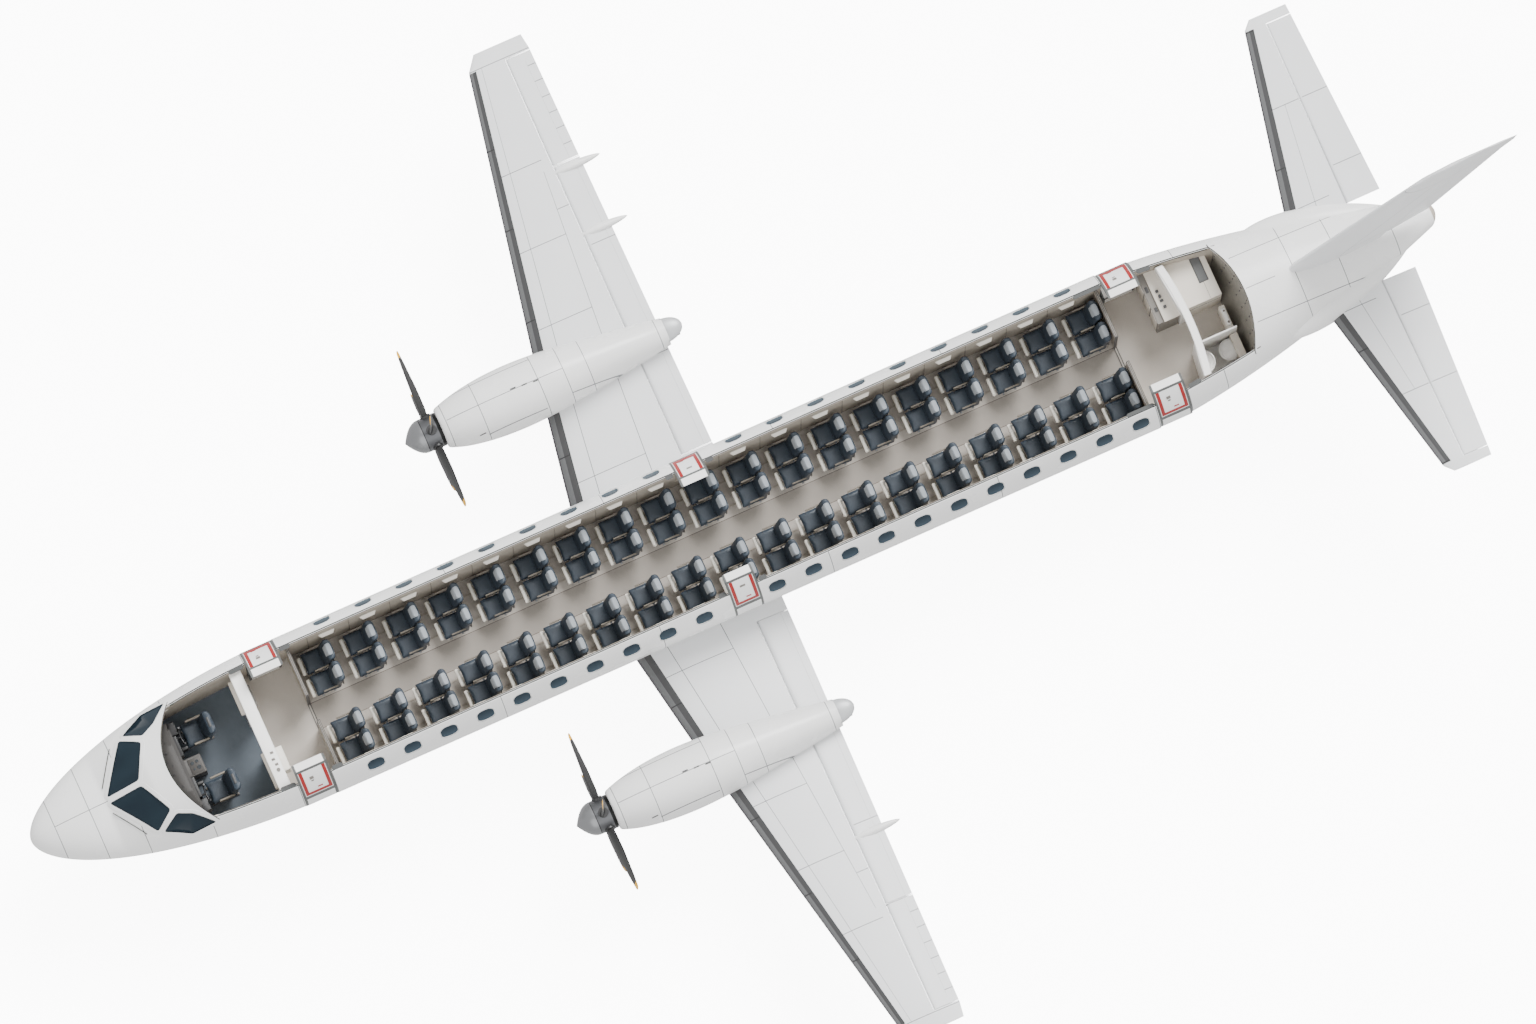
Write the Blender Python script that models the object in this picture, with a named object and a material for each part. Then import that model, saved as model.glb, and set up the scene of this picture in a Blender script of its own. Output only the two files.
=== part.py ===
"""Turboprop airliner, full size, with the cabin roof cut away so that the whole interior shows.

Metres. +X is forward, +Y is port, +Z is up. Lengths are written in the fuselage frame,
whose origin is on the cabin axis at mid length, and make() lifts every piece onto the ground.
"""

import math

import bmesh
import bpy
from mathutils import Vector

NOSE_X = 14.0
AXIS_HEIGHT = 2.55
GAP = 0.0003
FIT_GAP = 0.0009
RADIUS = 1.45
FLOOR_Z = -0.65
CUT_ANGLE = math.radians(35)
LINING = 0.78
SHELL = 0.10

NOSE_LENGTH = 5.2
NOSE_DROOP = 0.55
KEEL_LENGTH = 4.2
SCREEN_BASE = (1.44, 0.237)
SCREEN_TOP = (2.3, 0.90)
CROWN_LENGTH = 5.0
RADOME_X = 12.87
TAIL_START = -6.8
TAIL_TIP = -12.65
TAIL_TAPER = 6.4

DOOR_WIDTH = 0.60
DOOR_GAP = 0.005
HINGE_ROD = 0.0052
FRONT_DOOR_X = 9.10
REAR_DOOR_X = -7.12
DOOR_TOP = 1.07
DOOR_THICK = 0.09
EXIT_X = 1.0
EXIT_WIDTH = 0.54
EXIT_SILL = -0.10
FRONT_ARC = (11.35, 0.50, 1.15)
REAR_ARC = (-9.0, -0.23, 1.0)

JACK_PAD_RADIUS = 0.06
NOSE_JACK = (9.90, -1.48)
WING_JACK = (1.70, 2.30, -0.97)

WING_DIHEDRAL = math.radians(5.5)
WING_ROOT = (1.2, -0.86)
WING_HINGE_X = 0.95
BODY_CUT_X = (-2.0, 5.0)
BELLY_X = (4.6, -1.3)
FLAP_SPANS = (0.42, 5.90)
AILERON_SPANS = (5.93, 7.95)
SLOT_END = 0.008

NACELLE_Y = 3.66
HUB_X = 4.77
THRUST_Z = -0.18
NACELLE_REAR_X = 0.33
EXHAUST_Z = -0.42
SHIELD_Z = -0.29
SHIELD_LENGTH = 0.31
SHIELD_HALF_WIDTH = 0.225
SHIELD_HALF_HEIGHT = 0.12
POD_FRONT_X = 1.02
POD_LENGTH = 0.92
POD_HALF_WIDTH = 0.085
POD_HALF_HEIGHT = 0.115
POD_SPANS = {"left": (4.62,), "right": (4.62, 5.80)}
SPINNER_BASE_X = 4.607
BLADE_TIP = 1.56
BLADES = 5
ENGINE_RADIUS = 0.30
ENGINE_SPAN = (2.75, 4.52)

CONTROL_GAP = 0.006
PIN_RADIUS = 0.014
PIN_POINT = 0.003
PIN_SEAT = 0.02

STAB_Z = 0.52
STAB_DIHEDRAL = math.radians(6)
STAB_HINGE_X = -11.31
RUDDER_ROOT = (-11.60, 1.16)
RUDDER_TIP = (-12.97, 5.10)

MAIN_GEAR_X = 0.90
MAIN_WHEEL_RADIUS = 0.42
MAIN_WHEEL_WIDTH = 0.26
MAIN_WHEEL_TRACK = 0.23
MAIN_AXLE = 0.05
NOSE_GEAR_X = 11.0
NOSE_WHEEL_RADIUS = 0.30
NOSE_WHEEL_WIDTH = 0.17
NOSE_WHEEL_TRACK = 0.16
NOSE_AXLE = 0.035
STEERING_PIN = 0.045
GROUND_Z = -AXIS_HEIGHT

SEAT_ROWS = 19
FIRST_ROW_X = 8.19
SEAT_PITCH = 0.808
SEAT_CENTRE_Y = 0.645
SEAT_PAIR_WIDTH = 0.82
SEAT_FOOT = 0.03
SEAT_BLOCKS = (("front", 0, 10), ("rear", 10, SEAT_ROWS))
SEAT_RAIL_AHEAD = 0.30
SEAT_RAIL_BEHIND = 0.25
ARMREST_X = (-0.16, 0.20)
ARMREST_Z = (-0.045, 0.0)
ARMREST_WIDTH = 0.05
PILOT_SEAT_X = 10.6
PILOT_SEAT_Y = (0.31, 0.77)

PANEL_HALF_WIDTH = 0.78
PEDESTAL = (10.72, 11.2, 0.17, -0.12)
BULKHEAD_X = (9.53, 9.72)
FORWARD_PARTITION_X = (8.605, 8.655)
AFT_PARTITION_X = (-6.735, -6.685)
AISLE_HALF = 0.24
PARTITION_TOP = 0.62
SILL = 0.02
ARCH_X = (-7.94, -7.80)
GALLEY_X = (-7.795, -7.48)
REAR_ROOM_X = (-8.70, -7.945)
PAST_THE_WALL = 1.3
TOILET = (-8.48, 0.66)

# name: (colour, roughness, metallic)
FINISHES = {
    "white_paint": ((0.86, 0.87, 0.88), 0.30, 0.0),
    "grey_paint": ((0.78, 0.79, 0.80), 0.35, 0.0),
    "steel": ((0.45, 0.46, 0.47), 0.35, 0.9),
    "blade_black": ((0.03, 0.03, 0.03), 0.45, 0.0),
    "rubber": ((0.03, 0.03, 0.03), 0.85, 0.0),
    "glass": ((0.08, 0.12, 0.15), 0.08, 0.0),
    "seat_leather": ((0.05, 0.08, 0.11), 0.60, 0.0),
    "lining": ((0.62, 0.59, 0.54), 0.60, 0.0),
    "panel_grey": ((0.20, 0.19, 0.18), 0.50, 0.0),
}


def clear_scene():
    for obj in list(bpy.data.objects):
        bpy.data.objects.remove(obj, do_unlink=True)


def finish_of(name):
    material = bpy.data.materials.get(name) or bpy.data.materials.new(name)
    material.use_nodes = True
    shader = material.node_tree.nodes["Principled BSDF"]
    colour, roughness, metallic = FINISHES[name]
    shader.inputs["Base Color"].default_value = (*colour, 1.0)
    shader.inputs["Roughness"].default_value = roughness
    shader.inputs["Metallic"].default_value = metallic
    return material


def make(name, points, faces, finish, pivot=(0, 0, 0)):
    """One closed mesh object, with its origin on pivot and its faces pointing out."""
    mesh = bpy.data.meshes.new(name)
    mesh.from_pydata([Vector(p) - Vector(pivot) for p in points], [], faces)
    bm = bmesh.new()
    bm.from_mesh(mesh)
    bmesh.ops.recalc_face_normals(bm, faces=bm.faces)
    if bm.calc_volume(signed=True) < 0:
        bmesh.ops.reverse_faces(bm, faces=bm.faces)
    bm.to_mesh(mesh)
    bm.free()
    mesh.materials.append(finish_of(finish))
    obj = bpy.data.objects.new(name, mesh)
    obj.location = Vector(pivot) + Vector((0, 0, AXIS_HEIGHT))
    bpy.context.collection.objects.link(obj)
    return obj


def helper(name, points, faces):
    """A cutter or a lug to be joined: it isn't a piece of its own."""
    obj = make(name, points, faces, "steel")
    obj.hide_render = True
    obj.display_type = "WIRE"
    return obj


def combine(obj, other, operation="DIFFERENCE"):
    modifier = obj.modifiers.new(operation.lower(), "BOOLEAN")
    modifier.operation = operation
    modifier.solver = "EXACT"
    modifier.object = other


def ring_faces(rings, count):
    """Triangles between rings of count points each, with the first and last ring closed.

    Twisted quads would be split either way, so the diagonal is fixed: a grown copy stays parallel.
    """
    faces = []
    for r in range(rings - 1):
        for i in range(count):
            j = (i + 1) % count
            a, b, c, d = r * count + i, r * count + j, (r + 1) * count + j, (r + 1) * count + i
            faces += [(a, b, c), (a, c, d)]
    faces.append(tuple(range(count)))
    faces.append(tuple((rings - 1) * count + i for i in range(count)))
    return faces


def loft(rings):
    points = [p for ring in rings for p in ring]
    return points, ring_faces(len(rings), len(rings[0]))


def fan_ends(shape):
    """The same loft with its two end faces split from their first point, so that both sides match."""
    points, faces = shape
    fans = [(end[0], end[i], end[i + 1]) for end in faces[-2:] for i in range(1, len(end) - 1)]
    return points, faces[:-2] + fans


def prism_x(outline, x0, x1):
    """An outline of (y, z) pairs, carried along x."""
    return loft([[(x, y, z) for y, z in outline] for x in (x0, x1)])


def prism_y(outline, y0, y1):
    """An outline of (x, z) pairs, carried along y."""
    return loft([[(x, y, z) for x, z in outline] for y in (y0, y1)])


def box(x0, x1, y0, y1, z0, z1):
    return prism_x([(y0, z0), (y1, z0), (y1, z1), (y0, z1)], x0, x1)


def tube(start, end, radius0, radius1, sides=12):
    """A round bar from start to end."""
    start, end = Vector(start), Vector(end)
    along = (end - start).normalized()
    side = along.orthogonal().normalized()
    up = along.cross(side)
    turns = [2 * math.pi * i / sides for i in range(sides)]
    rings = []
    for centre, radius in ((start, radius0), (end, radius1)):
        rings.append([centre + radius * (math.cos(t) * side + math.sin(t) * up) for t in turns])
    return loft(rings)


def turned_y(profile, centre_x, centre_z, sides=24, offset=0.0):
    """A (y, radius) profile turned about a line along y."""
    turns = [2 * math.pi * (i + offset) / sides for i in range(sides)]
    return loft([
        [(centre_x + r * math.cos(t), y, centre_z + r * math.sin(t)) for t in turns]
        for y, r in profile
    ])


def turned_x(profile, centre_y, centre_z, sides=24):
    """An (x, radius) profile turned about a line along x."""
    turns = [2 * math.pi * i / sides for i in range(sides)]
    return loft([
        [(x, centre_y + r * math.cos(t), centre_z + r * math.sin(t)) for t in turns]
        for x, r in profile
    ])


def mirrored(points, sign):
    return [(p[0], sign * p[1], p[2]) for p in points]


# Fuselage surface

def half_width(x):
    aft_of_nose = NOSE_X - x
    if aft_of_nose < NOSE_LENGTH:
        return RADIUS * (1 - (1 - aft_of_nose / NOSE_LENGTH) ** 2) ** 0.55
    if x < TAIL_START:
        return RADIUS * (1 - ((TAIL_START - x) / TAIL_TAPER) ** 1.6)
    return RADIUS


def crown(x):
    """Height of the top line: nose hood, windscreen slope, roof, then the tail."""
    d = NOSE_X - x
    if d < SCREEN_BASE[0]:
        return -NOSE_DROOP + 0.859 * math.sqrt(1 - (1 - d / 2.4) ** 2)
    if d < SCREEN_TOP[0]:
        share = (d - SCREEN_BASE[0]) / (SCREEN_TOP[0] - SCREEN_BASE[0])
        return SCREEN_BASE[1] + share * (SCREEN_TOP[1] - SCREEN_BASE[1])
    if d < CROWN_LENGTH:
        share = (CROWN_LENGTH - d) / (CROWN_LENGTH - SCREEN_TOP[0])
        return RADIUS - (RADIUS - SCREEN_TOP[1]) * share ** 2
    if x < TAIL_START:
        return RADIUS - 0.55 * ((TAIL_START - x) / (TAIL_START - TAIL_TIP)) ** 1.5
    return RADIUS


def keel(x):
    d = NOSE_X - x
    if d < KEEL_LENGTH:
        return -NOSE_DROOP - (RADIUS - NOSE_DROOP) * (1 - (1 - d / KEEL_LENGTH) ** 2) ** 0.55
    if x < TAIL_START:
        return -RADIUS + 1.95 * ((TAIL_START - x) / (TAIL_START - TAIL_TIP)) ** 1.35
    return -RADIUS


def waist(x):
    """Height of the widest point of the section."""
    d = NOSE_X - x
    if d < 4.6:
        return -NOSE_DROOP * (1 - d / 4.6) ** 1.5
    if x < TAIL_START:
        return (crown(x) + keel(x)) / 2
    return 0.0


def skin(x, angle, inset=0.0):
    """A point of the outer skin, with angle 0 at the port side and 90 degrees at the crown."""
    mid = waist(x)
    height = crown(x) - mid if math.sin(angle) > 0 else mid - keel(x)
    y = (half_width(x) - inset) * math.cos(angle)
    return (x, y, mid + (height - inset) * math.sin(angle))


def skin_y(x, z, inset=0.0):
    """Half width of the skin at height z."""
    mid = waist(x)
    height = (crown(x) - mid if z > mid else mid - keel(x)) - inset
    share = min(1.0, abs(z - mid) / height)
    return (half_width(x) - inset) * math.sqrt(max(0.0, 1 - share ** 2))


def cut_z(x):
    """Height at which the roof is cut away."""
    return skin(x, CUT_ANGLE)[2]


def full_ring(x, inset=0.0, sides=32):
    return [skin(x, 2 * math.pi * (i + 0.5) / sides, inset) for i in range(sides)]


def lining_ring(x, extra=0.0, roof=SHELL):
    """The inside of the cabin: flat floor, near-vertical linings, and the roof's inner face."""
    floor = max(FLOOR_Z, keel(x) + SHELL) + min(extra, GAP)
    top_y = min(LINING * half_width(x), skin_y(x, cut_z(x), 0.04)) - extra
    foot_y = min(top_y, skin_y(x, floor, 0.05) - extra)
    arc = [math.radians(a) for a in (47, 58, 68, 79, 90, 101, 112, 122, 133)]
    over = [skin(x, a, roof + extra) for a in arc]
    return [(x, -foot_y, floor), (x, foot_y, floor), (x, top_y, cut_z(x)), *over, (x, -top_y, cut_z(x))]


def roof_cutter(name, arc, stations):
    """Everything above the cut, ending in a bowed edge across the fuselage."""
    end_x, bow, reach = arc
    rings = []
    for i in range(13):
        y = -1.8 + 3.6 * i / 12
        edge = end_x - bow * min(1.0, abs(y) / reach) ** 2
        line = [(x, cut_z(x)) for x in stations] + [(edge, cut_z(edge)), (edge, 3.0), (stations[0], 3.0)]
        rings.append([(x, y, z) for x, z in line])
    return helper(name, *loft(rings))


def build_radome():
    stations = [NOSE_X - 0.001, 13.93, 13.8, 13.6, 13.3, RADOME_X + GAP]
    obj = make("radome", *loft([full_ring(x, sides=28) for x in stations]), "white_paint")
    return obj


# Each windscreen pane, port side: (distance from the nose tip, plan offset) pairs
PANES = {
    "windscreen_front": [(1.50, 0.055), (2.11, 0.055), (2.41, 0.64), (2.07, 0.86)],
    "windscreen_side": [(2.16, 0.91), (2.48, 0.74), (2.74, 0.86), (3.05, 1.13), (2.60, 1.13)],
}
PANE_THICK = 0.03
PANE_FIT = 0.0012
PANE_DEPTH = 0.004


def on_crown(x, y, inset=0.0):
    """The point of the upper skin that lies at plan position x, y."""
    share = min(0.999, y / (half_width(x) - inset))
    mid = waist(x)
    return Vector((x, y, mid + (crown(x) - mid - inset) * math.sqrt(1 - share ** 2)))


def pane_ring(outline, sign, inset, grow):
    centre = sum((on_crown(NOSE_X - d, y) for d, y in outline), Vector()) / len(outline)
    ring = []
    for d, y in outline:
        point = on_crown(NOSE_X - d, y, inset)
        point = point + (point - centre).normalized() * grow
        ring.append((point.x, sign * point.y, point.z))
    return ring


NOSE_STATIONS = [12.6, 12.4, 12.2, 11.95, 11.7, 11.4, 11.0, 10.5, 10.0]
COCKPIT_STATIONS = [12.15, 11.9, 11.7, 11.4, 11.0, 10.5, 10.0, 9.2]
TAIL_STATIONS = [-8.0, -8.6, -9.2, -9.8, -10.4, -11.0, -11.6]
TAIL_CAVITY_STATIONS = [-7.2, *TAIL_STATIONS]


def fit_inside(obj, stations):
    """Trims a fitting to the lining, which it meets with the gap all round."""
    inside = loft([lining_ring(x, extra=FIT_GAP) for x in stations])
    combine(obj, helper(f"{obj.name}_trim", *inside), "INTERSECT")


def jack_pad(x, y, z, reach=0.15):
    """A round pad with a flat foot at height z, for a jack to lift the aircraft by."""
    return tube((x, y, z + reach), (x, y, z), JACK_PAD_RADIUS, JACK_PAD_RADIUS, 20)


def build_nose():
    stations = [RADOME_X, *NOSE_STATIONS, FRONT_DOOR_X + DOOR_WIDTH / 2 + DOOR_GAP]
    obj = make("nose_section", *loft([full_ring(x) for x in stations]), "white_paint")
    jack_x, jack_z = NOSE_JACK
    combine(obj, helper("nose_jack", *jack_pad(jack_x, 0.0, jack_z)), "UNION")
    combine(obj, helper("cockpit_cavity", *loft([lining_ring(x) for x in COCKPIT_STATIONS])))
    combine(obj, roof_cutter("front_roof_cut", FRONT_ARC, [9.2, 9.8, 10.4]))
    for name, outline in PANES.items():
        for side, sign in (("left", 1), ("right", -1)):
            hole = fan_ends(loft([pane_ring(outline, sign, inset, 0.0) for inset in (0.35, -0.2)]))
            combine(obj, helper(f"{name}_{side}_hole", *hole))
            insets = (PANE_THICK + PANE_DEPTH, PANE_DEPTH)
            pane = fan_ends(loft([pane_ring(outline, sign, inset, -PANE_FIT) for inset in insets]))
            make(f"{name}_{side}", *pane, "glass")


def arc_angles(start, end, count):
    return [start + (end - start) * i / count for i in range(count + 1)]


FLOOR_ANGLE = math.asin(FLOOR_Z / RADIUS)
LOBE_ANGLES = arc_angles(math.pi - FLOOR_ANGLE, 2 * math.pi + FLOOR_ANGLE, 20)


def body_cutter(name, x0, x1):
    """The straight fuselage, grown by the gap, to seat what is fixed to its outside."""
    port = arc_angles(FLOOR_ANGLE, CUT_ANGLE, 8)
    starboard = [math.pi - a for a in reversed(port)]
    outline = [((RADIUS + GAP) * math.cos(a), (RADIUS + GAP) * math.sin(a))
               for a in LOBE_ANGLES[:-1] + port + starboard[:-1]]
    return helper(name, *prism_x(outline, x0, x1))


def build_cabin():
    half_opening = DOOR_WIDTH / 2 + DOOR_GAP
    rings = []
    front = (FRONT_DOOR_X + half_opening - GAP, FRONT_DOOR_X, FRONT_DOOR_X - half_opening)
    for x in (*front, TAIL_START, -7.1, REAR_DOOR_X - half_opening + GAP):
        depth = FLOOR_Z - keel(x)
        share = depth / (FLOOR_Z + RADIUS)
        rings.append([
            (x, half_width(x) * math.cos(a), FLOOR_Z + (RADIUS * math.sin(a) - FLOOR_Z) * share)
            for a in LOBE_ANGLES
        ])
    make("cabin_lower", *loft(rings), "white_paint")
    for side, sign in (("left", 1), ("right", -1)):
        stations = (FRONT_DOOR_X - half_opening, TAIL_START, REAR_DOOR_X + half_opening)
        wall = make(f"cabin_side_{side}", *loft([wall_ring(x, sign) for x in stations]), "white_paint")
        half_exit = EXIT_WIDTH / 2 + GAP
        points, faces = box(EXIT_X - half_exit, EXIT_X + half_exit, 0.8, 1.8, EXIT_SILL - GAP, 2.0)
        combine(wall, helper(f"exit_hole_{side}", mirrored(points, sign), faces))


def wall_ring(x, sign):
    base = FLOOR_Z + GAP
    low = math.asin((base - waist(x)) / (waist(x) - keel(x)))
    arc = [low + (CUT_ANGLE - low) * i / 8 for i in range(9)]
    outer = [skin(x, a) for a in arc]
    inner_y = LINING * half_width(x)
    ring = outer + [(x, inner_y, cut_z(x)), (x, inner_y, base)]
    return mirrored(ring, sign)


def door_outline(z0, z1, bustle):
    """Section of a door: curved skin outside, curved lining inside, and a low locker on the lining."""
    angles = [math.asin(z / RADIUS) for z in (z0, z1)]
    arc = [angles[0] + (angles[1] - angles[0]) * i / 8 for i in range(9)]
    outer = [(RADIUS * math.cos(a), RADIUS * math.sin(a)) for a in arc]
    inner_radius = RADIUS - DOOR_THICK
    inner_arc = [math.asin(z1 / inner_radius * 0.995), 0.45, 0.2, -0.1]
    inner = [(inner_radius * math.cos(a), inner_radius * math.sin(a)) for a in inner_arc]
    if bustle:
        inner += [(1.20, -0.22), (1.02, -0.26), (1.02, z0 + 0.03), (1.17, z0)]
    else:
        inner = inner[:-1] + [(inner_radius, z0)]
    return outer + inner


def build_doors():
    for place, x in (("front", FRONT_DOOR_X), ("rear", REAR_DOOR_X)):
        shrink = half_width(x) / RADIUS
        for side, sign in (("left", 1), ("right", -1)):
            outline = door_outline(FLOOR_Z + DOOR_GAP, DOOR_TOP, True)
            outline = outline[:1] + [(y * shrink, z) for y, z in outline[1:]]
            points, faces = prism_x(outline, x - DOOR_WIDTH / 2, x + DOOR_WIDTH / 2)
            pivot = (x, sign * outline[0][0], outline[0][1])
            door = make(f"cabin_door_{place}_{side}", mirrored(points, sign), faces, "white_paint", pivot)
            rod = [(x - DOOR_WIDTH / 2, HINGE_ROD), (x + DOOR_WIDTH / 2, HINGE_ROD)]
            rod_shape = turned_x(rod, pivot[1], pivot[2], 16)
            combine(door, helper(f"hinge_rod_{place}_{side}", *rod_shape), "UNION")
    for side, sign in (("left", 1), ("right", -1)):
        outline = door_outline(EXIT_SILL, DOOR_TOP, False)
        points, faces = prism_x(outline, EXIT_X - EXIT_WIDTH / 2, EXIT_X + EXIT_WIDTH / 2)
        make(f"overwing_exit_{side}", mirrored(points, sign), faces, "white_paint")


def tail_rings(inset=0.0):
    stations = [REAR_DOOR_X - DOOR_WIDTH / 2 - DOOR_GAP, *TAIL_STATIONS, -12.2, TAIL_TIP]
    return loft([full_ring(x, inset) for x in stations])


def build_tail():
    obj = make("tail_section", *tail_rings(), "white_paint")
    combine(obj, helper("tail_cavity", *loft([lining_ring(x) for x in TAIL_CAVITY_STATIONS])))
    combine(obj, roof_cutter("rear_roof_cut", REAR_ARC, [-7.2, -7.9, -8.5]))
    dome = []
    for i in range(13):
        y = -1.3 + 2.6 * i / 12
        face = REAR_ARC[0] - 0.03 - REAR_ARC[1] * min(1.0, abs(y)) ** 2
        dome.append([(face, y, -1.2), (face - 0.03, y, -1.2), (face - 0.03, y, 1.6), (face, y, 1.6)])
    bulkhead = make("pressure_bulkhead", *loft(dome), "panel_grey")
    fit_inside(bulkhead, TAIL_CAVITY_STATIONS)


# Wings and tail surfaces

def thickness_at(share, thick):
    """Half thickness of a symmetrical section at a share of its chord, as a share of the chord."""
    return 5 * thick * (0.2969 * math.sqrt(share) - 0.126 * share - 0.3516 * share ** 2
                        + 0.2843 * share ** 3 - 0.1015 * share ** 4)


def aerofoil(chord, thick, count=9):
    """Upper then lower points (aft of the leading edge, height) of a symmetrical section."""
    upper = []
    for i in range(count + 1):
        c = (1 - math.cos(math.pi * i / count)) / 2
        upper.append((c * chord, thickness_at(c, thick) * chord))
    upper = [upper[0][:1] + (0.0,)] + upper[1:-1] + [(chord, 0.004)]
    lower = [(a, -h) for a, h in reversed(upper[1:])]
    return upper + lower


class Surface:
    """A wing or tail plane: span runs along its own tilted line, with sections square to it."""

    def __init__(self, table, root_y, root_z, tilt, sign=1, upright=False):
        # table rows: (span, leading edge x, trailing edge x, thickness share)
        self.table, self.root_y, self.root_z = table, root_y, root_z
        self.tilt, self.sign, self.upright = tilt, sign, upright

    def at(self, span):
        rows = self.table
        for low, high in zip(rows, rows[1:]):
            if span <= high[0] or high is rows[-1]:
                share = (span - low[0]) / (high[0] - low[0])
                return [low[i] + share * (high[i] - low[i]) for i in (1, 2, 3)]
        return list(rows[-1][1:])

    def place(self, x, span, height):
        y = self.root_y + span * math.cos(self.tilt) - height * math.sin(self.tilt)
        z = self.root_z + span * math.sin(self.tilt) + height * math.cos(self.tilt)
        if self.upright:
            return (x, -height, self.root_z + span)
        return (x, self.sign * y, z)

    def section(self, span, grow=0.0):
        lead, trail, thick = self.at(span)
        chord = lead - trail + 2 * grow
        return [
            self.place(lead + grow - aft, span, height + math.copysign(grow, height) if height else 0.0)
            for aft, height in aerofoil(chord, thick)
        ]

    def solid(self, spans, grow=0.0):
        return loft([self.section(s, grow) for s in spans])

    def flap_ring(self, span, hinge_x, gap):
        """Section of a control surface: round nose on the hinge line, then straight to the trailing edge."""
        lead, trail, thick = self.at(span)
        radius = 0.0
        for _ in range(4):
            axis_x = hinge_x - gap - radius
            share = (lead - axis_x) / (lead - trail)
            radius = 0.94 * thickness_at(share, thick) * (lead - trail)
        ring = [(axis_x + radius * math.cos(a), radius * math.sin(a)) for a in
                [math.radians(d) for d in (90, 60, 30, 0, -30, -60, -90)]]
        ring += [(trail, -0.004), (trail, 0.004)]
        return [self.place(x, span, h) for x, h in ring], axis_x

    def control(self, spans, hinge_of):
        return loft([self.flap_ring(span, hinge_of(span), CONTROL_GAP)[0] for span in spans])

    def pin(self, name, start, end, wall_slope=0.0):
        """A hinge pin on a control's axis, tapered to a point that stops a gap short of the slot's wall."""
        start, end = Vector(start), Vector(end)
        along = (end - start).normalized()
        length = (end - start).length - GAP - PIN_POINT * wall_slope
        root = start - along * PIN_SEAT
        return helper(name, *tube(root, start + along * length, PIN_RADIUS, PIN_POINT, 12))

    def axis_at(self, span, hinge_of):
        axis_x = self.flap_ring(span, hinge_of(span), CONTROL_GAP)[1]
        return self.place(axis_x, span, 0.0)

    def hinged(self, name, spans, walls, hinge_of, finish, wall_slope=0.0):
        """A control surface with a pin at each end that has a wall of the slot beside it."""
        points, faces = self.control(spans, hinge_of)
        obj = make(name, points, faces, finish, self.axis_at(spans[0], hinge_of))
        for end, span, wall in (("inner", spans[0], walls[0]), ("outer", spans[1], walls[1])):
            if wall is None:
                continue
            start, tip = (self.axis_at(place, hinge_of) for place in (span, wall))
            combine(obj, self.pin(f"{name}_{end}_pin", start, tip, wall_slope), "UNION")
        return obj

    def slot(self, name, spans, hinge_of):
        rings = []
        for span in spans:
            front = hinge_of(span)
            corners = [(front, -0.6), (front, 0.6), (-20.0, 0.6), (-20.0, -0.6)]
            rings.append([self.place(x, span, h) for x, h in corners])
        return helper(name, *loft(rings))


# (span from the root line, leading edge x, trailing edge x, thickness as a share of the chord)
WING_TABLE = [
    (-0.55, 3.24, 0.34, 0.150),
    (2.47, 2.72, 0.39, 0.145),
    (8.00, 1.62, 0.48, 0.125),
    (8.26, 1.42, 0.52, 0.080),
]
WING_SPANS = [row[0] for row in WING_TABLE]
STAB_TABLE = [
    (-0.50, -10.05, -11.99, 0.11),
    (3.65, -10.92, -11.77, 0.10),
    (3.80, -11.06, -11.76, 0.05),
]
FIN_TABLE = [
    (-0.45, -9.62, -12.35, 0.11),
    (3.45, -12.10, -13.75, 0.10),
    (3.85, -12.55, -13.95, 0.08),
    (4.15, -13.45, 0.001 - NOSE_X, 0.05),
]


def wing_surface(sign):
    return Surface(WING_TABLE, WING_ROOT[0], WING_ROOT[1], WING_DIHEDRAL, sign)


def flap_pod(wing, span):
    """The pod of a flap rail, from just behind the hinge line to past the trailing edge."""
    start = (POD_FRONT_X - WING_HINGE_X + 2 * CONTROL_GAP) / POD_LENGTH
    rings = []
    for i in range(9):
        share = start + (0.99 - start) * i / 8
        fat = (4 * share * (1 - share)) ** 0.6 * (1 - 0.25 * share)
        ring = []
        for j in range(12):
            turn = 2 * math.pi * j / 12
            across = span + POD_HALF_WIDTH * fat * math.cos(turn)
            height = POD_HALF_HEIGHT * fat * math.sin(turn) - 0.01 * share
            ring.append(wing.place(POD_FRONT_X - POD_LENGTH * share, across, height))
        rings.append(ring)
    return loft(rings)


def build_wing(side, sign):
    wing = wing_surface(sign)
    obj = make(f"wing_{side}", *wing.solid(WING_SPANS), "grey_paint")

    def hinge_of(span):
        return WING_HINGE_X

    for near, far in (FLAP_SPANS, AILERON_SPANS):
        combine(obj, wing.slot(f"slot_{near}_{side}", (near - SLOT_END, far + SLOT_END), hinge_of))
    combine(obj, body_cutter(f"wing_root_cut_{side}", *BODY_CUT_X))
    jack_x, jack_y, jack_z = WING_JACK
    combine(obj, helper(f"wing_jack_{side}", *jack_pad(jack_x, sign * jack_y, jack_z)), "UNION")
    for name, spans in (("flap", FLAP_SPANS), ("aileron", AILERON_SPANS)):
        walls = (spans[0] - SLOT_END, spans[1] + SLOT_END)
        moving = wing.hinged(f"{name}_{side}", spans, walls, hinge_of, "grey_paint")
        if name == "flap":
            for span in POD_SPANS[side]:
                combine(moving, helper(f"flap_pod_{span}_{side}", *flap_pod(wing, span)), "UNION")


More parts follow.
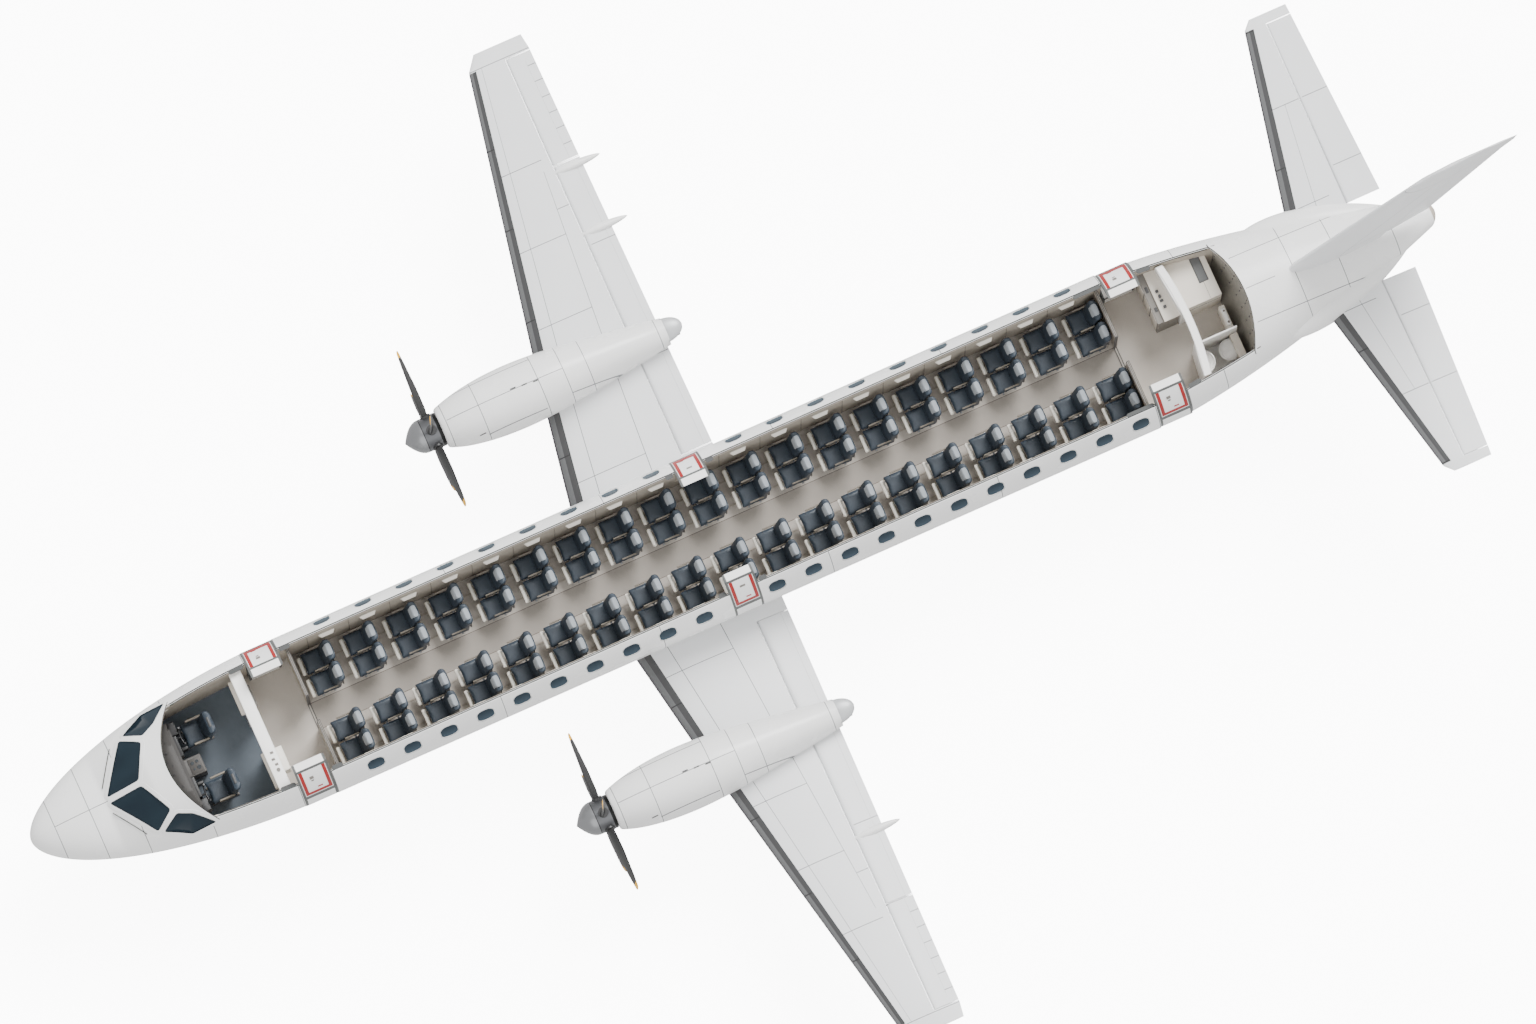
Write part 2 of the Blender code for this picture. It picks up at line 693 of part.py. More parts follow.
def build_stabiliser(side, sign):
    plane = Surface(STAB_TABLE, 0.55, STAB_Z, STAB_DIHEDRAL, sign)
    obj = make(f"stabiliser_{side}", *plane.solid([row[0] for row in STAB_TABLE]), "grey_paint")

    def hinge_of(span):
        return STAB_HINGE_X

    combine(obj, plane.slot(f"elevator_slot_{side}", (-1.0, 3.62), hinge_of))
    combine(obj, helper(f"stab_root_cut_{side}", *tail_rings(-GAP)))
    plane.hinged(f"elevator_{side}", (0.20, 3.61), (None, 3.62), hinge_of, "grey_paint")


def build_fin():
    fin = Surface(FIN_TABLE, 0.0, 1.30, 0.0, upright=True)
    obj = make("fin", *fin.solid([row[0] for row in FIN_TABLE]), "white_paint")

    def hinge_of(span):
        share = (1.30 + span - RUDDER_ROOT[1]) / (RUDDER_TIP[1] - RUDDER_ROOT[1])
        return RUDDER_ROOT[0] + share * (RUDDER_TIP[0] - RUDDER_ROOT[0])

    combine(obj, fin.slot("rudder_slot", (-0.90, 3.82), hinge_of))
    combine(obj, helper("fin_root_cut", *tail_rings(-GAP)))
    fin.hinged("rudder", (-0.04, 3.81), (None, 3.82), hinge_of, "white_paint", 0.34)


# Nacelles, engines and propellers

# (x, half width, top z, bottom z)
NACELLE_TABLE = [
    (4.60, 0.36, 0.20, -0.62),
    (4.35, 0.44, 0.29, -0.80),
    (3.90, 0.53, 0.38, -0.92),
    (3.30, 0.575, 0.42, -0.97),
    (2.60, 0.55, 0.40, -1.00),
    (1.90, 0.47, 0.30, -1.02),
    (1.20, 0.38, 0.16, -1.00),
    (0.70, 0.31, 0.02, -0.88),
    (NACELLE_REAR_X, 0.25, -0.12, -0.74),
]


def nacelle_rings(sign, grow=0.0):
    rings = []
    for x, half, top, bottom in NACELLE_TABLE:
        mid, tall = (top + bottom) / 2, (top - bottom) / 2
        turns = [2 * math.pi * (i + 0.5) / 24 for i in range(24)]
        rings.append([
            (x, sign * NACELLE_Y + (half + grow) * math.cos(t), mid + (tall + grow) * math.sin(t))
            for t in turns
        ])
    return loft(rings)


def heat_shield(centre_y):
    """The pointed shield over the exhaust pipe, an ellipse that closes towards the rear."""
    rings = []
    for share in (0.0, 0.3, 0.55, 0.75, 0.88, 0.97):
        x = NACELLE_REAR_X - GAP - SHIELD_LENGTH * share
        fat = math.sqrt(1 - share ** 2.2)
        ring = []
        for j in range(16):
            turn = 2 * math.pi * j / 16
            y = centre_y + SHIELD_HALF_WIDTH * fat * math.cos(turn)
            ring.append((x, y, SHIELD_Z + SHIELD_HALF_HEIGHT * fat * math.sin(turn)))
        rings.append(ring)
    return loft(rings)


def build_nacelle(side, sign):
    obj = make(f"nacelle_{side}", *nacelle_rings(sign), "white_paint")
    wing = wing_surface(sign)
    combine(obj, helper(f"nacelle_wing_cut_{side}", *wing.solid(WING_SPANS[:3], GAP * 2)))
    centre_y = sign * NACELLE_Y
    bore = [(ENGINE_SPAN[0] - GAP, ENGINE_RADIUS + GAP), (4.7, ENGINE_RADIUS + GAP)]
    combine(obj, helper(f"engine_bore_{side}", *turned_x(bore, centre_y, THRUST_Z, 20)))
    engine = [(ENGINE_SPAN[0], ENGINE_RADIUS), (ENGINE_SPAN[1], ENGINE_RADIUS),
              (ENGINE_SPAN[1], 0.06), (SPINNER_BASE_X - GAP, 0.06)]
    make(f"engine_{side}", *turned_x(engine, centre_y, THRUST_Z, 20), "steel")
    pipe = turned_x([(NACELLE_REAR_X - GAP, 0.17), (0.11, 0.15)], centre_y, EXHAUST_Z, 16)
    joined(f"exhaust_{side}", [pipe, heat_shield(centre_y)], "steel")


def blade_rings(turn, centre_y):
    """One blade as a loft from the spinner to the tip, thinning and untwisting outwards."""
    # (radius, chord, thickness, pitch in degrees)
    table = [(0.16, 0.13, 0.10, 40), (0.42, 0.22, 0.055, 38), (0.85, 0.27, 0.035, 28),
             (1.30, 0.22, 0.022, 22), (BLADE_TIP, 0.06, 0.012, 20)]
    rings = []
    for radius, chord, thick, pitch in table:
        angle = math.radians(pitch)
        ring = []
        for a, h in ((0.5, 0), (0.25, 0.5), (-0.2, 0.45), (-0.5, 0), (-0.2, -0.3), (0.25, -0.35)):
            across, out = a * chord, h * thick
            side = across * math.cos(angle) - out * math.sin(angle)
            fore = across * math.sin(angle) + out * math.cos(angle)
            y = radius * math.sin(turn) + side * math.cos(turn)
            z = radius * math.cos(turn) - side * math.sin(turn)
            ring.append((HUB_X + fore, centre_y + y, THRUST_Z + z))
        rings.append(ring)
    return loft(rings)


def build_propeller(side, sign):
    centre_y = sign * NACELLE_Y
    spinner = [(SPINNER_BASE_X, 0.31), (4.95, 0.30), (5.12, 0.24), (5.22, 0.15), (5.28, 0.05)]
    points, faces = turned_x(spinner, centre_y, THRUST_Z, 24)
    obj = make(f"propeller_{side}", points, faces, "blade_black", (HUB_X, centre_y, THRUST_Z))
    for i in range(BLADES):
        blade = helper(f"blade_{side}_{i}", *blade_rings(2 * math.pi * i / BLADES, centre_y))
        combine(obj, blade, "UNION")


def build_belly():
    rings = []
    for i in range(9):
        share = i / 8
        x = BELLY_X[0] + (BELLY_X[1] - BELLY_X[0]) * share
        bulge = 0.02 + 0.26 * math.sin(math.pi * share)
        arc = [math.radians(-135 + 90 * j / 10) for j in range(11)]
        ring = []
        for a in arc:
            deep = bulge * (0.6 + 0.4 * abs(math.sin(a)))
            ring.append((x, (RADIUS + bulge) * math.cos(a), (RADIUS + deep) * math.sin(a)))
        rings.append(ring)
    obj = make("belly_fairing", *loft(rings), "white_paint")
    combine(obj, body_cutter("belly_seat", *BODY_CUT_X))
    for side, sign in (("left", 1), ("right", -1)):
        wing = wing_surface(sign)
        combine(obj, helper(f"belly_wing_cut_{side}", *wing.solid(WING_SPANS[:2], GAP * 2)))


# Landing gear

def wheel_profile(offset, radius, width, hub):
    """(y, radius) rows of one tyre, from its inner to its outer side."""
    half = width / 2
    return [(offset - half, hub), (offset - half, radius * 0.62), (offset - half * 0.92, radius * 0.86),
            (offset - half * 0.55, radius), (offset + half * 0.55, radius),
            (offset + half * 0.92, radius * 0.86), (offset + half, radius * 0.62), (offset + half, hub)]


def bore_radius(pin, sides):
    """A faceted bore that a round pin turns in: its flats lie the gap away from the pin."""
    return (pin + GAP) / math.cos(math.pi / sides)


def build_wheels(name, x, y, z, radius, width, track, axle):
    """Two tyres on one axle. A flat of each tyre lies on the ground, as its contact patch."""
    sides = 28
    corner = radius / math.cos(math.pi / sides)
    rows = wheel_profile(-track, corner, width, axle) + wheel_profile(track, corner, width, axle)
    profile = [(y + offset, r) for offset, r in rows]
    return make(name, *turned_y(profile, x, z, sides, 0.5), "rubber", (x, y, z))


def joined(name, shapes, finish, pivot=(0, 0, 0)):
    """Overlapping closed shapes made one body."""
    obj = make(name, *shapes[0], finish, pivot)
    for i, shape in enumerate(shapes[1:]):
        combine(obj, helper(f"{name}_part_{i}", *shape), "UNION")
    return obj


def build_main_gear(side, sign):
    y, x = sign * NACELLE_Y, MAIN_GEAR_X
    axle_z = GROUND_Z + MAIN_WHEEL_RADIUS
    shapes = [
        tube((x, y, -0.80), (x, y, -1.72), 0.10, 0.10, 16),
        tube((x, y, -1.60), (x, y, axle_z + 0.02), 0.065, 0.065, 16),
        tube((x, y - 0.075, axle_z), (x, y + 0.075, axle_z), 0.11, 0.11, 20),
        tube((x, y, -1.45), (x + 0.85, y, -0.985), 0.045, 0.045, 10),
        box(x - 0.20, x - 0.06, y - 0.04, y + 0.04, -1.95, -1.62),
    ]
    leg = joined(f"main_leg_{side}", shapes, "steel")
    bore = bore_radius(MAIN_AXLE, 20)
    combine(leg, helper(f"main_bore_{side}", *turned_y([(y - 0.2, bore), (y + 0.2, bore)], x, axle_z, 20)))
    combine(leg, helper(f"leg_nacelle_cut_{side}", *nacelle_rings(sign, GAP)))
    sizes = (MAIN_WHEEL_RADIUS, MAIN_WHEEL_WIDTH, MAIN_WHEEL_TRACK, MAIN_AXLE)
    build_wheels(f"main_wheels_{side}", x, y, axle_z, *sizes)


def build_nose_gear():
    x, axle_z = NOSE_GEAR_X, GROUND_Z + NOSE_WHEEL_RADIUS
    collar_z = -1.78
    leg = joined("nose_leg", [
        tube((x, 0, -1.30), (x, 0, collar_z), 0.09, 0.09, 16),
        tube((x, 0, -1.62), (x - 0.75, 0, -1.38), 0.04, 0.04, 10),
    ], "steel")
    combine(leg, helper("nose_leg_skin_cut", *loft([full_ring(s, -GAP) for s in NOSE_STATIONS[2:]])))
    bore = bore_radius(STEERING_PIN, 32)
    bore_shape = tube((x, 0, collar_z - 0.1), (x, 0, collar_z + 0.16), bore, bore, 32)
    combine(leg, helper("nose_leg_bore", *bore_shape))
    fork = joined("nose_fork", [
        tube((x, 0, collar_z + 0.15), (x, 0, axle_z + 0.02), STEERING_PIN, STEERING_PIN, 16),
        tube((x, 0, collar_z - 0.006), (x, 0, collar_z - 0.09), 0.085, 0.085, 16),
        tube((x, -0.06, axle_z), (x, 0.06, axle_z), 0.085, 0.085, 18),
    ], "steel", (x, 0, collar_z))
    bore = bore_radius(NOSE_AXLE, 18)
    combine(fork, helper("nose_fork_bore", *turned_y([(-0.2, bore), (0.2, bore)], x, axle_z, 18)))
    sizes = (NOSE_WHEEL_RADIUS, NOSE_WHEEL_WIDTH, NOSE_WHEEL_TRACK, NOSE_AXLE)
    build_wheels("nose_wheels", x, 0, axle_z, *sizes)


# Interior

def seat_profile(x):
    """(x, z) points of one chair, from its front foot over the back to its rear foot."""
    rail = FLOOR_Z + SEAT_FOOT
    front = [(0.16, rail), (0.16, -0.36), (0.25, -0.33), (0.24, -0.19), (-0.10, -0.22)]
    back = [(-0.20, 0.40), (-0.31, 0.42), (-0.33, 0.34), (-0.23, -0.34), (-0.10, -0.37), (-0.10, rail)]
    return [(x + dx, z) for dx, z in front + back]


def pilot_seat_profile(x):
    floor = FLOOR_Z + GAP
    front = [(0.12, floor), (0.12, -0.36), (0.25, -0.33), (0.24, -0.20), (-0.12, -0.23)]
    back = [(-0.20, 0.34), (-0.32, 0.36), (-0.26, -0.34), (-0.12, -0.37), (-0.12, floor)]
    return [(x + dx, z) for dx, z in front + back]


def armrests(rows, near, far, count):
    """Boxes that reach forward from the backs of the chairs at rows, count of them from near to far."""
    shapes = []
    for x in rows:
        for i in range(count):
            y = near + (far - near - ARMREST_WIDTH) * i / (count - 1)
            ends = (x + ARMREST_X[0], x + ARMREST_X[1])
            shapes.append(box(*ends, y, y + ARMREST_WIDTH, *ARMREST_Z))
    return shapes


def on_side(shapes, sign):
    return [(mirrored(points, sign), faces) for points, faces in shapes]


def build_seats():
    near, far = SEAT_CENTRE_Y - SEAT_PAIR_WIDTH / 2, SEAT_CENTRE_Y + SEAT_PAIR_WIDTH / 2
    floor, rail = FLOOR_Z + GAP, FLOOR_Z + SEAT_FOOT
    for side, sign in (("left", 1), ("right", -1)):
        for place, first, end in SEAT_BLOCKS:
            rows = [FIRST_ROW_X - SEAT_PITCH * row for row in range(first, end)]
            front, back = rows[0] + SEAT_RAIL_AHEAD, rows[-1] - SEAT_RAIL_BEHIND
            outline = [(front, floor), (front, rail)]
            for x in rows:
                outline += seat_profile(x)
            outline += [(back, rail), (back, floor)]
            shapes = [prism_y(outline, near, far), *armrests(rows, near, far, 3)]
            joined(f"seats_{side}_{place}", on_side(shapes, sign), "seat_leather")
        shapes = [prism_y(pilot_seat_profile(PILOT_SEAT_X), *PILOT_SEAT_Y)]
        shapes += armrests([PILOT_SEAT_X], *PILOT_SEAT_Y, 2)
        joined(f"pilot_seat_{side}", on_side(shapes, sign), "seat_leather")


def build_interior():
    floor = FLOOR_Z + GAP
    half = LINING * RADIUS - GAP
    panel = [(11.42, floor), (11.42, 0.22), (11.10, 0.30), (11.02, 0.05), (11.12, -0.35), (11.12, floor)]
    points, faces = prism_y(panel, -PANEL_HALF_WIDTH, PANEL_HALF_WIDTH)
    obj = make("instrument_panel", points, faces, "panel_grey")
    aft, fore, reach, top = PEDESTAL
    combine(obj, helper("pedestal", *box(aft, fore, -reach, reach, floor, top)), "UNION")

    def wall(name, span, reach, top, way, finish):
        """A wall across the cabin with a way through it, held together by its sill."""
        outline = [(-reach, floor), (reach, floor), (reach, top), (way[1], top), (way[1], floor + SILL),
                   (way[0], floor + SILL), (way[0], top), (-reach, top)]
        return make(name, *prism_x(outline, *span), finish)

    bulkhead = wall("cockpit_bulkhead", BULKHEAD_X, PAST_THE_WALL, 0.70, (-0.28, 0.28), "white_paint")
    fit_inside(bulkhead, COCKPIT_STATIONS)
    for name, span in (("forward_partition", FORWARD_PARTITION_X), ("aft_partition", AFT_PARTITION_X)):
        wall(name, span, half, PARTITION_TOP, (-AISLE_HALF, AISLE_HALF), "lining")
    arch = wall("aft_arch", ARCH_X, PAST_THE_WALL, 0.76, (-0.15, 0.42), "white_paint")
    fit_inside(arch, TAIL_CAVITY_STATIONS)
    for name, span, inner, top in (("galley", GALLEY_X, -0.17, 0.35), ("stowage", REAR_ROOM_X, -0.20, 0.45)):
        unit = make(name, *box(*span, -PAST_THE_WALL, inner, floor, top), "lining")
        fit_inside(unit, TAIL_CAVITY_STATIONS)
    build_lavatory(floor)


def build_lavatory(floor):
    """Partition along the aisle, rear counter, toilet with its back, and basin on the arch."""
    aft, fore = REAR_ROOM_X
    x, y = TOILET
    lavatory = joined("lavatory", [
        box(aft, fore, 0.42, 0.45, floor, 0.55),
        box(aft, aft + 0.12, 0.44, PAST_THE_WALL, floor, 0.0),
        tube((x, y, floor), (x, y, -0.22), 0.16, 0.18, 16),
        box(x - 0.20, x, y - 0.09, y + 0.09, floor, -0.24),
        box(fore - 0.175, fore, 0.44, PAST_THE_WALL, -0.16, 0.08),
    ], "white_paint")
    fit_inside(lavatory, TAIL_CAVITY_STATIONS)


def build():
    clear_scene()
    build_radome()
    build_nose()
    build_cabin()
    build_doors()
    build_tail()
    build_belly()
    build_fin()
    for side, sign in (("left", 1), ("right", -1)):
        build_wing(side, sign)
        build_stabiliser(side, sign)
        build_nacelle(side, sign)
        build_propeller(side, sign)
        build_main_gear(side, sign)
    build_nose_gear()
    build_seats()
    build_interior()
    for obj in bpy.data.objects:
        obj.data.shade_smooth()
        obj.data.set_sharp_from_angle(angle=math.radians(35))


build()
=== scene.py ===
# %% [markdown]
# # A turboprop airliner with its cabin roof cut away
# The aircraft stands on its landing gear and is seen from high above, so that the picture shows both the
# painted outside and the whole cabin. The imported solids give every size. Each cell puts one finished piece
# or one finish around them, and says how and why.

# %% Load the frame
import math

import bmesh
import bpy
import numpy as np
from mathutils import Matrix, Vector


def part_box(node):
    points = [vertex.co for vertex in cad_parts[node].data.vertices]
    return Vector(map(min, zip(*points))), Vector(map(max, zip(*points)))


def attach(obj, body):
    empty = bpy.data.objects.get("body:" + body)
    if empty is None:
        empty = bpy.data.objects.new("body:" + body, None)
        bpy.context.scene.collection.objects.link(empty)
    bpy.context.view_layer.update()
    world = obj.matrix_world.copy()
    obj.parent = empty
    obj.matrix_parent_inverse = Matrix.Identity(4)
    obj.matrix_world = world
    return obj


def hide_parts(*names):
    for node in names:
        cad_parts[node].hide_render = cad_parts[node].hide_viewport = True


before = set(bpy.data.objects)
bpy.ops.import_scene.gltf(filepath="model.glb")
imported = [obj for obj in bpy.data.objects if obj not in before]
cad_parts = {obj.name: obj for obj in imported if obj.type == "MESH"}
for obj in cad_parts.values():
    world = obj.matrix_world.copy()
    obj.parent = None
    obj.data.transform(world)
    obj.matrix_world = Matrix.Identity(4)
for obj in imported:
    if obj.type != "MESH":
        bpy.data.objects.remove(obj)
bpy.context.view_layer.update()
SIDES = (("left", 1), ("right", -1))

# %% [markdown]
# ## The camera
# The picture looks almost straight down, from a long way off, with the nose at the lower left. A long lens
# far away gives the same near-parallel view. One point of the cabin axis and the scale of the picture in
# pixels for each metre fix where the camera stands.

# %% Camera
PICTURE = (1536, 1024)
PIXELS_PER_METRE = 57.66
AZIMUTH, ELEVATION = math.radians(155.9), math.radians(82.0)
AXIS_POINT = Vector((-0.05, 0.0, 2.55))
AXIS_PIXEL = (771.3, 509.3)
LENS, SENSOR = 400.0, 36.0

back = Vector((math.sin(AZIMUTH) * math.cos(ELEVATION), -math.cos(AZIMUTH) * math.cos(ELEVATION),
               math.sin(ELEVATION)))
right = Vector((math.cos(AZIMUTH), math.sin(AZIMUTH), 0.0))
up = back.cross(right)
offset = right * (PICTURE[0] / 2 - AXIS_PIXEL[0]) + up * (AXIS_PIXEL[1] - PICTURE[1] / 2)
target = AXIS_POINT + offset / PIXELS_PER_METRE
distance = PICTURE[0] / PIXELS_PER_METRE * LENS / SENSOR
camera = bpy.data.objects.new("camera", bpy.data.cameras.new("camera"))
camera.data.lens, camera.data.sensor_width = LENS, SENSOR
camera.data.clip_start, camera.data.clip_end = 1.0, 2000.0
camera.rotation_mode = "QUATERNION"
camera.location = target + back * distance
camera.rotation_quaternion = (-back).to_track_quat("-Z", "Y")
bpy.context.collection.objects.link(camera)
bpy.context.scene.camera = camera
print("camera", round(distance, 1), "m away")

# %% [markdown]
# ## Colours and nodes
# Colours are written as sRGB hex, as a paint chart gives them, and one function turns them to the linear
# values that a renderer needs. A second one adds a node with its settings and links, and every material
# below is built with it.

# %% Colour and node helpers
def linear(code):
    """sRGB hex to linear RGBA: each channel is ((c + 0.055) / 1.055) ** 2.4 above 0.04045, else c / 12.92."""
    values = [int(code[i:i + 2], 16) / 255 for i in (1, 3, 5)]
    return (*[((c + 0.055) / 1.055) ** 2.4 if c > 0.04045 else c / 12.92 for c in values], 1.0)


def add(tree, kind, inputs=None, **settings):
    """Adds a node, sets its properties, and gives each input a value or a link."""
    node = tree.nodes.new(kind)
    for key, value in settings.items():
        setattr(node, key, value)
    for key, value in (inputs or {}).items():
        if isinstance(value, bpy.types.NodeSocket):
            tree.links.new(value, node.inputs[key])
        else:
            node.inputs[key].default_value = value
    return node


def material(name, code, roughness, metallic=0.0, **sockets):
    """A Principled material with its base values. Returns the material, its tree and its shader."""
    made = bpy.data.materials.new(name)
    made.use_nodes = True
    shader = made.node_tree.nodes["Principled BSDF"]
    values = {"Base Color": linear(code), "Roughness": roughness, "Metallic": metallic, **sockets}
    for key, value in values.items():
        shader.inputs[key].default_value = value
    return made, made.node_tree, shader


# %% [markdown]
# ## Patterns drawn by coordinates
# Panel seams, bands and marks are thin rectangles on a surface. Each one is a place and a half width along
# two coordinates, tested with Compare nodes, so a seam stays sharp at any size. The coordinates are either
# metres of the aircraft itself or the piece's own flat map, where u runs across and v along it.

# %% Pattern helpers
def coordinates(tree, flat=False):
    """The three object coordinates in metres, or the piece's own u and v."""
    place = add(tree, "ShaderNodeTexCoord")
    source = add(tree, "ShaderNodeUVMap", uv_map="flat").outputs[0] if flat else place.outputs["Object"]
    return add(tree, "ShaderNodeSeparateXYZ", {0: source}).outputs, place.outputs["Object"]


def span_mask(tree, value, low, high):
    """1 where the value lies between low and high, else 0."""
    half = (high - low) / 2
    return add(tree, "ShaderNodeMath", {0: value, 1: low + half, 2: half}, operation="COMPARE").outputs[0]


def joined(tree, operation, first, second):
    """The product of two masks, which is where both hold, or their maximum, which is where either does."""
    return add(tree, "ShaderNodeMath", {0: first, 1: second}, operation=operation).outputs[0]


def rectangles(tree, u, v, rows):
    """1 inside any of the (u low, u high, v low, v high) rectangles. None leaves a side open."""
    found = None
    for u0, u1, v0, v1 in rows:
        mask = span_mask(tree, u, u0, u1) if u0 is not None else None
        if v0 is not None:
            across = span_mask(tree, v, v0, v1)
            mask = joined(tree, "MULTIPLY", mask, across) if mask else across
        found = joined(tree, "MAXIMUM", found, mask) if found else mask
    return found


def over(tree, mask, below, above):
    """The colour above where the mask is 1, and the colour below where it is 0."""
    return add(tree, "ShaderNodeMix", {0: mask, 6: below, 7: above}, data_type="RGBA").outputs[2]


def shades(tree, place, scale, code_a, code_b, detail=3.0):
    """Two close shades mixed by a noise in object space, and the noise itself."""
    noise = add(tree, "ShaderNodeTexNoise", {"Vector": place, "Scale": scale, "Detail": detail}).outputs[0]
    return over(tree, noise, linear(code_a), linear(code_b)), noise


def bumped(tree, shader, height, strength, distance=0.002):
    bump = add(tree, "ShaderNodeBump", {"Height": height, "Strength": strength, "Distance": distance})
    tree.links.new(bump.outputs[0], shader.inputs["Normal"])


def roughened(tree, shader, noise, low, high):
    spread = add(tree, "ShaderNodeMapRange", {0: noise, 3: low, 4: high})
    tree.links.new(spread.outputs[0], shader.inputs["Roughness"])


def mottled(name, scale, code_a, code_b, roughness, metallic=0.0, **sockets):
    """A material that drifts between two close shades, with its tree, shader, coordinates and noise."""
    made, tree, shader = material(name, code_a, roughness, metallic, **sockets)
    place = coordinates(tree)[1]
    colour, noise = shades(tree, place, scale, code_a, code_b)
    tree.links.new(colour, shader.inputs["Base Color"])
    return made, tree, shader, place, noise


# %% [markdown]
# ## Surfaces from formulas
# Every new piece is a grid of points: a closed ring of points carried along a line. The ring and the line
# are numpy arrays, so a whole wing or tyre is one expression, and the faces follow from the grid's shape.

# %% Mesh helpers
SMOOTH_ANGLE = math.radians(38)


def xyz(x, y, z):
    """Points from three arrays or numbers, each stretched to the shape of the largest."""
    return np.stack(np.broadcast_arrays(x, y, z), -1)


def flat_map(u, v):
    return np.stack(np.broadcast_arrays(u, v), -1)


def around(centre, half):
    return centre - half, centre + half


def grid_faces(rows, columns, wrap_rows=False, wrap_columns=True):
    """Quads between neighbours of a rows x columns grid, wrapped round in either direction."""
    r = np.arange(rows if wrap_rows else rows - 1)[:, None]
    c = np.arange(columns if wrap_columns else columns - 1)[None, :]
    r2, c2 = (r + 1) % rows, (c + 1) % columns
    corners = (r * columns + c, r2 * columns + c, r2 * columns + c2, r * columns + c2)
    return np.stack(corners, -1).reshape(-1, 4)


def ring_solid(grid):
    """A closed solid from a grid of rings: quads between the rings and one flat face at each end."""
    rows, columns = grid.shape[:2]
    faces = grid_faces(rows, columns).tolist()
    faces += [list(range(columns))[::-1], list(range((rows - 1) * columns, rows * columns))]
    return grid.reshape(-1, 3), faces


def band_solid(grid):
    """A closed band, such as a frame or a tyre: a grid that is joined in both directions."""
    return grid.reshape(-1, 3), grid_faces(*grid.shape[:2], wrap_rows=True).tolist()


def merged(parts):
    """Several (points, faces) as one, with each one's face numbers moved past the points before it."""
    starts = np.cumsum([0] + [len(points) for points, _ in parts])
    faces = [[i + start for i in face] for (_, part), start in zip(parts, starts) for face in part]
    return np.concatenate([points for points, _ in parts]), faces


def mesh_of(name, shape, uv=None):
    """A mesh from (points, faces), with its faces turned outwards and its flat map if it has one."""
    points, faces = shape
    mesh = bpy.data.meshes.new(name)
    mesh.from_pydata(np.asarray(points, float).tolist(), [], [list(face) for face in faces])
    if uv is not None:
        loops = np.empty(len(mesh.loops), np.int32)
        mesh.loops.foreach_get("vertex_index", loops)
        flat = np.asarray(uv, np.float32).reshape(-1, 2)[loops]
        mesh.uv_layers.new(name="flat").data.foreach_set("uv", flat.ravel())
    bm = bmesh.new()
    bm.from_mesh(mesh)
    bmesh.ops.recalc_face_normals(bm, faces=bm.faces)
    bm.to_mesh(mesh)
    bm.free()
    return mesh


def settle(obj, body, replaces=(), sharp=SMOOTH_ANGLE):
    """Shades a finished mesh smooth below the given angle, and says what it rides on and stands for."""
    obj.data.shade_smooth()
    obj.data.set_sharp_from_angle(angle=sharp)
    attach(obj, body)
    if replaces:
        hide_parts(*replaces)


def piece(name, shape, finish, body="airframe", replaces=(), cuts=(), sharp=SMOOTH_ANGLE, uv=None):
    """A finished object: its mesh, what is cut from it, its finish, and the body that it rides."""
    obj = bpy.data.objects.new(name, mesh_of(name, shape, uv))
    bpy.context.collection.objects.link(obj)
    for one in finish if isinstance(finish, (list, tuple)) else [finish]:
        obj.data.materials.append(one)
    for cutter in cuts:
        cut(obj, cutter)
    settle(obj, body, replaces, sharp)
    return obj


def applied(obj, modifier):
    with bpy.context.temp_override(object=obj, active_object=obj):
        bpy.ops.object.modifier_apply(modifier=modifier)


def cut(obj, shape):
    """Cuts a solid given as (points, faces) from a piece, and keeps the result as the piece's mesh."""
    tool = bpy.data.objects.new("cutter", mesh_of("cutter", shape))
    bpy.context.collection.objects.link(tool)
    modifier = obj.modifiers.new("cut", "BOOLEAN")
    modifier.operation, modifier.solver, modifier.object = "DIFFERENCE", "EXACT", tool
    applied(obj, "cut")
    bpy.data.objects.remove(tool)


def mirror_y(shape, sign=-1):
    """The same shape on the other side, or as it is where sign is 1."""
    points, faces = shape
    return points * np.array([1.0, sign, 1.0]), faces


def moved(shape, by):
    return shape[0] + np.array(by, float), shape[1]


def rounded_bar(x, y, z, radius=0.01, steps=3):
    """A bar with rounded edges and corners from three (low, high) pairs.

    Each corner of the box is an eighth of a sphere: a unit vector's sign picks the corner, and the vector
    times the radius is added to it.
    """
    low, high = np.array([x, y, z], float).T
    quarter = np.linspace(0, 90, steps + 1)
    turn = np.radians((np.arange(4)[:, None] * 90 + quarter).ravel())
    tilt = np.radians(np.concatenate([np.linspace(-90, 0, steps + 1), quarter]))[:, None]
    side = np.repeat([[1, 1], [-1, 1], [-1, -1], [1, -1]], steps + 1, axis=0)
    rise = np.repeat([-1, 1], steps + 1)[:, None]
    unit = xyz(np.cos(tilt) * np.cos(turn), np.cos(tilt) * np.sin(turn), np.sin(tilt))
    corner = xyz(side[:, 0], side[:, 1], rise)
    return ring_solid(np.where(corner > 0, high - radius, low + radius) + unit * radius)


def bar(start, end, radius, end_radius=None, sides=24):
    """A round bar between two points: start + t (end - start) + r (cos a side + sin a up)."""
    start, end = Vector(start), Vector(end)
    along = (end - start).normalized()
    side = along.orthogonal().normalized()
    turns = np.linspace(0, 2 * np.pi, sides, endpoint=False)[:, None]
    circle = np.cos(turns) * np.array(side) + np.sin(turns) * np.array(along.cross(side))
    radii = (radius, radius if end_radius is None else end_radius)
    return ring_solid(np.stack([np.array(p) + r * circle for p, r in zip((start, end), radii)]))


def post(x, y, low, high, *sizes, **sides):
    """An upright round bar."""
    return bar((x, y, low), (x, y, high), *sizes, **sides)


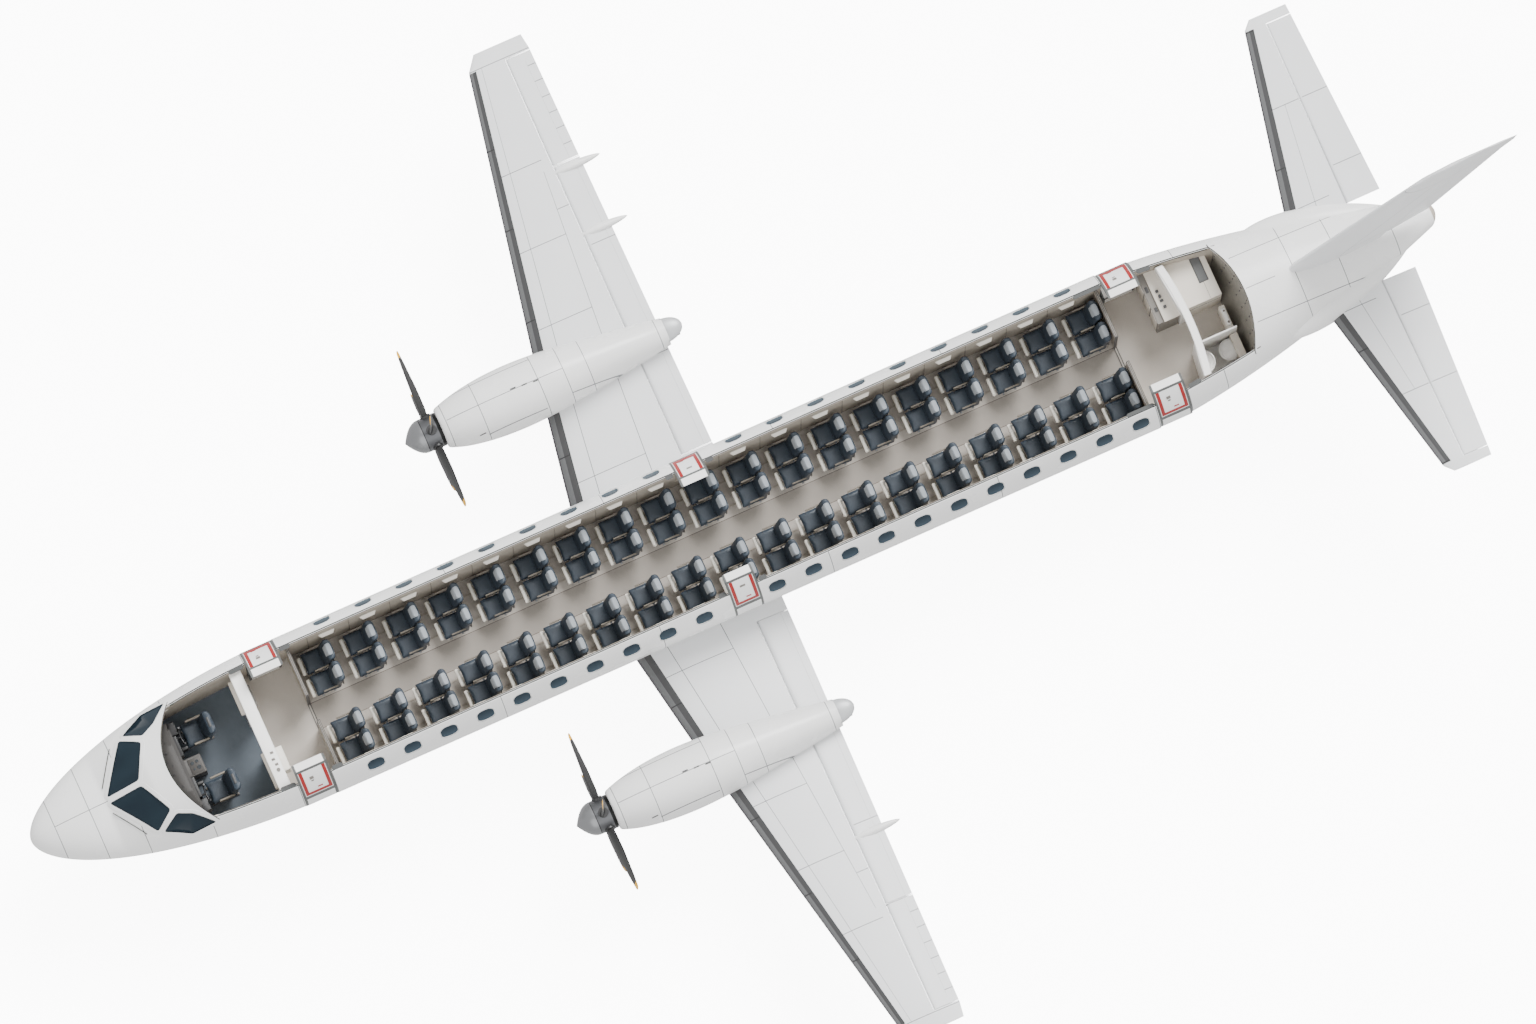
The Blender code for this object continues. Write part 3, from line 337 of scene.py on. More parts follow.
def turned(profile, centre, axis="x", sides=48):
    """A profile of (distance along the axis, radius) rows turned about an axis through the centre."""
    along, radius = np.array(profile, float).T
    turns = np.linspace(0, 2 * np.pi, sides, endpoint=False)
    u, v = radius[:, None] * np.cos(turns), radius[:, None] * np.sin(turns)
    w = np.broadcast_to(along[:, None], u.shape)
    order = {"x": (w, u, v), "y": (v, w, u), "z": (u, v, w)}[axis]
    return ring_solid(np.stack(order, -1) + np.array(centre, float))


def lifted(outline, height):
    """A thin plate of any outline, carried straight up by its height."""
    return ring_solid(np.stack([outline, outline + [0, 0, height]]))


def plate(outline, low, high, axis="z"):
    """An outline of points in one plane, carried from low to high along the axis square to it."""
    a, b = np.array(outline, float).T
    order = {"x": lambda c: (c, a, b), "y": lambda c: (a, c, b), "z": lambda c: (a, b, c)}[axis]
    return ring_solid(np.stack([xyz(*order(level)) for level in (low, high)]))


def rounded_outline(u, v, radius, steps=5):
    """The outline of a rectangle with round corners, from two (low, high) pairs."""
    corners = ((u[1], v[1], 0), (u[0], v[1], 90), (u[0], v[0], 180), (u[1], v[0], 270))
    rows = []
    for cu, cv, start in corners:
        turn = np.radians(np.linspace(start, start + 90, steps + 1))
        middle_u, middle_v = cu - radius * np.sign(cu - sum(u) / 2), cv - radius * np.sign(cv - sum(v) / 2)
        rows.append(np.stack([middle_u + radius * np.cos(turn), middle_v + radius * np.sin(turn)], -1))
    return np.concatenate(rows)

# %% [markdown]
# ## Light and floor
# A white aircraft on a pale floor needs soft light from every side, so that nothing burns out, and one
# broad light from the upper left of the picture, so that the round forms shade. A second, weaker one fills
# the near side. The bright floor throws no light back, so that the aircraft's sides stand out against it.

# %% Light and floor
SKY, SKY_STRENGTH = "#ffffff", 1.25
FLOOR_HALF = 90.0
# name: (direction it comes from, strength, angle in degrees)
SUNS = {"key": ((-0.62, -0.55, 1.0), 5.6, 30), "fill": ((0.5, 0.9, 1.2), 1.0, 60)}

world = bpy.data.worlds.new("studio")
world.use_nodes = True
world.node_tree.nodes["Background"].inputs[0].default_value = linear(SKY)
world.node_tree.nodes["Background"].inputs[1].default_value = SKY_STRENGTH
bpy.context.scene.world = world
for name, (direction, strength, angle) in SUNS.items():
    sun = bpy.data.objects.new(name, bpy.data.lights.new(name, "SUN"))
    sun.data.energy, sun.data.angle = strength, math.radians(angle)
    sun.rotation_euler = Vector(direction).to_track_quat("Z", "Y").to_euler()
    bpy.context.collection.objects.link(sun)

GLOW = {"Emission Color": linear("#ffffff"), "Emission Strength": 9.0}
floor_paint = mottled("studio_floor", 0.5, "#f3f3f3", "#f6f6f6", 0.75, **GLOW)[0]
corners = np.array([[-1, -1], [1, -1], [1, 1], [-1, 1]]) * FLOOR_HALF
studio_floor = bpy.data.objects.new("studio_floor", bpy.data.meshes.new("studio_floor"))
studio_floor.data.from_pydata(np.column_stack([corners, np.zeros(4)]).tolist(), [], [[0, 1, 2, 3]])
studio_floor.data.materials.append(floor_paint)
bpy.context.collection.objects.link(studio_floor)
studio_floor.visible_diffuse = studio_floor.visible_glossy = False
print("lights", len(SUNS), "floor", 2 * FLOOR_HALF, "m across")

# %% [markdown]
# ## The form of the fuselage
# The fuselage is a round tube whose half width, top line and keel line are each a formula of the distance
# along it: powers of a parabola for the nose, a straight slope for the windscreen, and slow powers for the
# tail. A section is an ellipse above its widest height and another below it. These are the formulas that
# the solids are made from, here with more stations, so that the finished skin is smooth.

# %% Fuselage form
RADIUS = 1.45
AXIS_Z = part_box("cabin_lower")[0].z + RADIUS
NOSE_X = 14.0
TAIL_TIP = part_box("tail_section")[0].x
TAIL_START = -6.8
TAIL_TAPER = 6.4
NOSE_LENGTH, KEEL_LENGTH, CROWN_LENGTH, NOSE_DROOP = 5.2, 4.2, 5.0, 0.55
SCREEN_BASE, SCREEN_TOP = (1.44, 0.237), (2.3, 0.90)
FLOOR_Z = -0.65
CUT_ANGLE = math.radians(35)
LINING, SHELL = 0.78, 0.10


def half_width(x):
    """RADIUS (1 - (1 - d / 5.2)^2)^0.55 at d behind the nose, and RADIUS (1 - (e / 6.4)^1.6) in the tail."""
    nose = np.clip(1 - (NOSE_X - x) / NOSE_LENGTH, 0, 1)
    tail = np.clip(TAIL_START - x, 0, None) / TAIL_TAPER
    return RADIUS * (1 - nose ** 2) ** 0.55 * (1 - tail ** 1.6)


def crown(x):
    """The top line: a round hood, a straight windscreen, a parabola up to the roof, and the falling tail."""
    x = np.asarray(x, float)
    d = NOSE_X - x
    hood = -NOSE_DROOP + 0.859 * np.sqrt(np.clip(1 - (1 - np.clip(d, 0, 2.4) / 2.4) ** 2, 0, 1))
    share = (d - SCREEN_BASE[0]) / (SCREEN_TOP[0] - SCREEN_BASE[0])
    screen = SCREEN_BASE[1] + share * (SCREEN_TOP[1] - SCREEN_BASE[1])
    roof = RADIUS - (RADIUS - SCREEN_TOP[1]) * ((CROWN_LENGTH - d) / (CROWN_LENGTH - SCREEN_TOP[0])) ** 2
    tail = RADIUS - 0.55 * (np.clip(TAIL_START - x, 0, None) / (TAIL_START - TAIL_TIP)) ** 1.5
    return np.select([d < SCREEN_BASE[0], d < SCREEN_TOP[0], d < CROWN_LENGTH], [hood, screen, roof], tail)


def keel(x):
    """The bottom line: a power of a parabola under the nose, and the rising tail."""
    d = NOSE_X - np.asarray(x, float)
    nose = -NOSE_DROOP - (RADIUS - NOSE_DROOP) * (1 - np.clip(1 - d / KEEL_LENGTH, 0, 1) ** 2) ** 0.55
    tail = -RADIUS + 1.95 * (np.clip(TAIL_START - x, 0, None) / (TAIL_START - TAIL_TIP)) ** 1.35
    return np.where(d < KEEL_LENGTH, nose, tail)


def waist(x):
    """The height of the widest point: it droops at the nose and lies half way up in the tail."""
    d = NOSE_X - np.asarray(x, float)
    nose = -NOSE_DROOP * np.clip(1 - d / 4.6, 0, 1) ** 1.5
    return np.where(x < TAIL_START, (crown(x) + keel(x)) / 2, nose)


def skin(x, angle, inset=0.0):
    """Points of the skin: y = (w - inset) cos a, z = waist + (h - inset) sin a. Angle 0 is the port side."""
    x, angle = np.broadcast_arrays(np.asarray(x, float), np.asarray(angle, float))
    mid = waist(x)
    height = np.where(np.sin(angle) > 0, crown(x) - mid, mid - keel(x))
    y = (half_width(x) - inset) * np.cos(angle)
    return xyz(x, y, mid + (height - inset) * np.sin(angle) + AXIS_Z)


def skin_y(x, z, inset=0.0):
    """Half width of the skin at height z above the axis."""
    mid = waist(x)
    height = np.where(z > mid, crown(x) - mid, mid - keel(x)) - inset
    return (half_width(x) - inset) * np.sqrt(np.clip(1 - np.clip(abs(z - mid) / height, 0, 1) ** 2, 0, 1))


def cut_z(x):
    """Height above the axis at which the roof is cut away."""
    return skin(x, CUT_ANGLE)[..., 2] - AXIS_Z


def lining_rings(x, extra=0.0):
    """Rings of the cabin's inside: flat floor, straight linings up to the cut, and the inside of the roof."""
    x = np.asarray(x, float)
    low = np.maximum(FLOOR_Z, keel(x) + SHELL)
    top = np.minimum(LINING * half_width(x), skin_y(x, cut_z(x), 0.04)) - extra
    foot = np.minimum(top, skin_y(x, low, 0.05) - extra)
    arc = np.radians(np.linspace(47, 133, 25))
    over_it = skin(x[:, None], arc[None, :], SHELL + extra)
    port, last = [[xyz(x, y, z + AXIS_Z)[:, None] for y, z in rows] for rows in
                  (((-foot, low), (foot, low), (top, cut_z(x))), ((-top, cut_z(x)),))]
    return np.concatenate([*port, over_it, *last], 1)


def rings(x, sides=96, inset=0.0):
    turns = 2 * np.pi * (np.arange(sides) + 0.5) / sides
    return skin(np.asarray(x, float)[:, None], turns[None, :], inset)


def carried(outline, stations, sign):
    """A solid whose (y, z) outline, measured from the axis, is carried along x through the stations."""
    return ring_solid(np.stack([xyz(at, sign * outline[:, 0], outline[:, 1] + AXIS_Z) for at in stations]))


print("fuselage axis", round(AXIS_Z, 3), "m above the floor")

# %% [markdown]
# ## Paint
# The skin is aluminium sheet under a gloss white polyurethane enamel: a dielectric with an IOR of 1.5, a
# low roughness and a slow waviness that the rivets and frames leave in the sheet. Skin joints are gaps of
# one or two millimetres, filled and grey. At this distance they would vanish, so they are drawn 12 mm wide.

# %% Fuselage paint
SEAM = 0.012
SEAM_GREY = "#606264"
# where the skin sheets of the nose, the cabin and the tail meet, along the fuselage
SKIN_JOINTS = (13.53, 12.87, 12.16, 11.02, 9.42, 8.79, 5.6, 2.6, -0.6, -3.8, -6.80, -7.43, -8.15, -9.95,
               -10.75, -11.8)


def enamel(name, code_a, code_b, roughness, seam_rows=(), side_rows=(), flat=False):
    """Gloss enamel with faint waviness, and seams as rectangles over (x, y) and (x, z), or over u and v."""
    made, tree, shader = material(name, code_a, roughness, IOR=1.5, **{"Specular IOR Level": 0.35})
    axes, place = coordinates(tree, flat)
    colour, noise = shades(tree, place, 1.6, code_a, code_b)
    for across, rows in ((axes[1], seam_rows), (axes[2], side_rows)):
        if rows:
            colour = over(tree, rectangles(tree, axes[0], across, rows), colour, linear(SEAM_GREY))
    tree.links.new(colour, shader.inputs["Base Color"])
    roughened(tree, shader, noise, roughness * 0.85, roughness * 1.2)
    bumped(tree, shader, noise, 0.05, 0.01)
    return made


# lengthwise joints (x from, x to, distance from the middle) seen from above on the nose and the tail
TOP_JOINTS = ((12.16, 13.53, 0.0), (-9.6, -7.9, 0.0), (-12.3, -9.0, 0.60), (-12.3, -9.0, -0.62))
SIDE_JOINTS = ((-11.6, 12.87, -0.62), (-6.8, 8.8, -1.15))
top_rows = [(*around(at, SEAM / 2), None, None) for at in SKIN_JOINTS]
top_rows += [(low, high, *around(y, SEAM / 2)) for low, high, y in TOP_JOINTS]
side_rows = [(low, high, *around(AXIS_Z + z, SEAM / 2)) for low, high, z in SIDE_JOINTS]
white_enamel = enamel("white_enamel", "#e2e2e1", "#e8e8e7", 0.26, top_rows, side_rows)
plain_white = enamel("plain_white_enamel", "#e2e2e1", "#e7e7e6", 0.28)

# %% [markdown]
# ## Inside finishes
# Where the roof is cut away the wall shows its layers: skin, insulation, a light frame, insulation and the
# trim panel. The trim panels are warm grey glass-fibre laminate with a fine moulded grain, matt so that
# they don't dazzle. The floor is a wool-mix carpet, darker along the aisle.

# %% Inside finishes
def moulded(name, code_a, code_b, roughness, grain=0.004, strength=0.15, **sockets):
    """A moulded or laminated panel: two close shades at arm's length, and a grain of so many metres."""
    made, tree, shader, place, _ = mottled(name, 2.5, code_a, code_b, roughness, **sockets)
    fine = add(tree, "ShaderNodeTexNoise", {"Vector": place, "Scale": 1 / grain, "Detail": 2.0}).outputs[0]
    roughened(tree, shader, fine, roughness * 0.9, min(1.0, roughness * 1.1))
    bumped(tree, shader, fine, strength, grain / 4)
    return made


insulation_and_hole_shade = moulded("dark_insulation_felt_and_hole_shade", "#191a1b", "#232424", 0.9, 0.006, 0.4)
frame_alloy = moulded("primed_frame_alloy", "#c9cac8", "#d6d6d3", 0.5)
trim_panel = moulded("warm_grey_trim_laminate", "#9f978b", "#aaa296", 0.6)
pale_trim = moulded("cream_trim_laminate", "#ddd8cd", "#e6e2d8", 0.5)
beige_unit = moulded("beige_cabinet_laminate", "#cbc4b8", "#d5cec3", 0.5)
grey_unit = moulded("grey_cabinet_laminate", "#6b6762", "#76726c", 0.5)
white_moulding = moulded("white_moulded_abs", "#ecebe8", "#f3f2ef", 0.35, 0.003, 0.08)
dark_plastic = moulded("dark_moulded_abs", "#3b3b3b", "#464646", 0.5, 0.003)
black_plastic = moulded("black_moulded_abs", "#1b1b1c", "#242425", 0.45, 0.003)
print("materials", len(bpy.data.materials))

# %% [markdown]
# ## Which face gets which finish
# A piece that is cut open shows several materials. Its faces are sorted by where they lie: how far inside
# the skin, and how high. On the cut edge of the wall the layers follow each other inwards at fixed widths.

# %% Wall layers
# (layer, width in metres) from the skin inwards, as material numbers 0 skin, 1 insulation, 2 frame, 3 trim
LAYERS = [(0, 0.008), (1, 0.020), (2, 0.008), (1, 0.016), (3, 0.006)]
LAYER_EDGES = np.cumsum([width for _, width in LAYERS])
GROOVE_DEPTH = 0.03
LAYER_FINISHES = [white_enamel, insulation_and_hole_shade, frame_alloy, trim_panel]


def sort_faces(obj, rule):
    """Gives each face the material number that the rule works out from its centre and its normal."""
    count = len(obj.data.polygons)
    centres, normals = np.empty(count * 3), np.empty(count * 3)
    obj.data.polygons.foreach_get("center", centres)
    obj.data.polygons.foreach_get("normal", normals)
    numbers = rule(centres.reshape(-1, 3), normals.reshape(-1, 3))
    obj.data.polygons.foreach_set("material_index", numbers.astype(np.int32))


def wall_layers(centres, normals):
    """Trim where a face lies inside the skin, the layer's number on the cut edge, and paint elsewhere."""
    x, y, z = centres[:, 0], abs(centres[:, 1]), centres[:, 2] - AXIS_Z
    mid = waist(x)
    height = np.where(z > mid, crown(x) - mid, mid - keel(x))
    share = np.hypot(y / np.maximum(half_width(x), 0.01), (z - mid) / np.maximum(height, 0.01))
    inward = (1 - share) * half_width(x)
    edge = skin_y(x, cut_z(x)) - y
    layer = np.array([0] + [number for number, _ in LAYERS] + [3])[np.digitize(edge, [0, *LAYER_EDGES])]
    on_edge = (abs(z - cut_z(x)) < GROOVE_DEPTH + 0.006) & (edge > 0) & (edge < LAYER_EDGES[-1] + 0.002)
    on_edge &= (x < FRONT_ARC[0] - FRONT_ARC[1]) & (x > REAR_ARC[0] - REAR_ARC[1])
    return np.where(on_edge, layer, np.where(inward > 0.03, 3, 0))


def groove_cutters(x, sign):
    """The two grooves in the wall's cut edge, as strips at a fixed distance inside the skin."""
    shapes = []
    for start, end in ((LAYER_EDGES[0], LAYER_EDGES[1]), (LAYER_EDGES[2], LAYER_EDGES[3])):
        top, skin_edge = cut_z(x) + AXIS_Z, skin_y(x, cut_z(x))
        corners = ((start, 0.03), (end, 0.03), (end, -GROOVE_DEPTH), (start, -GROOVE_DEPTH))
        grid = [xyz(x, sign * (skin_edge - inner), top + rise) for inner, rise in corners]
        shapes.append(ring_solid(np.stack(grid, 1)))
    return shapes


# %% [markdown]
# ## Radome and nose
# The radome is a smooth glass-fibre cap over the weather radar. Behind it the nose is one riveted shell that
# carries the windscreen and ends at the front doors. It is lofted from dense rings, and the cockpit, the
# bowed roof opening, the four windscreen holes and the grooves of the cut edge are taken out of it.

# %% Nose shell
FRONT_DOOR_X, REAR_DOOR_X, DOOR_WIDTH, DOOR_GAP = 9.10, -7.12, 0.60, 0.005
HALF_DOORWAY = DOOR_WIDTH / 2 + DOOR_GAP
RADOME_X = 12.87
FRONT_ARC, REAR_ARC = (11.35, 0.50, 1.15), (-9.0, -0.23, 1.0)
PANES = {
    "windscreen_front": [(1.50, 0.055), (2.11, 0.055), (2.41, 0.64), (2.07, 0.86)],
    "windscreen_side": [(2.16, 0.91), (2.48, 0.74), (2.74, 0.86), (3.05, 1.13), (2.60, 1.13)],
}


def arc_edge(y, arc):
    """Where the roof is cut across: x = end - bow min(1, |y| / reach)^2."""
    end, bow, reach = arc
    return end - bow * np.minimum(1, abs(y) / reach) ** 2


def roof_cutter(arc, start):
    """Everything above the cut from a start station to the bowed edge."""
    y = np.linspace(-1.8, 1.8, 73)
    share = np.linspace(0, 1, 25)
    x = start + (arc_edge(y, arc)[:, None] - start) * share
    z = np.concatenate([cut_z(x), np.full((len(y), 2), 3.0)], 1) + AXIS_Z
    x = np.concatenate([x, x[:, -1:], x[:, :1]], 1)
    return ring_solid(xyz(x, y[:, None], z))


def on_crown(x, y, inset=0.0):
    """Points of the upper skin above plan positions: z = waist + h sqrt(1 - (y / w)^2)."""
    share = np.clip(abs(y) / (half_width(x) - inset), 0, 0.999)
    mid = waist(x)
    return xyz(x, y, mid + (crown(x) - mid - inset) * np.sqrt(1 - share ** 2) + AXIS_Z)


def round_corners(outline, radius, steps=6, along=14):
    """A closed polygon in plan with round corners and evenly split sides."""
    points = np.array(outline, float)
    found = []
    for before, at, after in zip(np.roll(points, 1, 0), points, np.roll(points, -1, 0)):
        to_before, to_after = before - at, after - at
        to_before /= np.linalg.norm(to_before)
        to_after /= np.linalg.norm(to_after)
        start, end = at + radius * to_before, at + radius * to_after
        t = np.linspace(0, 1, steps)[:, None]
        found.append((1 - t) ** 2 * start + 2 * t * (1 - t) * at + t ** 2 * end)
    rows = []
    for arc, following in zip(found, found[1:] + found[:1]):
        t = np.linspace(0, 1, along)[1:-1, None]
        rows += [arc, arc[-1] + t * (following[0] - arc[-1])]
    return np.concatenate(rows)


def grown(outline, distance):
    """The outline in plan moved outwards along its own normals, less where the skin falls away steeply."""
    step = np.roll(outline, -1, 0) - np.roll(outline, 1, 0)
    normal = np.stack([step[:, 1], -step[:, 0]], -1) / np.linalg.norm(step, axis=1)[:, None]
    if np.sum(normal * (outline - outline.mean(0))) < 0:
        normal = -normal
    share = np.clip(abs(outline[:, 1]) / half_width(outline[:, 0]), 0, 0.98)
    steep = share / np.sqrt(1 - share ** 2)
    return outline + normal * distance / np.stack([np.ones(len(steep)), np.hypot(1, steep)], -1)


def pane_outline(name, sign):
    rows = np.array(PANES[name], float)
    plan = np.stack([NOSE_X - rows[:, 0], sign * rows[:, 1]], -1)
    return round_corners(plan, 0.05 if name == "windscreen_front" else 0.04)


def pane_solid(outline, insets):
    return ring_solid(np.stack([on_crown(*outline.T, inset) for inset in insets]))


radome_x = NOSE_X - 0.001 - (NOSE_X - 0.001 - RADOME_X) * np.linspace(0, 1, 40) ** 1.6
piece("radome_shell", ring_solid(rings(radome_x)), white_enamel, replaces=["radome"])

nose_x = np.linspace(RADOME_X, FRONT_DOOR_X + HALF_DOORWAY, 70)
cavity_x = np.linspace(12.15, 9.2, 40)
edge_x = np.linspace(11.0, 9.2, 30)
pane_names = [(name, side, sign) for name in PANES for side, sign in SIDES]
cuts = [ring_solid(lining_rings(cavity_x)), roof_cutter(FRONT_ARC, 9.2)]
cuts += [pane_solid(pane_outline(name, sign), (0.35, -0.2)) for name, _, sign in pane_names]
cuts += [*groove_cutters(edge_x, 1), *groove_cutters(edge_x, -1)]
nose = piece("nose_shell", ring_solid(rings(nose_x)), LAYER_FINISHES,
             replaces=["nose_section"], cuts=cuts)
sort_faces(nose, wall_layers)
print("nose shell", len(nose.data.polygons), "faces")

# %% [markdown]
# ## Windscreen
# Each pane is laminated glass, 30 mm thick, dark because little light comes back from the cockpit. It is
# slate blue, and the paler streaks in its colour are painted reflections. A wide white frame stands a few
# millimetres proud round each pane: a strip of four edges carried round the pane's outline.

# %% Panes and frames
FRAME_WIDTH, FRAME_PROUD = 0.075, 0.006
FRAME_SECTION = ((0.0, 0.02), (0.0, -FRAME_PROUD), (FRAME_WIDTH - 0.008, -FRAME_PROUD), (FRAME_WIDTH, 0.004))
SEAL_SECTION = ((-0.006, 0.012), (-0.006, -0.002), (0.004, -FRAME_PROUD - 0.002), (0.004, 0.01))
# (name, (distance out, inset) round its section, finish, slot) of the bands round a pane
BANDS = (("frame", FRAME_SECTION, plain_white, "fuselage_paint"),
         ("seal", SEAL_SECTION, black_plastic, "panel_plastic"))

slate_glass, tree, shader = material("laminated_slate_glass", "#1c262e", 0.06, **{"Specular IOR Level": 0.08})
axes, place = coordinates(tree)
# the paler streaks mixed into the glass's colour are painted reflections
painted_reflection_streaks = add(tree, "ShaderNodeMapping", {0: place, 2: (0.0, 0.0, 0.5), 3: (0.7, 2.2, 0.4)})
colour, noise = shades(tree, painted_reflection_streaks.outputs[0], 1.1, "#0f171d", "#27343d", 1.0)
tree.links.new(colour, shader.inputs["Base Color"])
for name, side, sign in pane_names:
    outline = pane_outline(name, sign)
    piece(f"{name}_pane_{side}", pane_solid(grown(outline, -0.004), (0.034, 0.006)), slate_glass,
          replaces=[f"{name}_{side}"])
    for part, section, finish, slot in BANDS:
        band = np.stack([on_crown(*grown(outline, out).T, inset) for out, inset in section], 1)
        piece(f"{name}_{part}_{side}", band_solid(band), finish)

# %% [markdown]
# ## Roof edge
# The cut roof shows as a bowed white edge with a dark seal line on its inner side. It is a flat strip that
# follows the cut, laid on the shell's own surface.

# %% Roof edge strips
def edge_strip(arc, way, reach, offsets, rise):
    """A strip along the bowed edge: its four edges lie at two distances behind the cut and two heights."""
    y = np.linspace(-reach, reach, 61)
    loop = []
    for offset, inset in ((offsets[0], rise), (offsets[1], rise), (offsets[1], 0.02), (offsets[0], 0.02)):
        loop.append(on_crown(arc_edge(y, arc) + way * offset, y, -inset if inset == rise else inset))
    return ring_solid(np.stack(loop, 1))


for name, arc, way, reach in (("front", FRONT_ARC, 1, 1.12), ("rear", REAR_ARC, -1, 1.05)):
    piece(f"roof_edge_lip_{name}", edge_strip(arc, way, reach, (0.016, 0.045), 0.004), plain_white)
    piece(f"roof_edge_seal_{name}", edge_strip(arc, way, reach, (0.0, 0.016), 0.002), insulation_and_hole_shade)

# %% [markdown]
# ## Cabin walls
# The walls between the doors are straight, so one section carried along the fuselage makes each. The
# windows are pockets with round corners, cut through the skin: a recess with a dark pane at its bottom and
# a pale sill, spaced as the picture shows them, wider on the starboard side than on the port side.

# %% Cabin walls and windows
WINDOW, WINDOW_ANGLE, WINDOW_DEPTH = (0.31, 0.34), math.radians(22.5), 0.022
WALL_LEAN = 0.0003
SILL_HALF, SILL_REACH, JOINT_ASIDE = (0.15, 0.11), 0.055, 0.36
EXIT_X, EXIT_WIDTH, EXIT_SILL = 1.0, 0.54, -0.10
# side sign: (first window x, spacing, count, gap either side of the exit)
WINDOW_ROWS = {1: (8.02, 0.69, 22, 0.42), -1: (7.88, 0.78, 19, 0.42)}


def window_places(sign):
    first, pitch, count, clear = WINDOW_ROWS[sign]
    places = first - pitch * np.arange(count)
    return [float(x) for x in places if abs(x - EXIT_X) > clear]


def on_side(x, along, depth, sign):
    """Points of the side skin: along is the arc length from the window's middle, depth how far inside."""
    angle = WINDOW_ANGLE + along / RADIUS
    return xyz(x, sign * (RADIUS - depth) * np.cos(angle), (RADIUS - depth) * np.sin(angle) + AXIS_Z)


def window_ring(x, grow, depth, sign):
    half_x, half_v = WINDOW[0] / 2 + grow, WINDOW[1] / 2 + grow
    outline = rounded_outline((-half_x, half_x), (-half_v, half_v), 0.115 + grow, 7)
    return on_side(x + outline[:, 0], outline[:, 1], depth, sign)


def window_part(x, sign, rows):
    """A part of one window: rings at (growth, depth) rows, from outside inwards."""
    return ring_solid(np.stack([window_ring(x, grow, depth, sign) for grow, depth in rows]))


def tapered_sill(x):
    """The pale ledge inside a window: wide at the lining, narrower where it ends, and sloping inwards."""
    wall, edge = LINING * RADIUS, LINING * RADIUS - SILL_REACH
    rows = ((wall, SILL_HALF[0], 0.47, 0.36), (edge, SILL_HALF[1], 0.43, 0.39))
    grid = np.array([[(x - half, y, low), (x + half, y, low), (x + half, y, high), (x - half, y, high)]
                     for y, half, high, low in rows])
    return ring_solid(grid + [0, 0, AXIS_Z])


def wall_shape(sign):
    """The skin's arc, the layers with their two grooves down the cut edge, and the straight lining."""
    outer = np.linspace(math.asin((FLOOR_Z + WALL_LEAN) / RADIUS), CUT_ANGLE, 49)
    y, z = RADIUS * np.cos(outer), RADIUS * np.sin(outer)
    top, edge = z[-1], y[-1]
    levels = (0, GROOVE_DEPTH, GROOVE_DEPTH, 0.004, 0.004, GROOVE_DEPTH, GROOVE_DEPTH, 0)
    steps = [(edge - inward, top - drop) for inward, drop in zip(np.repeat(LAYER_EDGES[:4], 2), levels)]
    steps += [(LINING * RADIUS, top), (LINING * RADIUS, FLOOR_Z + WALL_LEAN)]
    stations = np.linspace(FRONT_DOOR_X - HALF_DOORWAY, REAR_DOOR_X + HALF_DOORWAY, 33)
    return carried(np.concatenate([np.stack([y, z], -1), steps]), stations, sign)


# (growth, depth) round the section of a window's rim
RIM = ((0.004, 0.002), (0.010, -0.0015), (0.016, 0.002), (0.010, 0.006))
rim_grey = moulded("grey_window_rim", "#5d6163", "#696d6f", 0.5)
seam_brown = moulded("brown_grey_trim_joint", "#6d665d", "#777067", 0.6)
window_glass, tree, shader = material("cabin_window_acrylic", "#39464f", 0.12, **{"Specular IOR Level": 0.02})
axes, place = coordinates(tree)
# the pane's colour darkens from its bottom to its top: painted shade
painted_shade_fall = add(tree, "ShaderNodeMapRange", {0: axes[2], 1: AXIS_Z + 0.42, 2: AXIS_Z + 0.72})
colour = over(tree, painted_shade_fall.outputs[0], linear("#3d4b55"), linear("#1f2931"))
tree.links.new(colour, shader.inputs["Base Color"])
for side, sign in SIDES:
    near, far = around(EXIT_X, EXIT_WIDTH / 2 + WALL_LEAN)
    exit_z = (AXIS_Z + EXIT_SILL - WALL_LEAN, AXIS_Z + 2.0)
    exit_hole = plate([(near, 0.8), (far, 0.8), (far, 1.8), (near, 1.8)], *exit_z)
    places = window_places(sign)
    pockets = merged([window_part(x, sign, ((0.0, -0.05), (0.0, WINDOW_DEPTH))) for x in places])
    wall = piece(f"cabin_wall_{side}", wall_shape(sign), LAYER_FINISHES,
                 replaces=[f"cabin_side_{side}"], cuts=[mirror_y(exit_hole, sign), pockets])
    sort_faces(wall, wall_layers)
    panes = [window_part(x, sign, ((-0.001, WINDOW_DEPTH - 0.008), (-0.001, WINDOW_DEPTH + 0.01)))
             for x in places]
    piece(f"cabin_panes_{side}", merged(panes), window_glass)
    rims = [band_solid(np.stack([window_ring(x, *row, sign) for row in RIM], 1)) for x in places]
    piece(f"cabin_window_rims_{side}", merged(rims), rim_grey)
    joint_y, joint_z = (LINING * RADIUS - 0.006, LINING * RADIUS), (FLOOR_Z + 0.02, cut_z(places[0]) - 0.01)
    joints = [rounded_bar(around(x + JOINT_ASIDE, 0.005), joint_y, (joint_z[0] + AXIS_Z, joint_z[1] + AXIS_Z),
                          0.002, 1) for x in places]
    sills = merged([tapered_sill(x) for x in places])
    piece(f"window_sills_{side}", mirror_y(sills, sign), pale_trim)
    piece(f"lining_joints_{side}", mirror_y(merged(joints), sign), seam_brown)
    print(side, len(places), "windows")

# %% [markdown]
# ## Lower fuselage and floor
# The lower lobe is one plain shell with the floor on it. The floor's carpet is a thin sheet that follows
# the walls. Its colour changes at the aisle's edges, where dark trims run the whole length.

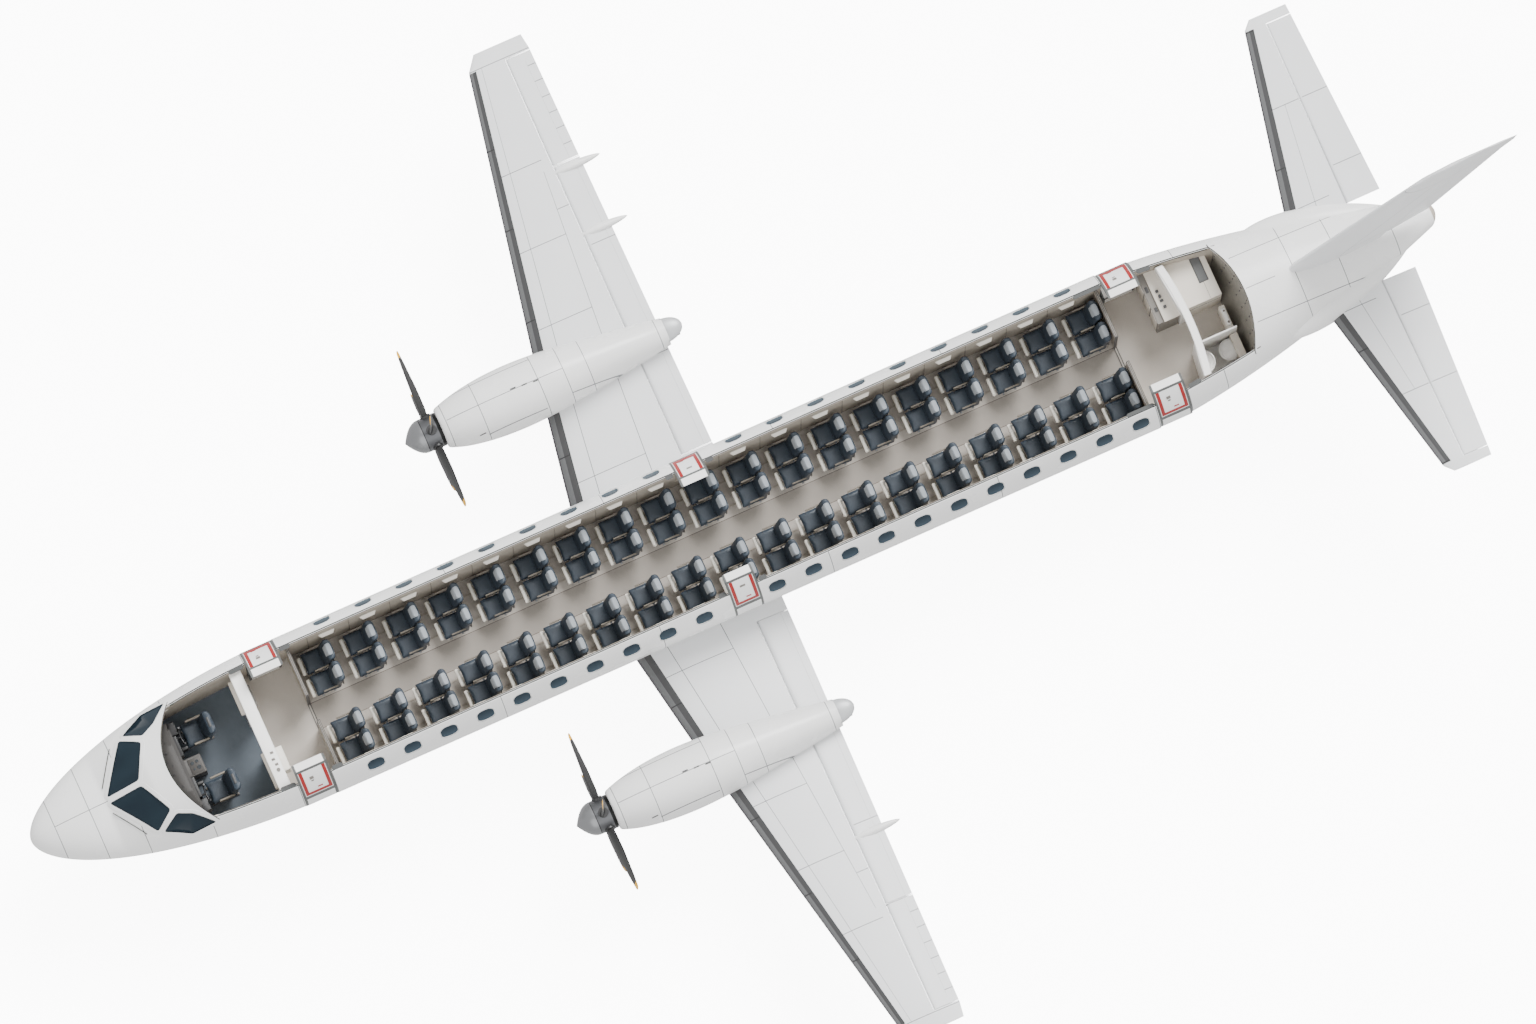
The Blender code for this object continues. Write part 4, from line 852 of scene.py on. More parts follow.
# %% Lower lobe, belly and carpet
def lobe_rings(x):
    """Rings of the lower lobe: the skin below the floor, pressed together where the keel rises."""
    start = math.asin(FLOOR_Z / RADIUS)
    turns = np.linspace(math.pi - start, 2 * math.pi + start, 65)
    share = ((FLOOR_Z - keel(x)) / (FLOOR_Z + RADIUS))[:, None]
    y = half_width(x)[:, None] * np.cos(turns)
    z = FLOOR_Z + (RADIUS * np.sin(turns) - FLOOR_Z) * share + AXIS_Z
    return xyz(x[:, None], y, z)


lobe_x = np.linspace(FRONT_DOOR_X + HALF_DOORWAY - WALL_LEAN, REAR_DOOR_X - HALF_DOORWAY + WALL_LEAN, 67)
piece("lower_lobe", ring_solid(lobe_rings(lobe_x)), white_enamel, replaces=["cabin_lower"])

share = np.linspace(0, 1, 49)[:, None]
turns = np.radians(np.linspace(-135, -45, 41))[None, :]
bulge = 0.02 + 0.26 * np.sin(np.pi * share)
belly = xyz(4.6 - 5.9 * share, (RADIUS + bulge) * np.cos(turns),
            (RADIUS + bulge * (0.6 + 0.4 * abs(np.sin(turns)))) * np.sin(turns) + AXIS_Z)
inner = belly[:, ::-1] * [1, 0.9, 1] + [0, 0, 0.06]
piece("belly_shell", ring_solid(np.concatenate([belly, inner], 1)), white_enamel,
      replaces=["belly_fairing"])

AISLE_HALF, CABIN_X, CARPET_RISE = 0.24, (-6.70, 8.62), 0.005


def carpet_loops(tree, shader, place):
    """Loops of yarn: small cells as bumps, drawn 6 mm wide so that they show."""
    loops = add(tree, "ShaderNodeTexVoronoi", {"Vector": place, "Scale": 160.0})
    bumped(tree, shader, loops.outputs[0], 0.3, 0.003)


carpet, tree, shader = material("wool_mix_carpet", "#b6aca0", 0.95, **{"Sheen Weight": 0.3})
axes, place = coordinates(tree)
seat_side, noise = shades(tree, place, 3.0, "#aea79e", "#b8b1a8")
aisle, _ = shades(tree, place, 3.0, "#99928a", "#a29b92")
vestibule, _ = shades(tree, place, 2.0, "#b3aca3", "#bdb6ad")
trim_rows = [around(y, 0.006) for y in (-AISLE_HALF, AISLE_HALF)]
colour = vestibule
carpet_zones = (([(-1.5, 1.5)], seat_side), ([(-AISLE_HALF, AISLE_HALF)], aisle),
                (trim_rows, linear("#6f675f")))
for rows, above in carpet_zones:
    colour = over(tree, rectangles(tree, axes[0], axes[1], [(*CABIN_X, *row) for row in rows]), colour, above)
tree.links.new(colour, shader.inputs["Base Color"])
carpet_loops(tree, shader, place)


def sheet_on_floor(x_from, x_to, name, finish):
    """A thin sheet on the floor whose sides follow the wall's foot."""
    x = np.linspace(x_from, x_to, 60)
    reach = lining_rings(x)[:, 1, 1] - 0.002
    corners = ((reach, -0.002), (reach, CARPET_RISE), (-reach, CARPET_RISE), (-reach, -0.002))
    grid = np.stack([xyz(x, y, FLOOR_Z + AXIS_Z + z) for y, z in corners], 1)
    return piece(name, ring_solid(grid), finish)


sheet_on_floor(9.53, -8.98, "cabin_carpet", carpet)
slate = {"scale": 1.2, "code_a": "#545c64", "code_b": "#626a72", "roughness": 0.95, "Sheen Weight": 0.2}
cockpit_carpet, tree, shader, place, _ = mottled("slate_cockpit_carpet", **slate)
carpet_loops(tree, shader, place)
sheet_on_floor(12.0, 9.70, "cockpit_carpet", cockpit_carpet)

# %% [markdown]
# ## Tail section
# Behind the rear doors the fuselage tapers and rises to a small round end, which is made by shrinking the
# last rings on a quarter circle. It is cut open like the nose, up to the pressure bulkhead.

# %% Tail shell
TAIL_ROUND = 0.16
tail_x = np.concatenate([np.linspace(REAR_DOOR_X - HALF_DOORWAY, TAIL_TIP + TAIL_ROUND, 76),
                         TAIL_TIP + TAIL_ROUND * (1 - np.sin(np.linspace(0.15, 1.45, 9)))])
tail_rings = rings(tail_x)
shrink = np.sqrt(1 - ((TAIL_TIP + TAIL_ROUND - tail_x) / TAIL_ROUND).clip(0, 1) ** 2)
middle = tail_rings.mean(1, keepdims=True)
tail_rings[:, :, 1:] = (middle + (tail_rings - middle) * shrink[:, None, None])[:, :, 1:]
tail_edge_x = np.linspace(-7.2, -8.9, 24)
cuts = [ring_solid(lining_rings(np.linspace(-7.2, -11.6, 45))), roof_cutter(REAR_ARC, -7.2),
        *groove_cutters(tail_edge_x, 1), *groove_cutters(tail_edge_x, -1)]
tail = piece("tail_shell", ring_solid(tail_rings), LAYER_FINISHES,
             replaces=["tail_section"], cuts=cuts)
sort_faces(tail, wall_layers)

# %% [markdown]
# ## Wings and tail planes
# A wing is one section carried along its span: the half thickness of the section is a root and a polynomial
# of the share of the chord, t(c) = 5 t (0.2969 sqrt(c) - 0.126 c - 0.3516 c^2 + 0.2843 c^3 - 0.1015 c^4).
# Leading edge, trailing edge and thickness run straight between a few stations. The flat map holds the
# share of the chord and the span in metres, so that seams can follow both.

# %% Lifting surfaces
WING_DIHEDRAL, WING_HINGE_X = math.radians(5.5), 0.95
FLAP_SPANS, AILERON_SPANS, SLOT_END, CONTROL_GAP = (0.42, 5.90), (5.93, 7.95), 0.008, 0.006
STAB_DIHEDRAL, STAB_HINGE_X = math.radians(6), -11.31
RUDDER_ROOT, RUDDER_TIP, FIN_ROOT_Z = (-11.60, 1.16), (-12.97, 5.10), 1.30
# (span, leading edge x, trailing edge x, thickness as a share of the chord)
WING_TABLE = np.array([(-0.55, 3.24, 0.34, 0.150), (2.47, 2.72, 0.39, 0.145), (8.00, 1.62, 0.48, 0.125),
                       (8.26, 1.42, 0.52, 0.080)])
STAB_TABLE = np.array([(-0.50, -10.05, -11.99, 0.11), (3.65, -10.92, -11.77, 0.10),
                       (3.80, -11.06, -11.76, 0.05)])
FIN_TABLE = np.array([(-0.45, -9.62, -12.35, 0.11), (3.45, -12.10, -13.75, 0.10),
                      (3.85, -12.55, -13.95, 0.08), (4.15, -13.45, 0.001 - NOSE_X, 0.05)])


def half_thickness(c, thick):
    return 5 * thick * (0.2969 * np.sqrt(c) - 0.126 * c - 0.3516 * c ** 2 + 0.2843 * c ** 3 - 0.1015 * c ** 4)


def plane(table, root_y, root_z, tilt, sign=1, upright=False):
    """The frame of a wing or tail plane, as the values that the functions below share."""
    return {"table": table, "root": (root_y, root_z), "tilt": tilt, "sign": sign, "upright": upright}


def stations(surface, span):
    """Leading edge, trailing edge and thickness share at each span, interpolated from the table's rows."""
    table = surface["table"]
    return [np.interp(span, table[:, 0], table[:, i]) for i in (1, 2, 3)]


def placed(surface, x, span, height):
    """World points from x, the span along the tilted line and the height square to it."""
    (root_y, root_z), tilt, sign = surface["root"], surface["tilt"], surface["sign"]
    if surface["upright"]:
        return xyz(x, -height, root_z + span + AXIS_Z)
    y = root_y + span * np.cos(tilt) - height * np.sin(tilt)
    return xyz(x, sign * y, root_z + span * np.sin(tilt) + height * np.cos(tilt) + AXIS_Z)


def aerofoil_rings(surface, span, count=40):
    """Rings of the section at each span, upper side first, and their (share of chord, span) map."""
    lead, trail, thick = (row[:, None] for row in stations(surface, span))
    c = (1 - np.cos(np.pi * np.arange(count + 1) / count)) / 2
    c = np.concatenate([c, c[:0:-1]])[None, :]
    side = np.concatenate([np.ones(count + 1), -np.ones(count)])[None, :]
    height = half_thickness(c, thick) * (lead - trail)
    height = np.where(c > 0.999, 0.004, height) * side
    return placed(surface, lead - c * (lead - trail), span[:, None], height), flat_map(c, span[:, None])


def slot_cutter(surface, spans, hinge_of):
    span = np.array(spans, float)
    corners = ((hinge_of(span), -0.6), (hinge_of(span), 0.6), (-20.0, 0.6), (-20.0, -0.6))
    return ring_solid(np.stack([placed(surface, x, span, height) for x, height in corners], 1))


def control_rings(surface, span, hinge_of):
    """Rings of a control surface: a round nose on its hinge axis, then straight to the trailing edge."""
    lead, trail, thick = stations(surface, span)
    radius = np.zeros(len(span))
    for _ in range(6):
        axis_x = hinge_of(span) - CONTROL_GAP - radius
        radius = 0.94 * half_thickness((lead - axis_x) / (lead - trail), thick) * (lead - trail)
    turn = np.radians(np.linspace(90, -90, 25))
    x = axis_x[:, None] + radius[:, None] * np.cos(turn)
    height = radius[:, None] * np.sin(turn)
    back = np.linspace(0, 1, 9)[1:]
    low_x = axis_x[:, None] + (trail - axis_x)[:, None] * back
    low_h = -radius[:, None] + (radius - 0.004)[:, None] * back
    x = np.concatenate([x, low_x, low_x[:, ::-1]], 1)
    height = np.concatenate([height, low_h, -low_h[:, ::-1]], 1)
    share = (axis_x[:, None] - x) / (axis_x - trail)[:, None]
    return placed(surface, x, span[:, None], height), flat_map(share, span[:, None])


def boot_rings(surface, span, widths):
    """A rubber boot round the leading edge: its section's outside stands 4 mm proud of the skin."""
    lead, trail, thick = (row[:, None] for row in stations(surface, span))
    share = np.interp(span, [span[0], span[-1]], widths)[:, None] / (lead - trail)
    t = np.linspace(-1, 1, 33)[None, :]
    c = share * t ** 2
    layers = []
    for proud in (0.004, -0.006):
        side = np.where(abs(t) < 0.02, 0.0, np.sign(-t))
        height = (half_thickness(c, thick) * (lead - trail) + proud) * side
        layers.append(placed(surface, lead + proud - c * (lead - trail), span[:, None], height))
    grid = np.concatenate([layers[0], layers[1][:, ::-1]], 1)
    return grid, flat_map(np.concatenate([t, t[:, ::-1]], 1), span[:, None])


# %% [markdown]
# ## Finishes of the wings
# The wings and tail planes have a cooler, slightly darker enamel than the fuselage. The fin is a step
# darker and the rudder darker still: that extra darkness is painted shade. Their seams are drawn on the
# flat map: along the span at a share of the chord, and across it at a span in metres. The boots are black
# neoprene that inflates to break ice: a dark satin rubber with fine lengthwise tubes, and a paler band along
# the upper side that is a painted highlight.

# %% Wing enamel and neoprene
U_SEAM, V_SEAM = 0.0045, 0.012


def along(share, low, high):
    return (share - U_SEAM / 2, share + U_SEAM / 2, low, high)


def across(span, low, high):
    return (low, high, span - V_SEAM / 2, span + V_SEAM / 2)


WING_SHADES = ("#d6d7d8", "#dddedf", 0.32)
# the fin and the rudder are a step darker than the wings: painted shade
FIN_PAINTED_SHADE_WHITE, RUDDER_PAINTED_SHADE_WHITE = ("#d4d5d6", "#dbdcdd", 0.3), ("#d0d1d2", "#d7d8d9", 0.3)
wing_seams = [along(0.205, -0.5, 8.0), along(0.57, -0.5, 5.9), across(0.69, 0.0, 0.57),
              *[across(span, 0.0, 0.57) for span in (3.4, 4.75)], across(6.1, 0.0, 0.59),
              across(5.2, 0.57, 0.8), across(7.99, 0.0, 1.0)]
flap_seams = [along(0.72, 0.4, 5.9), across(2.2, 0.0, 1.0), across(4.4, 0.0, 1.0)]
# name: (two shades and the roughness, seams)
SURFACES = {
    "wing": (WING_SHADES, wing_seams),
    "flap": (WING_SHADES, flap_seams),
    "aileron": (WING_SHADES, [along(0.62, 5.9, 7.8), *[across(6.2 + 0.3 * i, 0.62, 1.0) for i in range(6)]]),
    "stabiliser": (WING_SHADES, [along(0.34, 0.2, 2.2), across(2.2, 0.0, 0.72), across(0.45, 0.0, 0.5)]),
    "elevator": (WING_SHADES, [across(2.2, 0.0, 1.0), across(0.9, 0.0, 1.0)]),
    "fin": (FIN_PAINTED_SHADE_WHITE, [along(0.33, 0.0, 3.45), across(3.2, 0.0, 0.9), across(0.35, 0.33, 0.75)]),
    "rudder": (RUDDER_PAINTED_SHADE_WHITE, [across(0.5, 0.0, 1.0), across(3.2, 0.0, 1.0)])}
finishes = {name: enamel(f"{name}_enamel", *shade, rows, flat=True)
            for name, (shade, rows) in SURFACES.items()}

neoprene, tree, shader = material("black_neoprene_boot", "#2a2a2b", 0.42, IOR=1.52, **{"Coat Weight": 0.3})
axes, place = coordinates(tree, flat=True)
tubes = add(tree, "ShaderNodeTexWave", {"Vector": add(tree, "ShaderNodeUVMap", uv_map="flat").outputs[0],
                                        "Scale": 1.4, "Distortion": 0.0}, bands_direction="X")
# a paler band along the boot's upper side: a painted highlight
painted_highlight_band = span_mask(tree, axes[0], -0.72, -0.35)
joint = rectangles(tree, axes[0], axes[1], [(-1.0, 1.0, *around(v, 0.01)) for v in (1.2, 3.6, 5.2, 6.6)])
colour = over(tree, painted_highlight_band, linear("#2c2c2d"), linear("#525354"))
tree.links.new(over(tree, joint, colour, linear("#111112")), shader.inputs["Base Color"])
bumped(tree, shader, tubes.outputs[0], 0.1, 0.004)

# %% [markdown]
# ## Wings
# Each wing is lofted from its root inside the fuselage to the tip and loses the slots of the flap and the
# aileron. The last stations close the tip in a smooth curve.

# %% Wings, flaps and ailerons
def straight(x):
    """A hinge line square to the fuselage, as a function of the span."""
    return lambda span: np.full(np.shape(span), x)


wing_hinge, stab_hinge = straight(WING_HINGE_X), straight(STAB_HINGE_X)
for side, sign in SIDES:
    wing = plane(WING_TABLE, 1.2, -0.86, WING_DIHEDRAL, sign)
    span = np.concatenate([np.linspace(-0.3, 8.0, 40), 8.0 + 0.26 * np.linspace(0, 1, 8)[1:]])
    grid, flat = aerofoil_rings(wing, span)
    slots = [slot_cutter(wing, (near - SLOT_END, far + SLOT_END), wing_hinge)
             for near, far in (FLAP_SPANS, AILERON_SPANS)]
    piece(f"wing_skin_{side}", ring_solid(grid), finishes["wing"], replaces=[f"wing_{side}"],
          cuts=slots, uv=flat)
    for name, body, spans in (("flap", "airframe", FLAP_SPANS),
                              ("aileron", f"aileron_{side}", AILERON_SPANS)):
        grid, flat = control_rings(wing, np.linspace(*spans, 25), wing_hinge)
        piece(f"{name}_skin_{side}", ring_solid(grid), finishes[name], body,
              [f"{name}_{side}"], uv=flat)
    grid, flat = boot_rings(wing, np.linspace(0.12, 7.97, 60), (0.25, 0.13))
    piece(f"wing_boot_{side}", ring_solid(grid), neoprene, uv=flat)

# %% [markdown]
# ## Tail planes and fin
# The stabilisers carry boots as the wings do. The fin has none: its leading edge is bare and bright. Where
# the stabiliser leaves the tail, a long teardrop fairing covers the joint.

# %% Stabilisers, elevators, fin and rudder
def rudder_hinge(span):
    share = (FIN_ROOT_Z + np.asarray(span) - RUDDER_ROOT[1]) / (RUDDER_TIP[1] - RUDDER_ROOT[1])
    return RUDDER_ROOT[0] + share * (RUDDER_TIP[0] - RUDDER_ROOT[0])


for side, sign in SIDES:
    stab = plane(STAB_TABLE, 0.55, 0.52, STAB_DIHEDRAL, sign)
    span = np.concatenate([np.linspace(-0.45, 3.65, 25), np.linspace(3.65, 3.8, 6)[1:]])
    grid, flat = aerofoil_rings(stab, span, 30)
    piece(f"stabiliser_skin_{side}", ring_solid(grid), finishes["stabiliser"],
          replaces=[f"stabiliser_{side}"], cuts=[slot_cutter(stab, (-1.0, 3.62), stab_hinge)], uv=flat)
    grid, flat = control_rings(stab, np.linspace(0.20, 3.61, 20), stab_hinge)
    piece(f"elevator_skin_{side}", ring_solid(grid), finishes["elevator"], f"elevator_{side}",
          [f"elevator_{side}"], uv=flat)
    grid, flat = boot_rings(stab, np.linspace(0.35, 3.62, 30), (0.22, 0.16))
    piece(f"stabiliser_boot_{side}", ring_solid(grid), neoprene, uv=flat)
    t = np.linspace(0.02, 0.98, 40)
    x = -9.3 - 2.75 * t
    swell = np.sin(np.pi * t ** 0.8) ** 0.7
    turn = np.linspace(0, 2 * np.pi, 40, endpoint=False)
    y = sign * (skin_y(x, 0.52)[:, None] * 0.86 + 0.30 * swell[:, None] * np.cos(turn))
    z = 0.50 + 0.05 * t[:, None] + 0.30 * swell[:, None] * np.sin(turn) + AXIS_Z
    piece(f"stabiliser_fairing_{side}", ring_solid(xyz(x[:, None], y, z)), plain_white)

fin = plane(FIN_TABLE, 0.0, FIN_ROOT_Z, 0.0, upright=True)
span = np.concatenate([np.linspace(-0.4, 3.45, 25), np.linspace(3.45, 4.15, 12)[1:]])
grid, flat = aerofoil_rings(fin, span)
piece("fin_skin", ring_solid(grid), finishes["fin"], replaces=["fin"],
      cuts=[slot_cutter(fin, (-0.90, 3.82), rudder_hinge)], uv=flat)
grid, flat = control_rings(fin, np.linspace(-0.04, 3.81, 22), rudder_hinge)
piece("rudder_skin", ring_solid(grid), finishes["rudder"], "rudder", ["rudder"], uv=flat)

# %% [markdown]
# ## Flap track fairings
# The flap rails run in slim pods that reach past the trailing edge. A pod is a body of revolution squeezed
# flat: its radius is the square root of a parabola, sharper at the rear end.

# %% Flap track pods
POD_LENGTH, POD_HALF_WIDTH, POD_HALF_HEIGHT = 0.92, 0.085, 0.115
# the picture shows two pods on the starboard wing and one on the port wing
POD_SPANS = {"right": (4.62, 5.80), "left": (4.62,)}
t = np.linspace(0.003, 0.997, 40)[:, None]
fat = (4 * t * (1 - t)) ** 0.6 * (1 - 0.25 * t)
turn = np.linspace(0, 2 * np.pi, 28, endpoint=False)
for side, sign in SIDES:
    wing = plane(WING_TABLE, 1.2, -0.86, WING_DIHEDRAL, sign)
    pods = [ring_solid(placed(wing, 1.02 - POD_LENGTH * t, span + POD_HALF_WIDTH * fat * np.cos(turn),
                              -0.01 * t + POD_HALF_HEIGHT * fat * np.sin(turn))) for span in POD_SPANS[side]]
    piece(f"flap_pods_{side}", merged(pods), plain_white)

# %% [markdown]
# ## Nacelles
# Each engine sits in a long nacelle that grows out of the wing. Its section is an ellipse, and its half
# width, top and bottom run through a few stations on a smooth curve: a cubic between each two stations,
# with the slope at a station taken from its neighbours. The chin under the spinner holds the air intake.

# %% Nacelles
NACELLE_Y, HUB_X, THRUST_Z, EXHAUST_Z = 3.66, 4.77, -0.18, -0.42
# (x, half width, top z, bottom z)
NACELLE_TABLE = np.array([(0.33, 0.25, -0.12, -0.74), (0.70, 0.31, 0.02, -0.88), (1.20, 0.38, 0.16, -1.00),
                          (1.90, 0.47, 0.30, -1.02), (2.60, 0.55, 0.40, -1.00), (3.30, 0.575, 0.42, -0.97),
                          (3.90, 0.53, 0.38, -0.92), (4.35, 0.44, 0.29, -0.80), (4.60, 0.36, 0.20, -0.62)])


def smooth(x, table):
    """Cubic curves through the rows of a table: h00 a + h10 k a' + h01 b + h11 k b' between rows a and b."""
    at, values = table[:, 0], table[:, 1:]
    slope = np.gradient(values, at, axis=0)
    i = np.clip(np.searchsorted(at, x, side="right") - 1, 0, len(at) - 2)
    k = (at[i + 1] - at[i])[:, None]
    t = ((x - at[i]) / k[:, 0])[:, None]
    h00, h10 = 2 * t ** 3 - 3 * t ** 2 + 1, t ** 3 - 2 * t ** 2 + t
    h01, h11 = -2 * t ** 3 + 3 * t ** 2, t ** 3 - t ** 2
    return h00 * values[i] + h10 * k * slope[i] + h01 * values[i + 1] + h11 * k * slope[i + 1]


def nacelle_grid(sign, x, grow=0.0, sides=96):
    half, top, bottom = smooth(x, NACELLE_TABLE).T
    turn = 2 * np.pi * (np.arange(sides) + 0.5) / sides
    y = sign * NACELLE_Y + (half + grow)[:, None] * np.cos(turn)
    z = ((top + bottom) / 2)[:, None] + ((top - bottom) / 2 + grow)[:, None] * np.sin(turn) + AXIS_Z
    return xyz(x[:, None], y, z)


def nacelle_depth(sign, points):
    """(y / half width)^2 + (z / half height)^2 from the section's centre: 1 on the skin, less inside."""
    half, top, bottom = smooth(points[:, 0], NACELLE_TABLE).T
    y, z = points[:, 1] - sign * NACELLE_Y, points[:, 2] - AXIS_Z - (top + bottom) / 2
    return (y / half) ** 2 + (z / ((top - bottom) / 2)) ** 2


def on_nacelle(sign, x, off, lift):
    """Points on the top of a nacelle at a distance off its middle, lifted a little along z."""
    half, top, bottom = smooth(np.atleast_1d(x), NACELLE_TABLE).T
    rise = (top - bottom) / 2 * np.sqrt(np.clip(1 - (off / half) ** 2, 0, 1))
    z = (top + bottom) / 2 + rise + AXIS_Z + lift
    return xyz(x, sign * NACELLE_Y + off, z)


# (rear end, front end, distance off the middle) of the lengthwise seams, and vents as (x, half sizes, off)
LONG_SEAMS = ((2.26, 4.47, -0.03), (2.77, 3.88, 0.47), (0.47, 2.26, 0.40), (2.73, 4.4, -0.44))
VENTS = ((3.20, 0.055, 0.012, -0.05), (2.99, 0.055, 0.012, -0.03), (2.78, 0.055, 0.012, -0.01),
         (3.98, 0.060, 0.008, 0.43))
for side, sign in SIDES:
    middle = sign * NACELLE_Y
    rows = [(x, x + SEAM, None, None) for x in (4.48, 3.86, 2.73, 2.26, 1.84, 0.47)]
    rows += [(near, far, *around(middle + off, SEAM / 2)) for near, far, off in LONG_SEAMS]
    finish = enamel(f"nacelle_enamel_{side}", "#dfdfde", "#e5e5e4", 0.26, rows)
    x = np.concatenate([np.linspace(0.33, 4.55, 80), [4.575, 4.59, 4.598]])
    grid = nacelle_grid(sign, x)
    lip = np.array([0.985, 0.96, 0.93])[:, None, None]
    centre = grid[-3:].mean(1, keepdims=True)
    grid[-3:, :, 1:] = (centre + (grid[-3:] - centre) * lip)[:, :, 1:]
    turn = np.radians(np.linspace(-148, -32, 25))
    ring = [np.stack([middle + r * np.cos(t), THRUST_Z + AXIS_Z + r * np.sin(t)], -1)
            for r, t in ((0.335, turn), (0.395, turn[::-1]))]
    cuts = [plate(np.concatenate(ring), 4.2, 4.7, "x"),
            turned([(4.52, 0.10), (4.7, 0.10)], (0, middle, THRUST_Z + AXIS_Z)),
            turned([(0.2, 0.19), (0.8, 0.17)], (0, middle, EXHAUST_Z + AXIS_Z))]
    nacelle = piece(f"nacelle_skin_{side}", ring_solid(grid), [finish, insulation_and_hole_shade],
                    replaces=[f"nacelle_{side}"], cuts=cuts)
    # faces inside the intake, the bore and the exhaust opening take the dark felt: painted shade in the holes
    sort_faces(nacelle, lambda c, n, s=sign: np.where((nacelle_depth(s, c) < 0.88) & (c[:, 0] < 4.58), 1, 0))
    vents = []
    for at, half_long, half_wide, off in VENTS:
        u, v = rounded_outline((-half_long, half_long), (-half_wide, half_wide), half_wide - 0.0001).T
        vents.append(lifted(on_nacelle(sign, at + u, v + off, -0.004), 0.009))
    piece(f"nacelle_vents_{side}", merged(vents), dark_plastic)

# %% [markdown]
# ## Exhausts
# The exhaust pipe ends in a pointed pale grey heat shield that shows behind the nacelle.

# %% Exhaust shields
heat_grey = moulded("heat_shield_enamel", "#a9abad", "#b5b7b8", 0.4, 0.01, 0.05, Metallic=0.2)
scorched, tree, shader, _, noise = mottled("scorched_steel", 9.0, "#4b443e", "#6b625a", 0.45, 0.9)
roughened(tree, shader, noise, 0.35, 0.6)
PIPE = ((0.60, 0.165), (0.11, 0.155), (0.112, 0.145), (0.40, 0.13), (0.55, 0.125))
t = np.linspace(0, 1, 26)[:, None]
turn = np.linspace(0, 2 * np.pi, 40, endpoint=False)
fat = np.sqrt(np.clip(1 - t ** 2.2, 0.0004, 1))
for side, sign in SIDES:
    centre = (0, sign * NACELLE_Y, EXHAUST_Z + AXIS_Z)
    piece(f"exhaust_pipe_{side}", turned(PIPE, centre), scorched,
          replaces=[f"exhaust_{side}"])
    shield = xyz(0.42 - 0.40 * t, centre[1] + 0.225 * fat * np.cos(turn),
                 centre[2] + 0.13 + 0.12 * fat * np.sin(turn) + 0.02 * t)
    piece(f"heat_shield_{side}", ring_solid(shield), heat_grey)

# %% [markdown]
# ## Propellers
# The spinner is spun aluminium, polished, with a darker band at its back where the blades come through. A
# blade is carbon fibre painted matt black, with a yellow tip. Its section turns and thins along the radius,
# so the grid is one section times a chord, a thickness and a pitch that change outwards.

# %% Propellers
BLADES, BLADE_TIP = 5, 1.56
SPINNER_JOINT, SPINNER_NOSE, SPINNER_RADIUS = 4.93, 0.35, 0.302
spun, tree, shader = material("spun_aluminium_spinner", "#5f6061", 0.3, 0.9)
axes, place = coordinates(tree)
rings_map = add(tree, "ShaderNodeMapping", {0: place, 3: (160.0, 1.0, 1.0)})
lathe = add(tree, "ShaderNodeTexNoise", {"Vector": rings_map.outputs[0], "Scale": 1.0, "Detail": 1.0})
bumped(tree, shader, lathe.outputs[0], 0.08, 0.001)
hub_zone = rectangles(tree, axes[0], axes[1], [(4.55, SPINNER_JOINT, None, None)])
rim_rows = ((4.55, 4.66), (SPINNER_JOINT - 0.012, SPINNER_JOINT))
rims = rectangles(tree, axes[0], axes[1], [(*row, None, None) for row in rim_rows])
metal = over(tree, hub_zone, linear("#828385"), linear("#5d5e60"))
tree.links.new(over(tree, rims, metal, linear("#202121")), shader.inputs["Base Color"])

blade_paint, tree, shader = material("matt_black_blade_enamel", "#1a1a1a", 0.5, IOR=1.5)
flat_axes, place = coordinates(tree, flat=True)
tip_band = span_mask(tree, flat_axes[1], 1.44, 1.7)
colour, noise = shades(tree, place, 12.0, "#151515", "#1d1d1e")
tree.links.new(over(tree, tip_band, colour, linear("#e2a800")), shader.inputs["Base Color"])
roughened(tree, shader, noise, 0.42, 0.58)


def blade_grid(turn, centre):
    """A blade: at radius r the section is chord(r) times a lens, turned by pitch(r)."""
    radius = np.concatenate([np.linspace(0.16, 1.5, 34), 1.5 + 0.06 * np.sin(np.linspace(0.2, np.pi / 2, 7))])
    chord = np.interp(radius, [0.16, 0.30, 0.42, 0.85, 1.30, 1.50], [0.12, 0.13, 0.20, 0.265, 0.22, 0.15])
    chord = chord * np.sqrt(np.clip(1 - ((radius - 1.50) / 0.0605).clip(0, 1) ** 2, 0.02, 1))
    thick = np.interp(radius, [0.16, 0.30, 0.42, 0.85, 1.30, BLADE_TIP],
                      [0.11, 0.10, 0.055, 0.035, 0.022, 0.012])
    pitch = np.radians(np.interp(radius, [0.16, 0.42, 0.85, 1.30, BLADE_TIP], [40, 38, 28, 22, 20]))
    a = np.linspace(0, 2 * np.pi, 24, endpoint=False)
    lens_u, lens_v = 0.5 * np.cos(a), 0.42 * np.sin(a) * (1 + 0.25 * np.sin(a))
    u, v = chord[:, None] * lens_u, thick[:, None] * lens_v
    side = u * np.cos(pitch)[:, None] - v * np.sin(pitch)[:, None]
    fore = u * np.sin(pitch)[:, None] + v * np.cos(pitch)[:, None]
    y = centre[1] + radius[:, None] * math.sin(turn) + side * math.cos(turn)
    z = centre[2] + radius[:, None] * math.cos(turn) - side * math.sin(turn)
    return xyz(centre[0] + fore, y, z), flat_map(lens_u, radius[:, None])


